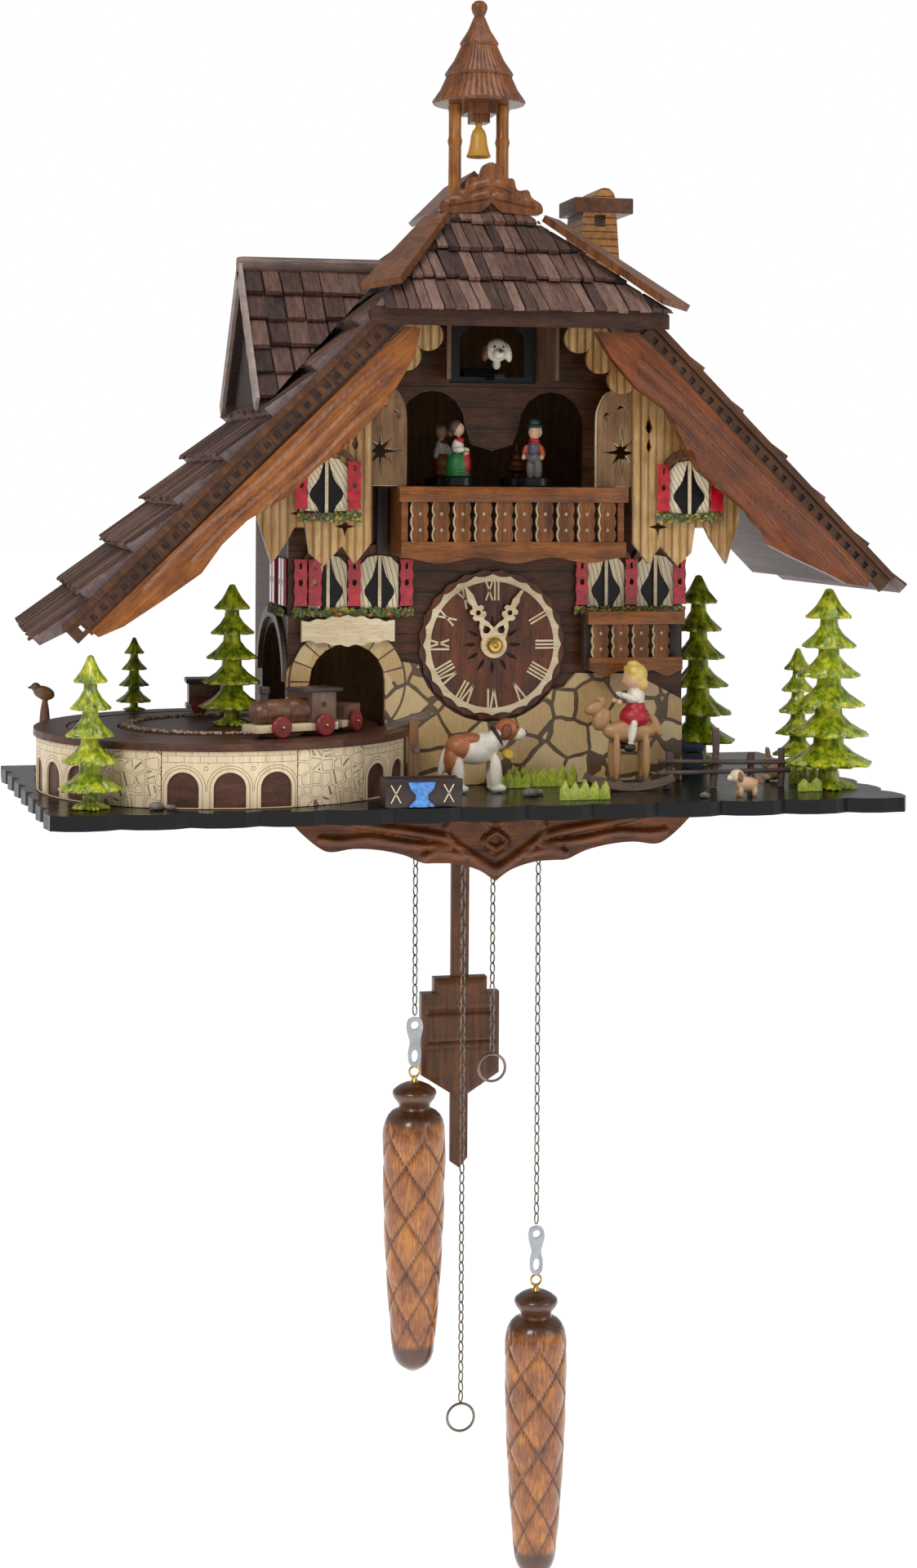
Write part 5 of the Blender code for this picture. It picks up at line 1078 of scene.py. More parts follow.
DORMER_SLATS = weathered("dormer_slats", "8a6a5c", "55382d", "20120c", "Y", (math.radians(45), 0, 0))
paint_node("dormer", DORMER_SLATS)
DORMER_VERGE = wood("dormer_verge", "b09a90", "7b645b", "Y", gloss=0.5, worn=0.5)
a = math.sqrt(0.5)
for side in (-1, 1):
    out = Vector((0, side, 1)).normalized()
    up = Vector((0, -side, 1)).normalized()
    laid = Matrix((up.cross(out), up, out)).transposed().to_4x4()
    laid.translation = Vector((-0.0895, -0.105, 0.21)) - up * 0.055 + out * 0.0012
    seat = ROOF_RIDGE + 0.021 * math.sqrt(2) + 0.0008
    clip = [((0, 0, seat), (1, 0, -1)), ((0, -0.105, 0), (0, -side, 0))]
    SLATS.grow(f"dormer_slats_{'front' if side < 0 else 'back'}", grower, {"Across": 0.088, "Up": 0.085, "Slats": 9,
        "Rows": 5, "Length": 0.024, "Thick": 0.0021, "Tilt": -0.14, "Seed": 40 + side}, DORMER_SLATS, "case",
        "shingle_wood", laid, (), clip)
    verge = []
    for i in range(13):
        down = 0.112 * i / 12
        verge.append((down, -0.001 - (0.0016 if i % 2 else 0.0)))
    loop = [(0.0, 0.0085), (0.112, 0.0085)] + verge[::-1]
    loop = [(-0.105 + side * (down - drop) * a, 0.2115 - (down + drop) * a) for down,
        drop in [(d, -o + 0.0045) for d, o in loop]]
    settle(f"dormer_verge_{'front' if side < 0 else 'back'}", board_shape(loop, -0.1402, -0.1382, axis="X"),
        DORMER_VERGE, "case")
log = bmesh.new()
lathe(None, [(0.0042, 0.0), (0.0045, -0.004), (0.0045, -0.09), (0.004, -0.0935)], None, None,
    (-0.047, -0.105, 0.2125), "X", steps=14, keep=log)
settle("dormer_log", log, GREY_TRIM, "case")


# ---- windows -------------------------------------------------------------------------------
# Each window has a black pane, cream curtains with drawn folds, a pale bar, clear red
# shutters with sawn hearts, a brown fibrous eyebrow above and a strip of dried flowers below.
def folds(graph, place):
    u, _, v = graph.split(place)
    grain = graph.noise(graph.grained(place, "Z"), 900.0)
    line = ((u + v * v * 3.0 + 1.0) % 0.0027).below(0.00038)
    return {"Base Color": graph.mix(line * 0.8, graph.ramp(grain, (0.3, tint("e2d0a8")), (0.7, tint("f2e6c8"))),
        tint("5a3b22")), "Roughness": grain * 0.2 + 0.45, "Height": grain * 0.3 - line}


def cast_resin(name, colour, deep, rough=0.12, scale=300.0, glow=0.25):
    """Tinted clear resin: streaks of depth, small bubbles and a wet gloss."""
    def make(graph, place):
        depth = graph.noise(place, scale, 4.0, 0.6)
        bubble = graph.noise(place, 2400.0, 2.0)
        return {"Base Color": graph.ramp(depth * 0.8 + bubble * 0.2, (0.33, tint(deep)), (0.62, tint(colour))),
            "Roughness": bubble * 0.15 + (rough - 0.05), "Height": depth + bubble * 0.3}
    return surface(name, make, 0.00015, Coat_Weight=0.6, Coat_Roughness=0.08, Subsurface_Weight=glow,
        Subsurface_Scale=0.004)


CURTAIN = surface("curtain_card", folds, 0.00005)
PANE = lacquer("black_pane", "0a0808", "2c2522", 0.25)
RED_RESIN = cast_resin("red_resin", "d8142c", "7d0a1c")
BROW = wood("eyebrow_fibre", "7a5236", "3a2212", "Z", fineness=0.8, gloss=0.6, bump=0.0005)
FLOWERS = speckled("flowers", ("2f5a2a", "4f7f3c", "a8402e", "d8c23a", "35557a", "6f8f3a"), 700.0, 0.7)


def joined(parts, name, finish, body, stands_for=(), sharp=35):
    """Several closed shapes as one piece."""
    whole = bmesh.new()
    for part in parts:
        mesh = bpy.data.meshes.new("part")
        part.to_mesh(mesh)
        part.free()
        whole.from_mesh(mesh)
        bpy.data.meshes.remove(mesh)
    return settle(name, whole, finish, body, stands_for, sharp)


def shutter_outline(x, z, wide, tall):
    edge = []
    for i in range(7):
        edge.append((x + wide / 2 - (0.0006 if i % 2 else 0.0), z - tall / 2 + tall * i / 6))
    return edge + [(2 * x - u, v) for u, v in reversed(edge)]


def window(name, x, z, wide, tall, front, shutters):
    foot, top = z - tall / 2, z + tall / 2
    arch = bow(x, top - wide * 0.3, wide / 2, wide * 0.3, 0, 180, 10)
    settle(f"{name}_pane", board_shape([(x - wide / 2, foot), (x + wide / 2, foot)] + arch, front - 0.0006,
        front + 0.0004), PANE, "case")
    cards = []
    for side in (-1, 1):
        outer = x + side * wide / 2
        card = [(outer, foot + 0.001), (outer, top - wide * 0.25), (x + side * wide * 0.3, top - 0.001),
            (x + side * 0.001, top)]
        card += smooth_line([(x + side * 0.0012, top - 0.001), (x + side * wide * 0.18, z + tall * 0.12),
            (outer - side * 0.0022, z - tall * 0.16), (outer - side * wide * 0.26, foot + tall * 0.12),
            (outer - side * wide * 0.32, foot + 0.0006)], 4)
        cards.append(board_shape(card, front - 0.0014, front - 0.0005))
    joined(cards, f"{name}_curtains", CURTAIN, "case")
    settle(f"{name}_bar", block_shape(bmesh.new(), (x - 0.0009, front - 0.0024, foot),
        (x + 0.0009, front - 0.0013, top)), PALE_MAPLE, "case")
    brow = bow(x, top - 0.004, wide * 0.66, 0.0105, 165, 15, 12) + bow(x, top - 0.0046, wide * 0.6, 0.0066, 15, 165,
        12)
    settle(f"{name}_brow", board_shape(brow, front - 0.0052, front - 0.0004), BROW, "case")
    reds = []
    for spot in shutters:
        hole = bow(spot, z, 0.0014, 0.0019, 0, 315, 7)
        slit = [(spot - 0.0007, z + tall * 0.25), (spot + 0.0007, z + tall * 0.25), (spot + 0.0007, z + tall * 0.36),
            (spot - 0.0007, z + tall * 0.36)]
        reds.append(board_shape(shutter_outline(spot, z, 0.0076, tall * 0.86), front - 0.0038, front - 0.0022,
            [hole, slit]))
    if reds:
        joined(reds, f"{name}_shutters", RED_RESIN, "case")


def flower_row(name, x0, x1, z, front, seed, axis="X"):
    """A strip of dried moss and flowers glued along a sill."""
    bed = bpy.data.meshes.new(name)
    spots = [(x0, z - 0.002), (x1, z - 0.002), (x1, z + 0.002), (x0, z + 0.002)]
    if axis == "X":
        bed.from_pydata([(u, front - 0.003, v) for u, v in spots], [], [(0, 1, 2, 3)])
    else:
        bed.from_pydata([(front - 0.003, u, v) for u, v in spots], [], [(0, 1, 2, 3)])
    STREWN.grow(name, bed, {"Density": 1300000.0, "Smallest": 0.0009, "Largest": 0.0021, "Seed": seed,
        "Flatness": 0.4}, FLOWERS, "case", "green_resin")


board_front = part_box("house_front")[0].y
window("window_low_1", -0.093, 0.035, 0.0215, 0.03, board_front, (-0.1085, -0.1005 + 0.0))
window("window_low_2", -0.064, 0.035, 0.0215, 0.03, board_front, (-0.0785, -0.049))
flower_row("flowers_low_left", -0.113, -0.045, 0.0185, board_front, 2)
window("window_low_3", 0.0665, 0.035, 0.0215, 0.03, board_front, (0.052, 0.081))
window("window_low_4", 0.0955, 0.035, 0.0215, 0.03, board_front, (0.1095,))
flower_row("flowers_low_right", 0.048, 0.113, 0.0185, board_front, 5)
window("window_high_1", -0.099, 0.089, 0.023, 0.03, gable_front, (-0.084, -0.113))
flower_row("flowers_high_left", -0.114, -0.08, 0.0715, gable_front, 7)
window("window_high_2", 0.106, 0.0885, 0.023, 0.03, gable_front, (0.0905, 0.1215))
flower_row("flowers_high_right", 0.087, 0.125, 0.0715, gable_front, 9)
side_reds = [board_shape([(y - 0.0038, 0.022), (y + 0.0038, 0.022), (y + 0.0038, 0.048), (y - 0.0038, 0.048)],
    house_left - 0.0022, house_left - 0.0006, [bow(y, 0.035, 0.0014, 0.0019, 0, 315, 7)], axis="X")
    for y in (-0.128, -0.117, -0.092, -0.081)]
joined(side_reds, "side_shutters", RED_RESIN, "case")
settle("side_window_pane", board_shape([(-0.113, 0.022), (-0.096, 0.022), (-0.096, 0.048), (-0.113, 0.048)],
    house_left - 0.0006, house_left + 0.0002, axis="X"), PANE, "case")
flower_row("flowers_side", -0.13, -0.079, 0.0185, house_left + 0.0006, 12, "Y")

# The station's name board is left blank: a wavy maple plate over the arch.
wave = []
for i in range(25):
    x = -0.026 + 0.052 * i / 24
    wave.append((x, 0.0068 + 0.0014 * math.cos(x * 120) + 0.0006 * math.cos(i * 1.6)))
plate = [(-0.0825 + u, 0.0085 + v) for u, v in wave] + [(-0.0825 + u, 0.0085 - v) for u, v in reversed(wave)]
settle("name_board", board_shape(plate, -0.1432, -0.1394), PALE_MAPLE, "case", sharp=50)


# ---- balconies --------------------------------------------------------------------------------
# Sawn balusters with scalloped edges and a diamond hole, cut through so that their pale
# inside shows on the left; satin rails, the lower one drooping like a valance.
RAIL_WOOD = wood("rail_wood", "9a5b22", "4a230a", "X", gloss=0.32, coat=0.5)
BALUSTER_WOOD = wood("baluster_wood", "8f5826", "44220c", "Z", gloss=0.4, coat=0.2)


def balcony(name, left, right, low, high, front, spots, node):
    parts, pale = [], []
    rail = (high - low) * 0.22
    for x in spots:
        half = []
        count = 12
        for i in range(count + 1):
            share = i / count
            half.append((0.0036 + 0.001 * abs(math.sin(share * math.pi * 3)),
                low + rail + (high - low - 2 * rail) * share))
        outline = [(x + u, v) for u, v in half] + [(x - u, v) for u, v in reversed(half)]
        middle = (low + high) / 2
        holes = [[(x, middle - d - 0.0014), (x + 0.0011, middle - d), (x, middle - d + 0.0014),
            (x - 0.0011, middle - d)] for d in (-0.0044, 0.0044)]
        parts.append(board_shape(outline, front - 0.0003, front + 0.0024, holes))
        pale.append(board_shape([(u - 0.0005, v) for u, v in outline], front + 0.0006, front + 0.0032))
    joined(parts, f"{name}_balusters", BALUSTER_WOOD, "case", sharp=50)
    joined(pale, f"{name}_pale_edges", PALE_MAPLE, "case", sharp=50)
    rails = [block_shape(bmesh.new(), (left - 0.0012, front - 0.0016, high - rail),
        (right + 0.0012, front + 0.0045, high), soften=0.0006)]
    droop = []
    for i in range(37):
        share = i / 36
        droop.append((left + (right - left) * share, low - 0.0016 + 0.0016 * math.cos(share * math.pi * 6)))
    rails.append(board_shape(droop + [(right, low + rail), (left, low + rail)], front - 0.0008, front + 0.004))
    rails.append(block_shape(bmesh.new(), (left + 0.0008, front + 0.002, low + 0.0006),
        (right - 0.0008, board_front - 0.0006, low + 0.0042)))
    joined(rails, f"{name}_rails", RAIL_WOOD, "case", [node])


balcony("upper_balcony", -0.06, 0.066, 0.05, 0.0885, -0.178, [-0.0495 + 0.0118 * i for i in range(5)]
    + [0.0085 + 0.0118 * i for i in range(5)], "balcony_upper")
cheeks = [block_shape(bmesh.new(), (x, -0.176, 0.052), (x + 0.0035, -0.1357, 0.0879)) for x in (-0.0594, 0.0619)]
joined(cheeks, "upper_balcony_cheeks", RAIL_WOOD, "case")
balcony("lower_balcony", 0.052, 0.106, -0.014, 0.019, -0.155, [0.0585 + 0.0118 * i for i in range(4)],
    "balcony_lower")
POST_WOOD = wood("post_wood", "47362f", "231814", "Z", gloss=0.5)
posts = [block_shape(bmesh.new(), (x - 0.003, y - 0.003, low), (x + 0.003, y + 0.003, high), soften=0.0005) for x, y,
    low, high in ((-0.0635, -0.1395, 0.051, 0.09), (0.069, -0.1395, 0.051, 0.09), (0.0535, -0.1445, -0.014, 0.017),
    (0.104, -0.1445, -0.014, 0.017))]
joined(posts, "balcony_posts", POST_WOOD, "case")

# Two tall sawn shutters stand beside the stage, each with crescents and an eight-pointed star.
SHUTTER_WOOD = wood("shutter_walnut", "a58058", "5e3f26", "Z", gloss=0.5)
for side in (-1, 1):
    foot, top, inner, wide = 0.089, 0.1425, 0.054, 0.0285
    middle = inner + wide / 2
    half = smooth_line([(middle + wide / 2, foot), (middle + wide / 2, foot + 0.034),
        (middle + wide * 0.46, foot + 0.044), (middle + wide * 0.28, top - 0.001), (middle, top)], 4)
    outline = half + [(2 * middle - u, v) for u, v in reversed(half[:-1])]
    star = []
    for i in range(16):
        reach = (0.0122 if i % 4 == 0 else 0.0088) if i % 2 == 0 else 0.0032
        angle = math.radians(22.5 * i + 90)
        star.append((middle + reach * math.cos(angle), foot + 0.019 + reach * 1.15 * math.sin(angle)))
    moons = []
    for turn_by, at_u, at_v in ((60, -0.0078, 0.0385), (0, 0.0, 0.0425), (-60, 0.0078, 0.0385)):
        moon = bow(0, 0, 0.003, 0.003, 10, 170, 8) + bow(0, -0.0012, 0.0024, 0.0024, 150, 30, 8)
        moons.append([(middle + at_u + u, foot + at_v + v) for u, v in turned_loop(moon, -turn_by)])
    mirror = [[(side * u, v) for u, v in loop] for loop in [outline, star, *moons]]
    front = board_front - 0.0275
    name = "left" if side < 0 else "right"
    settle(f"star_shutter_{name}", board_shape(mirror[0], front, front + 0.0022, mirror[1:]), SHUTTER_WOOD, "case",
        sharp=50)
    shifted = [[(u - 0.0006, v - 0.0004) for u, v in loop] for loop in mirror]
    settle(f"star_shutter_edge_{name}", board_shape(shifted[0], front + 0.0021, front + 0.0042, shifted[1:]),
        PALE_MAPLE, "case", sharp=50)


# ---- herald, doors and stage --------------------------------------------------------------------
# A dog's head of painted resin with drooping ears rides on an arm between two thin doors.
# Below it four carved dancers turn on black discs on a black turntable.
def painted(name, rough=0.42):
    """Hand-painted resin: brush colour from the piece's own colour layer, dirt in noise patches."""
    def make(graph, place):
        coat = graph.add("ShaderNodeAttribute", {"attribute_name": "paint"}, out="Color")
        brush = graph.noise(place, 700.0, 4.0, 0.6)
        wash = graph.noise(place, 190.0, 3.0)
        return {"Base Color": graph.mix((wash * 1.5 - 0.55).higher(0.0) * 0.35 + brush * 0.1, coat, tint("3a2a20")),
            "Roughness": brush * 0.25 + (rough - 0.12), "Height": brush + wash * 0.5}
    return surface(name, make, 0.00018, Coat_Weight=0.15)


PAINTED = painted("painted_resin")


def sculpt(name, blobs, body, place, stands_for=(), voxel=0.45, finish=PAINTED, melt=2):
    """Rounded lumps in millimetres, grown together; each lump colours what lies nearest it."""
    lump = bmesh.new()
    frames = []
    for centre, radii, colour, *more in blobs:
        turn = Matrix.Rotation(math.radians(more[0]) if more else 0.0, 4, more[1] if len(more) > 1 else "Y")
        spot = Matrix.Translation(centre) @ turn @ Matrix.Diagonal((*radii, 1.0))
        made = bmesh.ops.create_icosphere(lump, subdivisions=3, radius=1.0)
        bmesh.ops.transform(lump, matrix=spot, verts=made["verts"])
        frames.append((spot.inverted(), tint(colour), min(radii)))
    rough = bpy.data.meshes.new(f"{name}_rough")
    lump.to_mesh(rough)
    lump.free()
    maker = bpy.data.objects.new(f"{name}_maker", rough)
    bpy.context.scene.collection.objects.link(maker)
    remesh = maker.modifiers.new("remesh", "REMESH")
    remesh.mode = "VOXEL"
    remesh.voxel_size = voxel
    if melt:
        soften = maker.modifiers.new("melt", "SMOOTH")
        soften.iterations = melt
    bpy.context.view_layer.update()
    mesh = bpy.data.meshes.new_from_object(maker.evaluated_get(bpy.context.evaluated_depsgraph_get()))
    bpy.data.objects.remove(maker, do_unlink=True)
    spots = np.empty(len(mesh.vertices) * 3)
    mesh.vertices.foreach_get("co", spots)
    spots = np.c_[spots.reshape(-1, 3), np.ones(len(mesh.vertices))]
    best = np.full(len(spots), 1e9)
    colours = np.zeros((len(spots), 4))
    for inverse, colour, small in frames:
        reach = (np.linalg.norm((spots @ np.array(inverse).T)[:, :3], axis=1) - 1) * small
        nearer = reach < best
        best[nearer] = reach[nearer]
        colours[nearer] = colour
    layer = mesh.color_attributes.new("paint", "FLOAT_COLOR", "POINT")
    layer.data.foreach_set("color", colours.ravel())
    for polygon in mesh.polygons:
        polygon.use_smooth = True
    mesh.transform(place @ Matrix.Scale(0.001, 4))
    return adopt(name, mesh, finish, body, stands_for)


WHITE, BROWN, SKIN, RED, BLACK = "efe6d2", "6b3f22", "e2b28f", "b5202a", "191514"
herald_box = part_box("herald_dog")
head_place = Matrix.Translation((0, -0.146, 0.164))
sculpt("herald_head", [((0, 0, 0.5), (6.4, 6.2, 6.6), WHITE), ((0, -5.0, -1.6), (3.6, 3.6, 3.2), WHITE),
    ((-6.2, 0.4, -0.6), (2.6, 3.2, 5.4), BROWN, 12), ((6.2, 0.4, -0.6), (2.4, 3.2, 5.6), WHITE, -12),
    ((0.4, -8.2, -0.6), (1.3, 0.9, 1.0), BROWN), ((-2.4, -5.4, 2.0), (0.8, 0.6, 0.8), BLACK),
    ((2.4, -5.4, 2.0), (0.8, 0.6, 0.8), BLACK), ((0, 0.5, -7.4), (2.2, 2.4, 3.0), WHITE)], "herald", head_place,
    ["herald_dog"], 0.35)
arm = block_shape(bmesh.new(), (-0.003, herald_box[0].y + 0.001, 0.148), (0.003, herald_box[1].y, 0.151),
    soften=0.0005)
block_shape(arm, (-0.01, herald_box[1].y - 0.012, 0.1452), (0.01, herald_box[1].y, 0.156), soften=0.0006)
BLACK_PART = lacquer("black_moulding", "141414", "3a3a38", 0.4)
settle("herald_arm", arm, BLACK_PART, "herald")
frame_hole = [(-0.0185, 0.15), (0.0185, 0.15), (0.0185, 0.17)] + bow(0, 0.17, 0.0185, 0.0112, 0, 180, 12)[1:]
settle("doorway_lining", board_shape([(-0.0249, 0.1468), (0.0249, 0.1468), (0.0249, 0.1818), (-0.0249, 0.1818)],
    -0.1334, -0.131, [frame_hole]), BLACK_PART, "case")
DOOR_WOOD = wood("door_wood", "8a6a52", "503828", "Z", gloss=0.5)
for node in ("cuckoo_door_left", "cuckoo_door_right"):
    paint_node(node, DOOR_WOOD)
STAGE_BLACK = lacquer("stage_black", "0c0c0d", "606066", 0.16)
paint_node("carousel", STAGE_BLACK)
for node in ("drive_unit", "clock_movement"):
    paint_node(node, BLACK_PART)

WOMAN = [((0, 0, 11), (6.8, 6.8, 8.5), "1f7a3a"), ((0, 0, 6.2), (7.4, 7.4, 2.6), "1b6a33"),
    ((0, -4.6, 12), (4.2, 3.0, 7.0), RED), ((0, 0, 22), (3.9, 3.3, 4.6), WHITE),
    ((0, -1, 25.0), (3.0, 2.6, 2.2), RED), ((-4.4, -2.0, 20), (1.6, 3.4, 1.7), WHITE, 25),
    ((4.4, -2.0, 20), (1.6, 3.4, 1.7), WHITE, -25), ((0, -5.0, 18.0), (3.4, 1.6, 1.5), SKIN),
    ((0, 0, 31.5), (3.6, 3.6, 4.0), SKIN), ((0, 1.3, 32.6), (4.2, 3.7, 4.3), "5e4a40"),
    ((0, 4.2, 29.5), (2.2, 1.8, 2.6), "5e4a40")]
MAN = [((-2.1, 0, 10), (2.6, 2.8, 7.0), "6e665f"), ((2.1, 0, 10), (2.6, 2.8, 7.0), "6e665f"),
    ((0, 0, 15.5), (4.4, 3.4, 3.6), "6e665f"), ((0, 0, 21.0), (4.4, 3.3, 5.2), "8a3a24"),
    ((0, -2.4, 20.4), (2.6, 1.6, 3.8), "4c5a7a"), ((0, -0.4, 25.6), (3.3, 3.0, 1.5), RED),
    ((-5.0, -1.2, 19.6), (1.6, 2.0, 4.0), "b0522c", 15), ((5.0, -1.2, 19.6), (1.6, 2.0, 4.0), "b0522c", -15),
    ((-5.4, -2.6, 16), (1.3, 1.3, 1.5), SKIN), ((5.4, -2.6, 16), (1.3, 1.3, 1.5), SKIN),
    ((0, 0, 30.2), (3.5, 3.5, 4.0), SKIN), ((0, 1.4, 30.4), (3.9, 3.4, 3.8), "e6e0d4"),
    ((0, 0, 33.6), (5.2, 5.0, 0.9), "1d3d38"), ((0, 0.3, 35.6), (3.5, 3.4, 2.5), "1d3d38")]
BACKPACK = [((0, 0, 13), (5.0, 4.4, 6.5), "8f4a22"), ((0, 0, 7.5), (5.4, 4.6, 3.2), "8f4a22"),
    ((0, 0, 22.0), (4.0, 3.2, 5.0), WHITE), ((0, -1.0, 24.6), (2.4, 2.4, 1.6), RED),
    ((0, 0, 31.0), (3.5, 3.5, 4.0), SKIN), ((0, 1.0, 33.0), (3.8, 3.6, 3.0), "8d7f76"),
    ((-4.4, -1.5, 19.5), (1.5, 2.0, 4.0), WHITE, 15), ((4.4, -1.5, 19.5), (1.5, 2.0, 4.0), WHITE, -15)]
CONE = [((0, 0, 10.0), (6.4, 6.4, 2.4), "7a3f1e"), ((0, 0, 13.0), (5.0, 5.0, 3.2), "86471f"),
    ((0, 0, 17.0), (3.2, 3.2, 3.6), "7a3f1e"), ((0, 0, 22.0), (1.7, 1.7, 4.2), "5b2f18"),
    ((0, 0, 6.2), (2.0, 2.0, 3.2), "4a2c1a")]
for number, (blobs, facing) in enumerate(((WOMAN, 60), (MAN, -35), (CONE, 0), (BACKPACK, 20)), 1):
    around = math.radians(225 + 90 * (number - 1))
    spot = Vector((0.031 * math.cos(around), -0.124 + 0.031 * math.sin(around), 0.0888))
    letter = "abcd"[number - 1]
    sculpt(f"dancer_figure_{letter}", blobs, f"dancer_{letter}", Matrix.Translation(spot)
        @ Matrix.Rotation(math.radians(facing), 4, "Z"), [f"dancer_{number}"], 0.4)
    lathe(f"dancer_disc_{letter}", [(0.009, 0.0047), (0.0094, 0.0043), (0.0095, 0.0004), (0.0092, 0.0)], STAGE_BLACK,
        f"dancer_{letter}", spot, steps=36)

# ---- train ------------------------------------------------------------------------------------------
# A turned walnut boiler and a planed cab on a pale maple frame, with red-stained wheels on
# brass pins; the tender and the coach behind it are made the same way.
TRAIN_WALNUT = wood("train_walnut", "84583f", "4b2d1f", "Y", gloss=0.34, coat=0.45)
TRAIN_GREY = wood("train_grey", "8d6a56", "5c4133", "Z", gloss=0.4, coat=0.3)
TRAIN_DARK = wood("train_dark", "4a3c38", "2a211f", "X", gloss=0.4, coat=0.3)
WHEEL_RED = wood("wheel_red", "a8393b", "6f2023", "Z", gloss=0.4, coat=0.3)
track_height = deck_height - 0.0003
TRACK_REACH = 0.0724
LOCO_AT, TENDER_AT, WAGON_AT = -67, -36.5, 88
AXLE_WHEEL, WAGON_WHEEL = 0.0058, 0.0052


def on_rails(angle):
    """The place of a vehicle: x across the track, y along it, z up from the track."""
    turn_by = math.radians(angle)
    spot = (PLATFORM_MIDDLE.x + TRACK_REACH * math.cos(turn_by), PLATFORM_MIDDLE.y + TRACK_REACH * math.sin(turn_by),
        track_height)
    return Matrix.Translation(spot) @ Matrix.Rotation(turn_by, 4, "Z")


def on_track_piece(name, angle, parts, finish, stands_for=()):
    whole = bmesh.new()
    for part in parts:
        mesh = bpy.data.meshes.new("part")
        part.to_mesh(mesh)
        part.free()
        whole.from_mesh(mesh)
        bpy.data.meshes.remove(mesh)
    bmesh.ops.transform(whole, matrix=on_rails(angle), verts=whole.verts)
    return settle(name, whole, finish, "train", stands_for)


def turned_part(profile, middle, axis="Z", steps=28):
    shape = bmesh.new()
    lathe(None, profile, None, None, middle, axis, steps=steps, keep=shape)
    return shape


def wheels(name, angle, spots, radius):
    pins, rounds = [], []
    for along in spots:
        for side in (-1, 1):
            rim = [(radius * 0.9, side * 0.011), (radius, side * 0.0104), (radius, side * 0.0088),
                (radius * 0.9, side * 0.0084)]
            rounds.append(turned_part(rim, (0, along, radius + 0.0003), "X"))
            head = [(0.0, side * 0.0122), (0.0007, side * 0.012), (0.001, side * 0.0112), (0.0008, side * 0.0106)]
            pins.append(turned_part(head, (0, along, radius + 0.0003), "X", 14))
        pins.append(turned_part([(0.0007, 0.0085), (0.0007, -0.0085)], (0, along, radius + 0.0003), "X", 10))
    on_track_piece(f"{name}_wheels", angle, rounds, WHEEL_RED)
    on_track_piece(f"{name}_pins", angle, pins, BRASS)


BOILER = [(0.0, 0.0205), (0.0046, 0.02), (0.0064, 0.018), (0.0067, 0.015), (0.006, 0.014), (0.0067, 0.013),
    (0.0068, 0.001), (0.0061, 0.0), (0.0068, -0.001), (0.0068, -0.016)]
boiler = turned_part([(r, h - 0.0045) for r, h in BOILER], (0, 0, 0))
bmesh.ops.rotate(boiler, matrix=Matrix.Rotation(math.pi / 2, 3, "X"), verts=boiler.verts)
bmesh.ops.translate(boiler, vec=(0, -0.0085, 0.0135), verts=boiler.verts)
bmesh.ops.recalc_face_normals(boiler, faces=boiler.faces)
on_track_piece("loco_boiler", LOCO_AT, [boiler], TRAIN_WALNUT, stands_for=["locomotive"])
on_track_piece("loco_frame", LOCO_AT, [block_shape(bmesh.new(), (-0.0078, -0.0262, 0.0032), (0.0078, 0.0245, 0.0074),
    soften=0.0006)], PALE_MAPLE)
cab = block_shape(bmesh.new(), (-0.008, 0.0075, 0.0074), (0.008, 0.023, 0.0236), soften=0.0005)
port = [turned_part([(0.0016, side * 0.0082), (0.0016, side * 0.0078)], (0, 0.015, 0.017), "X", 14)
    for side in (-1, 1)]
on_track_piece("loco_cab", LOCO_AT, [cab], TRAIN_GREY)
stack = [(0.0026, 0.0), (0.0029, -0.0006), (0.0029, -0.0034), (0.0022, -0.0042), (0.0022, -0.0105)]
on_track_piece("loco_roof", LOCO_AT, [block_shape(bmesh.new(), (-0.0096, 0.001, 0.0236), (0.0096, 0.0262, 0.0256),
    soften=0.0007), turned_part(stack, (0, -0.017, 0.0272)), *port], TRAIN_DARK)
wheels("loco", LOCO_AT, (-0.012, 0.015), AXLE_WHEEL)
on_track_piece("tender_body", TENDER_AT, [block_shape(bmesh.new(), (-0.0076, -0.0096, 0.0072),
    (0.0076, 0.0096, 0.015), soften=0.0006)], TRAIN_GREY, stands_for=["tender"])
on_track_piece("tender_frame", TENDER_AT, [block_shape(bmesh.new(), (-0.0074, -0.0115, 0.0032),
    (0.0074, 0.0112, 0.0072), soften=0.0005)], PALE_MAPLE)
wheels("tender", TENDER_AT, (0.0,), AXLE_WHEEL)
on_track_piece("wagon_body", WAGON_AT, [block_shape(bmesh.new(), (-0.008, -0.0148, 0.006), (0.008, 0.0148, 0.0178),
    soften=0.0006)], TRAIN_WALNUT, stands_for=["wagon"])
on_track_piece("wagon_frame", WAGON_AT, [block_shape(bmesh.new(), (-0.0078, -0.016, 0.0032), (0.0078, 0.016, 0.006),
    soften=0.0005)], PALE_MAPLE)
on_track_piece("wagon_roof", WAGON_AT, [block_shape(bmesh.new(), (-0.0092, -0.0165, 0.0178), (0.0092, 0.0165, 0.0208),
    soften=0.0011)], TRAIN_DARK)
wheels("wagon", WAGON_AT, (-0.0085, 0.0085), WAGON_WHEEL)


# ---- fir trees ----------------------------------------------------------------------------------------
# Cast in tinted clear resin: bell-shaped tiers with lumpy scalloped rims, yellow where thin
# and olive where thick, on a faceted trunk with pointed roots.
def needle_resin(graph, place):
    drip = graph.noise(graph.grained(place, "Z", stretch=5.0), 420.0, 4.0, 0.6)
    cloud = graph.noise(place, 150.0, 3.0)
    tone = drip * 0.55 + cloud * 0.6 - 0.08
    return {"Base Color": graph.ramp(tone, (0.34, tint("3f5214")), (0.46, tint("7f9418")), (0.6, tint("c6c62a")),
        (0.75, tint("e6df62"))), "Roughness": drip * 0.2 + 0.08, "Height": drip + cloud}


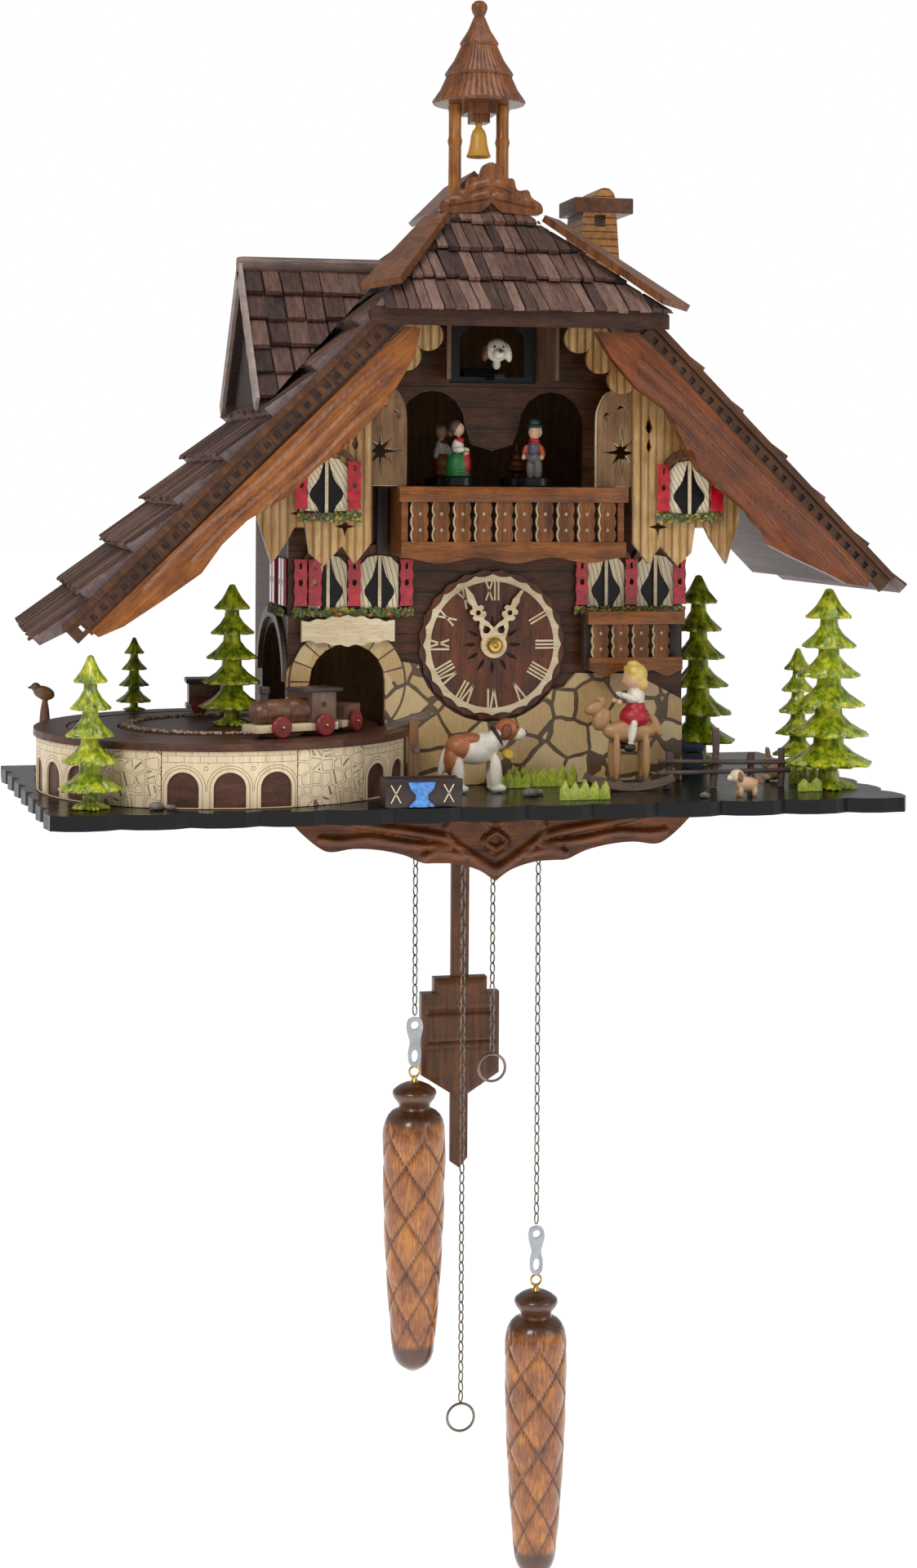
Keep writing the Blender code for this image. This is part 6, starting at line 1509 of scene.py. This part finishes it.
FIR_RESIN = surface("fir_resin", needle_resin, 0.0006, Coat_Weight=0.7, Coat_Roughness=0.06, Subsurface_Weight=0.35,
    Subsurface_Scale=0.004)


def fir(name, x, y, foot, height, radius, tiers, stands_for=()):
    """One closed skin: each ring of points is scalloped more the nearer it lies to a tier's rim."""
    random.seed(name)
    shape = bmesh.new()
    steps = 84
    rings = [(0.0, height, 0.0)]
    for tier in range(tiers):
        wide = radius * (0.42 + 0.58 * (tier + 1) / tiers)
        low, high = height * (1 - 0.88 * (tier + 1) / tiers), height * (1 - 0.88 * tier / tiers)
        drop = high - low
        for share, reach, wave in ((0.04, 0.16, 0.0), (0.3, 0.34, 0.04), (0.58, 0.55, 0.1), (0.82, 0.84, 0.16),
                (0.94, 1.0, 0.2), (1.02, 0.97, 0.2), (1.0, 0.66, 0.08), (0.94, 0.36, 0.0)):
            if tier and share == 0.04:
                continue
            rings.append((wide * reach, high - drop * share, wave))
    rings += [(radius * 0.22, height * 0.1, 0.0), (radius * 0.24, height * 0.05, 0.12), (radius * 0.62, 0.0008, 0.55),
        (radius * 0.6, 0.0, 0.55)]
    loops = []
    for number, (reach, level, wave) in enumerate(rings):
        if not reach:
            loops.append([shape.verts.new((x, y, foot + level))])
            continue
        lobes, phase = (9 if wave < 0.3 else 5), random.uniform(0, 6.28) if number % 7 == 2 else 0.7 * (number // 7)
        loop = []
        for i in range(steps):
            around = 2 * math.pi * i / steps
            bulge = abs(math.cos(lobes * around / 2 + phase))
            cut = 1 - wave * (1 - bulge) + wave * 0.15 * math.sin(23 * around + number)
            sag = -wave * 0.012 * height * bulge * (height / 0.08) * 0.3 if wave < 0.3 else 0
            loop.append(shape.verts.new((x + reach * cut * math.cos(around), y + reach * cut * math.sin(around),
                foot + max(level + sag, 0.0))))
        loops.append(loop)
    for upper, lower in zip(loops, loops[1:]):
        for i in range(steps):
            k = (i + 1) % steps
            corners = [upper[i % len(upper)], lower[i], lower[k], upper[k % len(upper)]]
            shape.faces.new([c for n, c in enumerate(corners) if c not in corners[:n]])
    shape.faces.new(loops[-1])
    bmesh.ops.recalc_face_normals(shape, faces=shape.faces)
    settle(name, shape, FIR_RESIN, "case", stands_for, 70)


plate_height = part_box("base_plate")[1].z
stand = plate_height + 0.0003
fir("fir_tiers_front_left", -0.2275, -0.2045, stand, 0.079, 0.0165, 5, ["fir_front_left"])
fir("fir_tiers_island", -0.144, -0.12, deck_height + 0.0003, 0.078, 0.0188, 5, ["fir_island"])
fir("fir_tiers_right", 0.182, -0.185, stand, 0.111, 0.025, 6, ["fir_right"])
fir("fir_small_deck", -0.19, -0.026, deck_height + 0.0003, 0.043, 0.0105, 4)
fir("fir_small_right", 0.195, -0.1, stand, 0.072, 0.015, 5)
fir("fir_dark_right", 0.146, -0.06, stand, 0.114, 0.023, 6)


# ---- figures on the plate --------------------------------------------------------------------------------
# Moulded and hand-painted: a big white and brown dog with its keg, a child on a rocking
# animal, a puppy, a rabbit and a bird post.
dog_place = Matrix.Translation((-0.016, -0.17, plate_height))
sculpt("bernard_figure", [((-1, 0, 23), (13.5, 7.4, 8.0), WHITE), ((-9, 0, 24.5), (8.5, 7.6, 7.4), "b06a3c"),
    ((4, 0, 25.5), (8.5, 7.2, 7.0), WHITE), ((-3, 0, 28.5), (8.0, 6.2, 4.0), "a9623a"),
    ((12, 0, 29), (6.0, 5.4, 6.2), WHITE), ((17.5, 0, 34.0), (7.0, 6.2, 6.2), "b06a3c"),
    ((23.0, -0.6, 31.6), (4.8, 3.9, 3.8), WHITE), ((19.8, 0, 36.6), (3.2, 1.6, 3.6), WHITE),
    ((27.2, -0.8, 32.8), (1.3, 1.5, 1.1), BLACK), ((15.6, -5.8, 33.0), (2.8, 1.7, 4.6), "7d4122", 12),
    ((15.6, 5.8, 33.0), (2.8, 1.7, 4.6), "7d4122", 12), ((21.4, -4.2, 35.4), (0.9, 0.8, 0.9), BLACK),
    ((21.4, 4.2, 35.4), (0.9, 0.8, 0.9), BLACK), ((11.5, 0, 30), (1.6, 6.2, 7.2), BLACK, -28),
    *[((u, v, 10), (3.6, 3.1, 11), WHITE) for u in (10, -11) for v in (-4.4, 4.4)],
    *[((u + 1.6, v, 2.3), (4.6, 3.2, 2.4), WHITE) for u in (10, -11) for v in (-4.4, 4.4)],
    ((-14, 0, 18), (4.4, 6.6, 8.5), "b06a3c"), ((-18.0, 1.0, 17), (2.4, 2.4, 9.5), WHITE, 14)], "case", dog_place,
    ["bernard_dog"], 0.6)
YELLOW_KEG = lacquer("keg_yellow", "d8b23a", "7a4a1c", 0.35)
keg = turned_part([(0.0016, 0.004), (0.0024, 0.0039), (0.0031, 0.0), (0.0024, -0.0039), (0.0016, -0.004)], (0, 0, 0),
    "Y", 24)
bmesh.ops.translate(keg, vec=(0.0015, -0.1702, plate_height + 0.0208), verts=keg.verts)
settle("dog_keg", keg, YELLOW_KEG, "case")

ROCK = (0.07, -0.173, -0.0181)
runner = bow(0, 0, 0.06, 0.06, 246, 294, 20) + bow(0, 0, 0.056, 0.056, 294, 246, 20)
RUNNER = wood("runner_wood", "8c7564", "57443a", "X", gloss=0.45)
runners = [board_shape([(ROCK[0] + u, ROCK[2] + v) for u, v in runner], y0, y0 + 0.0022)
    for y0 in (ROCK[1] - 0.0085, ROCK[1] + 0.0063)]
runners.append(block_shape(bmesh.new(), (ROCK[0] - 0.01, ROCK[1] - 0.0086, ROCK[2] - 0.056),
    (ROCK[0] - 0.0062, ROCK[1] + 0.0086, ROCK[2] - 0.0535)))
runners.append(block_shape(bmesh.new(), (ROCK[0] + 0.0062, ROCK[1] - 0.0086, ROCK[2] - 0.056),
    (ROCK[0] + 0.01, ROCK[1] + 0.0086, ROCK[2] - 0.0535)))
joined(runners, "rocker_runners", RUNNER, "rocker", ["rocking_child"])
TAN, BLOND = "b98a5a", "e6c46a"
child = [((0, 0, -28), (15.5, 6.2, 6.4), TAN), ((-16, 0, -21), (5.0, 4.2, 7.0), TAN, 25),
    ((-20, 0, -15), (6.2, 3.8, 3.8), TAN, -20), ((-16.4, -2.8, -11.5), (1.6, 1.2, 3.0), TAN),
    ((-16.4, 2.8, -11.5), (1.6, 1.2, 3.0), TAN), ((15.5, 0, -25), (2.4, 2.0, 7.0), TAN, -25),
    *[((u, v, -42), (2.5, 2.2, 13), TAN) for u in (-8.5, 8.5) for v in (-4.6, 4.6)],
    ((3, 0, -20), (8.6, 8.2, 6.6), RED), ((3.5, 0, -15), (5.6, 5.8, 5.0), RED),
    ((3.5, 0, -9.2), (5.2, 5.0, 6.4), WHITE), ((-1.5, -5.4, -9.0), (5.4, 1.8, 1.9), WHITE, 22),
    ((-1.5, 5.4, -9.0), (5.4, 1.8, 1.9), WHITE, 22), ((-7.2, -5.0, -11.4), (1.8, 1.6, 1.6), SKIN),
    ((-7.2, 5.0, -11.4), (1.8, 1.6, 1.6), SKIN), ((0, -7.0, -28), (2.2, 2.0, 7.6), WHITE, 10),
    ((0, 7.0, -28), (2.2, 2.0, 7.6), WHITE, 10), ((-1.8, -7.2, -36.5), (3.6, 2.3, 2.3), BLACK),
    ((-1.8, 7.2, -36.5), (3.6, 2.3, 2.3), BLACK), ((2.0, 0, 1.2), (5.8, 5.6, 6.2), SKIN),
    ((3.6, 0, 3.4), (6.6, 6.6, 6.4), BLOND), ((6.6, -3.2, -1.6), (3.2, 3.2, 3.8), BLOND),
    ((6.6, 3.2, -1.6), (3.2, 3.2, 3.8), BLOND), ((1.0, -4.8, 5.8), (3.0, 2.6, 2.8), BLOND),
    ((1.0, 4.8, 5.8), (3.0, 2.6, 2.8), BLOND), ((2.0, -0.4, 9.0), (3.6, 3.4, 2.2), BLOND),
    ((-3.6, 0, -0.2), (0.9, 0.8, 0.9), SKIN)]
sculpt("rocking_rider", child, "rocker", Matrix.Translation(ROCK), (), 0.55)
sculpt("puppy", [((0, 0, 6.4), (6.4, 4.0, 4.2), "d9b48a"), ((-5.6, 0, 11), (4.2, 3.6, 3.8), "e8d6b8"),
    ((-9.4, 0, 10), (2.2, 1.9, 1.8), WHITE), ((-11.2, 0, 10.6), (0.8, 0.8, 0.7), BLACK),
    ((-4.6, -3.4, 11), (1.6, 1.0, 2.8), "9c6238"), ((-4.6, 3.4, 11), (1.6, 1.0, 2.8), "9c6238"),
    *[((u, v, 2.6), (1.6, 1.5, 3.2), "d9b48a") for u in (-4, 4) for v in (-2.2, 2.2)],
    ((7.0, 0, 8.4), (1.2, 1.1, 3.0), "9c6238", -30)], "case", Matrix.Translation((0.125, -0.212, plate_height)), (),
    0.45)
sculpt("rabbit", [((0, 0, 5.4), (5.6, 4.0, 5.0), "a98a6a"), ((-4.2, 0, 10.2), (3.4, 2.9, 3.1), "b99a7a"),
    ((-3.4, -1.5, 15.5), (1.1, 0.9, 4.2), "a98a6a", -8), ((-3.4, 1.5, 15.5), (1.1, 0.9, 4.2), "a98a6a", -8),
    ((-3.6, 0, 2.2), (3.0, 3.2, 2.3), "c9b090"), ((5.4, 0, 4.6), (1.7, 1.7, 1.7), WHITE)], "case",
    Matrix.Translation((0.163, -0.148, plate_height)), (), 0.45)
sculpt("bird_post", [((0, 0, 22), (3.4, 3.4, 23), "6e4a2a"), ((0, 0, 3), (6.0, 6.0, 3.2), "59401f"),
    ((-0.5, 0, 47), (6.4, 3.2, 4.0), "74502c", 18), ((-5.2, 0, 50.5), (2.8, 2.4, 2.6), "5f4024"),
    ((-8.4, 0, 50.2), (1.6, 0.9, 0.8), "3a2716")], "case", Matrix.Translation((-0.243, -0.05, plate_height)), (), 0.6)
sculpt("seated_figure", [((0, 0, 7), (7.6, 7.6, 7.0), "e3cf8e"), ((0, 0, 16), (5.0, 4.4, 6.0), "d8c9a0"),
    ((0, 0, 24), (3.6, 3.5, 3.9), SKIN), ((0, 0.6, 26.4), (4.2, 4.2, 2.4), "8f5a2c")], "case",
    Matrix.Translation((-0.222, -0.028, plate_height)), (), 0.6)


# ---- fountain, fence and planting --------------------------------------------------------------------------
# A dark trough nailed of boards, with blue resin water running over its lip from a spout, a
# rustic fence of split sticks, and clumps of dyed grass glued to the plate.
STICK = wood("stick_wood", "8a6038", "4a2e1a", "Z", gloss=0.55, bump=0.0004)
GREY_STICK = wood("grey_stick", "7a655c", "45362f", "X", gloss=0.6, bump=0.0004)
trough = [block_shape(bmesh.new(), low, high, soften=0.0004) for low, high in (((-0.0775, -0.23, stand),
    (-0.0365, -0.2276, stand + 0.0145)), ((-0.0775, -0.2154, stand), (-0.0365, -0.213, stand + 0.0145)),
    ((-0.0775, -0.2278, stand), (-0.075, -0.2152, stand + 0.014)), ((-0.039, -0.2278, stand),
    (-0.0365, -0.2152, stand + 0.014)), ((-0.0772, -0.2296, stand), (-0.0368, -0.2134, stand + 0.003)))]
joined(trough, "trough_boards", TRAIN_DARK, "case", ["fountain"])
lines = []
for x in (-0.072, -0.044):
    for lean in (-1, 1):
        start, end = Vector((x - lean * 0.0026, stand + 0.0025)), Vector((x + lean * 0.0026, stand + 0.0118))
        cross = (end - start).normalized().orthogonal() * 0.0003
        lines.append(board_shape([start + cross, end + cross, end - cross, start - cross], -0.2304, -0.2299))
joined(lines, "trough_crosses", PALE_MAPLE, "case")
post = block_shape(bmesh.new(), (-0.062, -0.2145, stand), (-0.057, -0.2096, stand + 0.044), soften=0.0007)
settle("spout_post", post, STICK, "case")
arm = block_shape(bmesh.new(), (-0.015, -0.0021, -0.0018), (0.01, 0.0021, 0.0018),
    Matrix.Rotation(math.radians(-17), 3, "Y"), (-0.06, -0.212, stand + 0.0445), 0.0006)
pipe = turned_part([(0.0014, 0.011), (0.0018, 0.01), (0.0018, 0.0)], (0, 0, 0), "Y", 16)
bmesh.ops.translate(pipe, vec=(-0.0595, -0.212, stand + 0.029), verts=pipe.verts)
joined([arm, pipe], "spout_arm", GREY_STICK, "case")
WATER = cast_resin("blue_water", "5aa0e6", "1f5fb0", 0.08, 500.0, 0.1)
spill = block_shape(bmesh.new(), (-0.0749, -0.2277, stand + 0.01), (-0.0391, -0.2153, stand + 0.012))
fall_half = [(0.0072, stand + 0.0132), (0.006, stand + 0.0096), (0.003, stand + 0.0066), (0.0034, stand + 0.004),
    (0.0062, stand + 0.0014), (0.0066, stand + 0.0004)]
fall = [(-0.0585 + u, v) for u, v in fall_half] + [(-0.0585 - u, v) for u, v in reversed(fall_half)]
joined([spill, board_shape(fall, -0.2318, -0.228, step=0.0009, carve=ridges([([(-0.0585, stand),
    (-0.0585, stand + 0.013)], 0.0035, 0.0007)]))], "blue_water", WATER, "case")


def stick(shape, start, end, thick):
    """A slightly bent round stick between two points."""
    start, end = Vector(start), Vector(end)
    run = end - start
    aim = run.to_track_quat("Z", "Y").to_matrix()
    rings = []
    for k in range(6):
        share = k / 5
        reach = thick * (1 + 0.1 * math.sin(share * 9 + start.x * 900))
        bend = Vector((math.sin(share * 5 + start.x * 700), math.cos(share * 4), 0)) * thick * 0.2
        rings.append([shape.verts.new(start + run * share + aim @ (bend + Vector((reach * math.cos(t * math.pi / 4),
            reach * math.sin(t * math.pi / 4), 0)))) for t in range(8)])
    for low, high in zip(rings, rings[1:]):
        for t in range(8):
            shape.faces.new((low[t], low[(t + 1) % 8], high[(t + 1) % 8], high[t]))
    shape.faces.new(rings[0][::-1])
    shape.faces.new(rings[-1])
    return shape


fence = bmesh.new()
for x, tall in ((0.092, 0.02), (0.119, 0.033), (0.14, 0.019), (0.158, 0.021)):
    stick(fence, (x, -0.174, stand), (x + 0.001, -0.173, stand + tall), 0.0021)
for level, drop in ((0.0085, 0.001), (0.015, -0.0012)):
    stick(fence, (0.086, -0.1765, stand + level), (0.163, -0.176, stand + level + drop), 0.0013)
bmesh.ops.recalc_face_normals(fence, faces=fence.faces)
settle("stick_fence", fence, GREY_STICK, "case")


GRASS = cast_resin("grass_resin", "c6d045", "7f9a2a", 0.25, 500.0, 0.2)
random.seed(8)
for number, (x, y, wide, tall) in enumerate(((0.026, -0.154, 0.04, 0.0125), (0.034, -0.214, 0.028, 0.011),
        (0.008, -0.158, 0.02, 0.0105), (0.166, -0.2, 0.014, 0.008), (0.182, -0.164, 0.03, 0.01))):
    teeth = round(wide / 0.0056)
    points = [(x - wide / 2, stand), (x + wide / 2, stand)]
    for k in range(teeth, 0, -1):
        points += [(x - wide / 2 + wide * k / teeth - 0.0002, stand + tall * random.uniform(0.42, 0.58)),
            (x - wide / 2 + wide * (k - 0.5) / teeth, stand + tall * random.uniform(0.86, 1.0))]
    points.append((x - wide / 2, stand + tall * 0.45))
    spines = [([(x - wide / 2 + wide * (k + 0.5) / teeth, stand), (x - wide / 2 + wide * (k + 0.5) / teeth,
        stand + tall)], 0.0026, 0.0008) for k in range(teeth)]
    settle(f"grass_strip_{number}", board_shape(points, y, y + 0.0018, step=0.0009, carve=ridges(spines)), GRASS,
        "case")
crate = [block_shape(bmesh.new(), (0.112, -0.096, stand + 0.0055 * k), (0.138, -0.083, stand + 0.0055 * k + 0.0048),
    soften=0.0005) for k in range(3)]
joined(crate, "crate", wood("crate_blue", "3d5468", "1c2a35", "X", gloss=0.5), "case")
stones = []
random.seed(5)
for x, y, size in ((0.009, -0.192, 0.0042), (0.015, -0.188, 0.0028), (-0.194, -0.214, 0.004),
        (-0.187, -0.216, 0.0026), (0.1, -0.216, 0.003)):
    shape = bmesh.new()
    made = bmesh.ops.create_icosphere(shape, subdivisions=3, radius=size)["verts"]
    for vert in made:
        vert.co = Vector((vert.co.x, vert.co.y * 0.8, max(vert.co.z * 0.62, -size * 0.35))) * (1 + 0.1
            * math.sin(vert.co.x * 1900 + size * 9000) * math.cos(vert.co.y * 1500))
    bmesh.ops.translate(shape, vec=(x, y, stand + size * 0.35), verts=made)
    stones.append(shape)
joined(stones, "pebbles", speckled("pebble_grey", ("8d857b", "6b6259", "b3aa9c"), 300.0, 0.7), "case")


# ---- pendulum ------------------------------------------------------------------------------------------------
# A walnut rod behind a bevelled leaf of stacked blocks, with carved pairs of lines.
LEAF_WOOD = wood("pendulum_walnut", "7d4a26", "38200f", "Z", gloss=0.36, coat=0.35)
LEAF_Y = -0.058
rod_shape = board_shape([(-0.0055, -0.3105), (0.0, -0.3145), (0.005, -0.3085), (0.0055, -0.024), (-0.0055, -0.024)],
    LEAF_Y - 0.0015, LEAF_Y + 0.0015, [bow(0, -0.03, 0.0013, 0.0013, 0, 330, 11)])
settle("pendulum_rod", rod_shape, LEAF_WOOD, "pendulum_body", ["pendulum"])


def leaf_relief(u, v):
    """Bevels round the blocks and two pairs of carved lines."""
    side = np.where(v > -0.2105, 0.016, 0.0235)
    edge = np.minimum(side - np.abs(u), np.abs(v + 0.2015))
    edge = np.where(v < -0.2585, np.minimum(edge, (0.0235 * (v + 0.2735) / 0.015 - np.abs(u)) * 0.55), edge)
    rise = np.clip(edge / 0.003, 0, 1) * 0.0014
    for line in (-0.2195, -0.2225, -0.2395, -0.2425):
        rise -= 0.0011 * np.exp(-(((v - line) / 0.0005) ** 2)) * (np.abs(u) < 0.0205)
    return rise + 0.0008 * np.exp(-(((np.abs(u) - 0.0125) / 0.0006) ** 2)) * (v < -0.2425)


leaf_half = [(0.016, -0.2015), (0.016, -0.2105), (0.0235, -0.2105), (0.0235, -0.2585), (0.0, -0.2735)]
leaf_outline = leaf_half + [(-u, v) for u, v in reversed(leaf_half[:-1])]
settle("pendulum_leaf", board_shape(leaf_outline, LEAF_Y - 0.003, LEAF_Y + 0.004, step=0.0014, carve=leaf_relief),
    LEAF_WOOD, "pendulum_body", sharp=60)
paint_node("hanger_frame", LEAF_WOOD)


# ---- chains, hooks and cone weights -----------------------------------------------------------------------------
# Open links of dark nickelled wire; a flat zinc hook joins each to the eye of a cast cone,
# whose golden body is grooved in diamonds between a dark knob and a dark foot.
def link_growth():
    """A chain down from the origin: oval links, each turned a quarter against the last."""
    g = Growth("chain_links", {"Count": "Int", "Pitch": "Float", "Wire": "Float", "Width": "Float"})
    line = g.add("GeometryNodeMeshLine", None, {"Count": g.given("Count"),
        "Offset": g.vector(0.0, 0.0, g.given("Pitch") * -1.0)})
    path = g.add("GeometryNodeCurvePrimitiveCircle", None, {"Resolution": 12, "Radius": 1.0})
    oval = g.add("GeometryNodeTransform", None, {"Geometry": path, "Rotation": (math.pi / 2, 0.0, 0.0),
        "Scale": g.vector(g.given("Width"), g.given("Pitch") * 0.5 + g.given("Wire") * 0.6, 1.0)})
    wire = g.add("GeometryNodeCurvePrimitiveCircle", None, {"Resolution": 6, "Radius": g.given("Wire")})
    link = g.add("GeometryNodeCurveToMesh", None, {"Curve": oval, "Profile Curve": wire})
    spot = g.add("GeometryNodeInputIndex")
    quarter = (spot % 2.0) * (math.pi / 2)
    g.close(g.add("GeometryNodeInstanceOnPoints", None, {"Points": line, "Instance": link,
        "Rotation": g.vector(0.0, 0.0, quarter + 0.6)}))
    return g


NICKEL = metal("dark_nickel", "8f8579", "3d342c", 0.3)
ZINC = metal("zinc", "b9bcc0", "6f7276", 0.35)
LINKS = link_growth()
CHAIN_Y, CHAIN_TOP, PITCH = -0.09, -0.0786, 0.0058


def chain(name, body, x, foot, stands_for):
    count = round((CHAIN_TOP - foot) / PITCH)
    place = Matrix.Translation((x, CHAIN_Y, CHAIN_TOP - PITCH * 0.5 - 0.0004))
    LINKS.grow(name, grower, {"Count": count, "Pitch": (CHAIN_TOP - foot - 0.0012) / count, "Wire": 0.00046,
        "Width": 0.0016}, NICKEL, body, "nickel", place, stands_for)


CONE_BODY = [(0.0, -0.01), (0.0052, -0.0105), (0.009, -0.0122), (0.0122, -0.0146), (0.0128, -0.0165),
    (0.0118, -0.019), (0.0094, -0.022), (0.0088, -0.0238), (0.0094, -0.0252), (0.0128, -0.0268), (0.015, -0.029),
    (0.0166, -0.032), (0.0176, -0.036), (0.018, -0.04)]
CONE_BODY += [(0.018 * (1 - 0.34 * share ** 2.2), -0.04 - 0.125 * share) for share in [i / 60 for i in range(1, 61)]]
CONE_BODY += [(0.0106, -0.169), (0.009, -0.1715), (0.0066, -0.1735), (0.0036, -0.1755), (0.0, -0.1762)]


def wire_ring(x, z, reach, wire, count):
    """A closed ring of round wire about the point (x, z) in the plane of the chains."""
    ring = bmesh.new()
    for i in range(count):
        around = 2 * math.pi * i / count
        for j in range(8):
            turn_by = 2 * math.pi * j / 8
            out = reach + wire * math.cos(turn_by)
            ring.verts.new((x + out * math.cos(around), CHAIN_Y + wire * math.sin(turn_by),
                z + out * math.sin(around)))
    ring.verts.ensure_lookup_table()
    spots = ring.verts
    for i in range(count):
        k = (i + 1) % count
        for j in range(8):
            m = (j + 1) % 8
            ring.faces.new([spots[i * 8 + j], spots[k * 8 + j], spots[k * 8 + m], spots[i * 8 + m]])
    return ring


def cone_finish(name, top):
    def make(graph, place):
        grain = graph.grained(place, "Z", stretch=7.0)
        fibre = graph.noise(grain, 900.0, 4.0, 0.6)
        blotch = graph.noise(place, 70.0, 3.0)
        colour = graph.ramp(fibre * 0.5 + blotch * 0.5, (0.36, tint("6a3410")), (0.5, tint("a05a18")),
            (0.64, tint("cd842c")))
        # Painted shade: the grooves are darkened by their depth, read from the 'cut' layer of the cone's points.
        cut = graph.add("ShaderNodeAttribute", {"attribute_name": "cut"}, out="Fac")
        colour = graph.mix(cut * 0.85, colour, tint("361606"))
        level = graph.split(place)[2]
        dark = ((level - (top - 0.034)) * 260.0).higher(0.0).lower(1.0)
        foot = (((top - 0.158) - level) * 300.0).higher(0.0).lower(1.0)
        return {"Base Color": graph.mix(dark.higher(foot) * 0.85, colour, tint("3a1c0c")),
            "Roughness": fibre * 0.25 + 0.26, "Height": fibre + blotch}
    return surface(name, make, 0.00015, Coat_Weight=0.8, Coat_Roughness=0.12)


def cone(name, body, x, hook, node, twist):
    """Diamond grooves: two families of helices cut into the golden part, scales standing out between."""
    start = hook - 0.0275 - 0.0003
    shape = bmesh.new()
    steps = 160
    # Each point keeps its groove depth, which the finish paints dark as shade in the grooves.
    groove_shade = shape.verts.layers.float.new("cut")
    rings = []
    for radius, level in CONE_BODY:
        if radius < 1e-6:
            rings.append([shape.verts.new((0, 0, level))])
            continue
        ring = []
        shown = min(max((-level - 0.031) / 0.004, 0), 1) * min(max((0.163 + level) / 0.004, 0), 1)
        for i in range(steps):
            around = 2 * math.pi * i / steps
            one = abs(math.sin(2.5 * around + (level + 0.04) * 104 + twist))
            two = abs(math.sin(2.5 * around - (level + 0.04) * 104 + twist))
            groove = math.exp(-(min(one, two) / 0.12) ** 2)
            reach = radius * (1 - shown * (0.075 * groove + 0.012)) * (1 + shown * 0.03 * one * two)
            ring.append(shape.verts.new((reach * math.cos(around), reach * math.sin(around), level)))
            ring[-1][groove_shade] = shown * groove
        rings.append(ring)
    for upper, lower in zip(rings, rings[1:]):
        for i in range(steps):
            k = (i + 1) % steps
            corners = [upper[i % len(upper)], lower[i % len(lower)], lower[k % len(lower)], upper[k % len(upper)]]
            shape.faces.new([c for n, c in enumerate(corners) if c not in corners[:n]])
    bmesh.ops.translate(shape, vec=(x, CHAIN_Y, start), verts=shape.verts)
    bmesh.ops.recalc_face_normals(shape, faces=shape.faces)
    settle(name, shape, cone_finish(f"{name}_finish", start), body, [node], 40)
    ring = wire_ring(x, start - 0.0042, 0.003, 0.0007, 20)
    lathe(None, [(0.001, -0.0066), (0.0014, -0.008), (0.0022, -0.0098), (0.003, -0.0108)], None, None,
        (x, CHAIN_Y, start), steps=16, keep=ring)
    bmesh.ops.recalc_face_normals(ring, faces=ring.faces)
    settle(f"{name}_eye", ring, BRASS, body)


def hook_plate(name, body, x, top):
    """A flat S-shaped hook with a round hole at each end."""
    half = smooth_line([(0.0, 0.0), (0.0036, -0.0014), (0.0048, -0.0058), (0.0038, -0.011), (0.0028, -0.015),
        (0.0038, -0.0205), (0.0032, -0.0266), (0.0, -0.029)], 4)
    outline = [(x + u, top + v) for u, v in half] + [(x - u, top + v) for u, v in reversed(half[1:-1])]
    holes = [bow(x, top - 0.0048, 0.0023, 0.0023, 0, 342, 19), bow(x, top - 0.0226, 0.0019, 0.0036, 0, 342, 19)]
    settle(name, board_shape(outline, CHAIN_Y - 0.0007, CHAIN_Y + 0.0007, holes), ZINC, body)


for side, x, hook in (("left", -0.0333, -0.217), ("right", 0.0397, -0.3416)):
    chain(f"links_{side}", f"weight_{side}", x, hook, [f"weight_chain_{side}"])
    hook_plate(f"hook_{side}", f"weight_{side}", x, hook - 0.0005)
    cone(f"cone_{side}", f"weight_{side}", x, hook, f"cone_weight_{side}", 0.4 if side == "left" else 1.1)
for name, x, foot in (("long", -0.005, -0.4421), ("short", 0.0125, -0.2405)):
    chain(f"links_{name}", f"pull_{name}", x, foot, [f"pull_chain_{name}"])
    ring = wire_ring(x, foot - 0.0083, 0.0079, 0.0008, 36)
    bmesh.ops.recalc_face_normals(ring, faces=ring.faces)
    settle(f"ring_{name}", ring, NICKEL, f"pull_{name}")
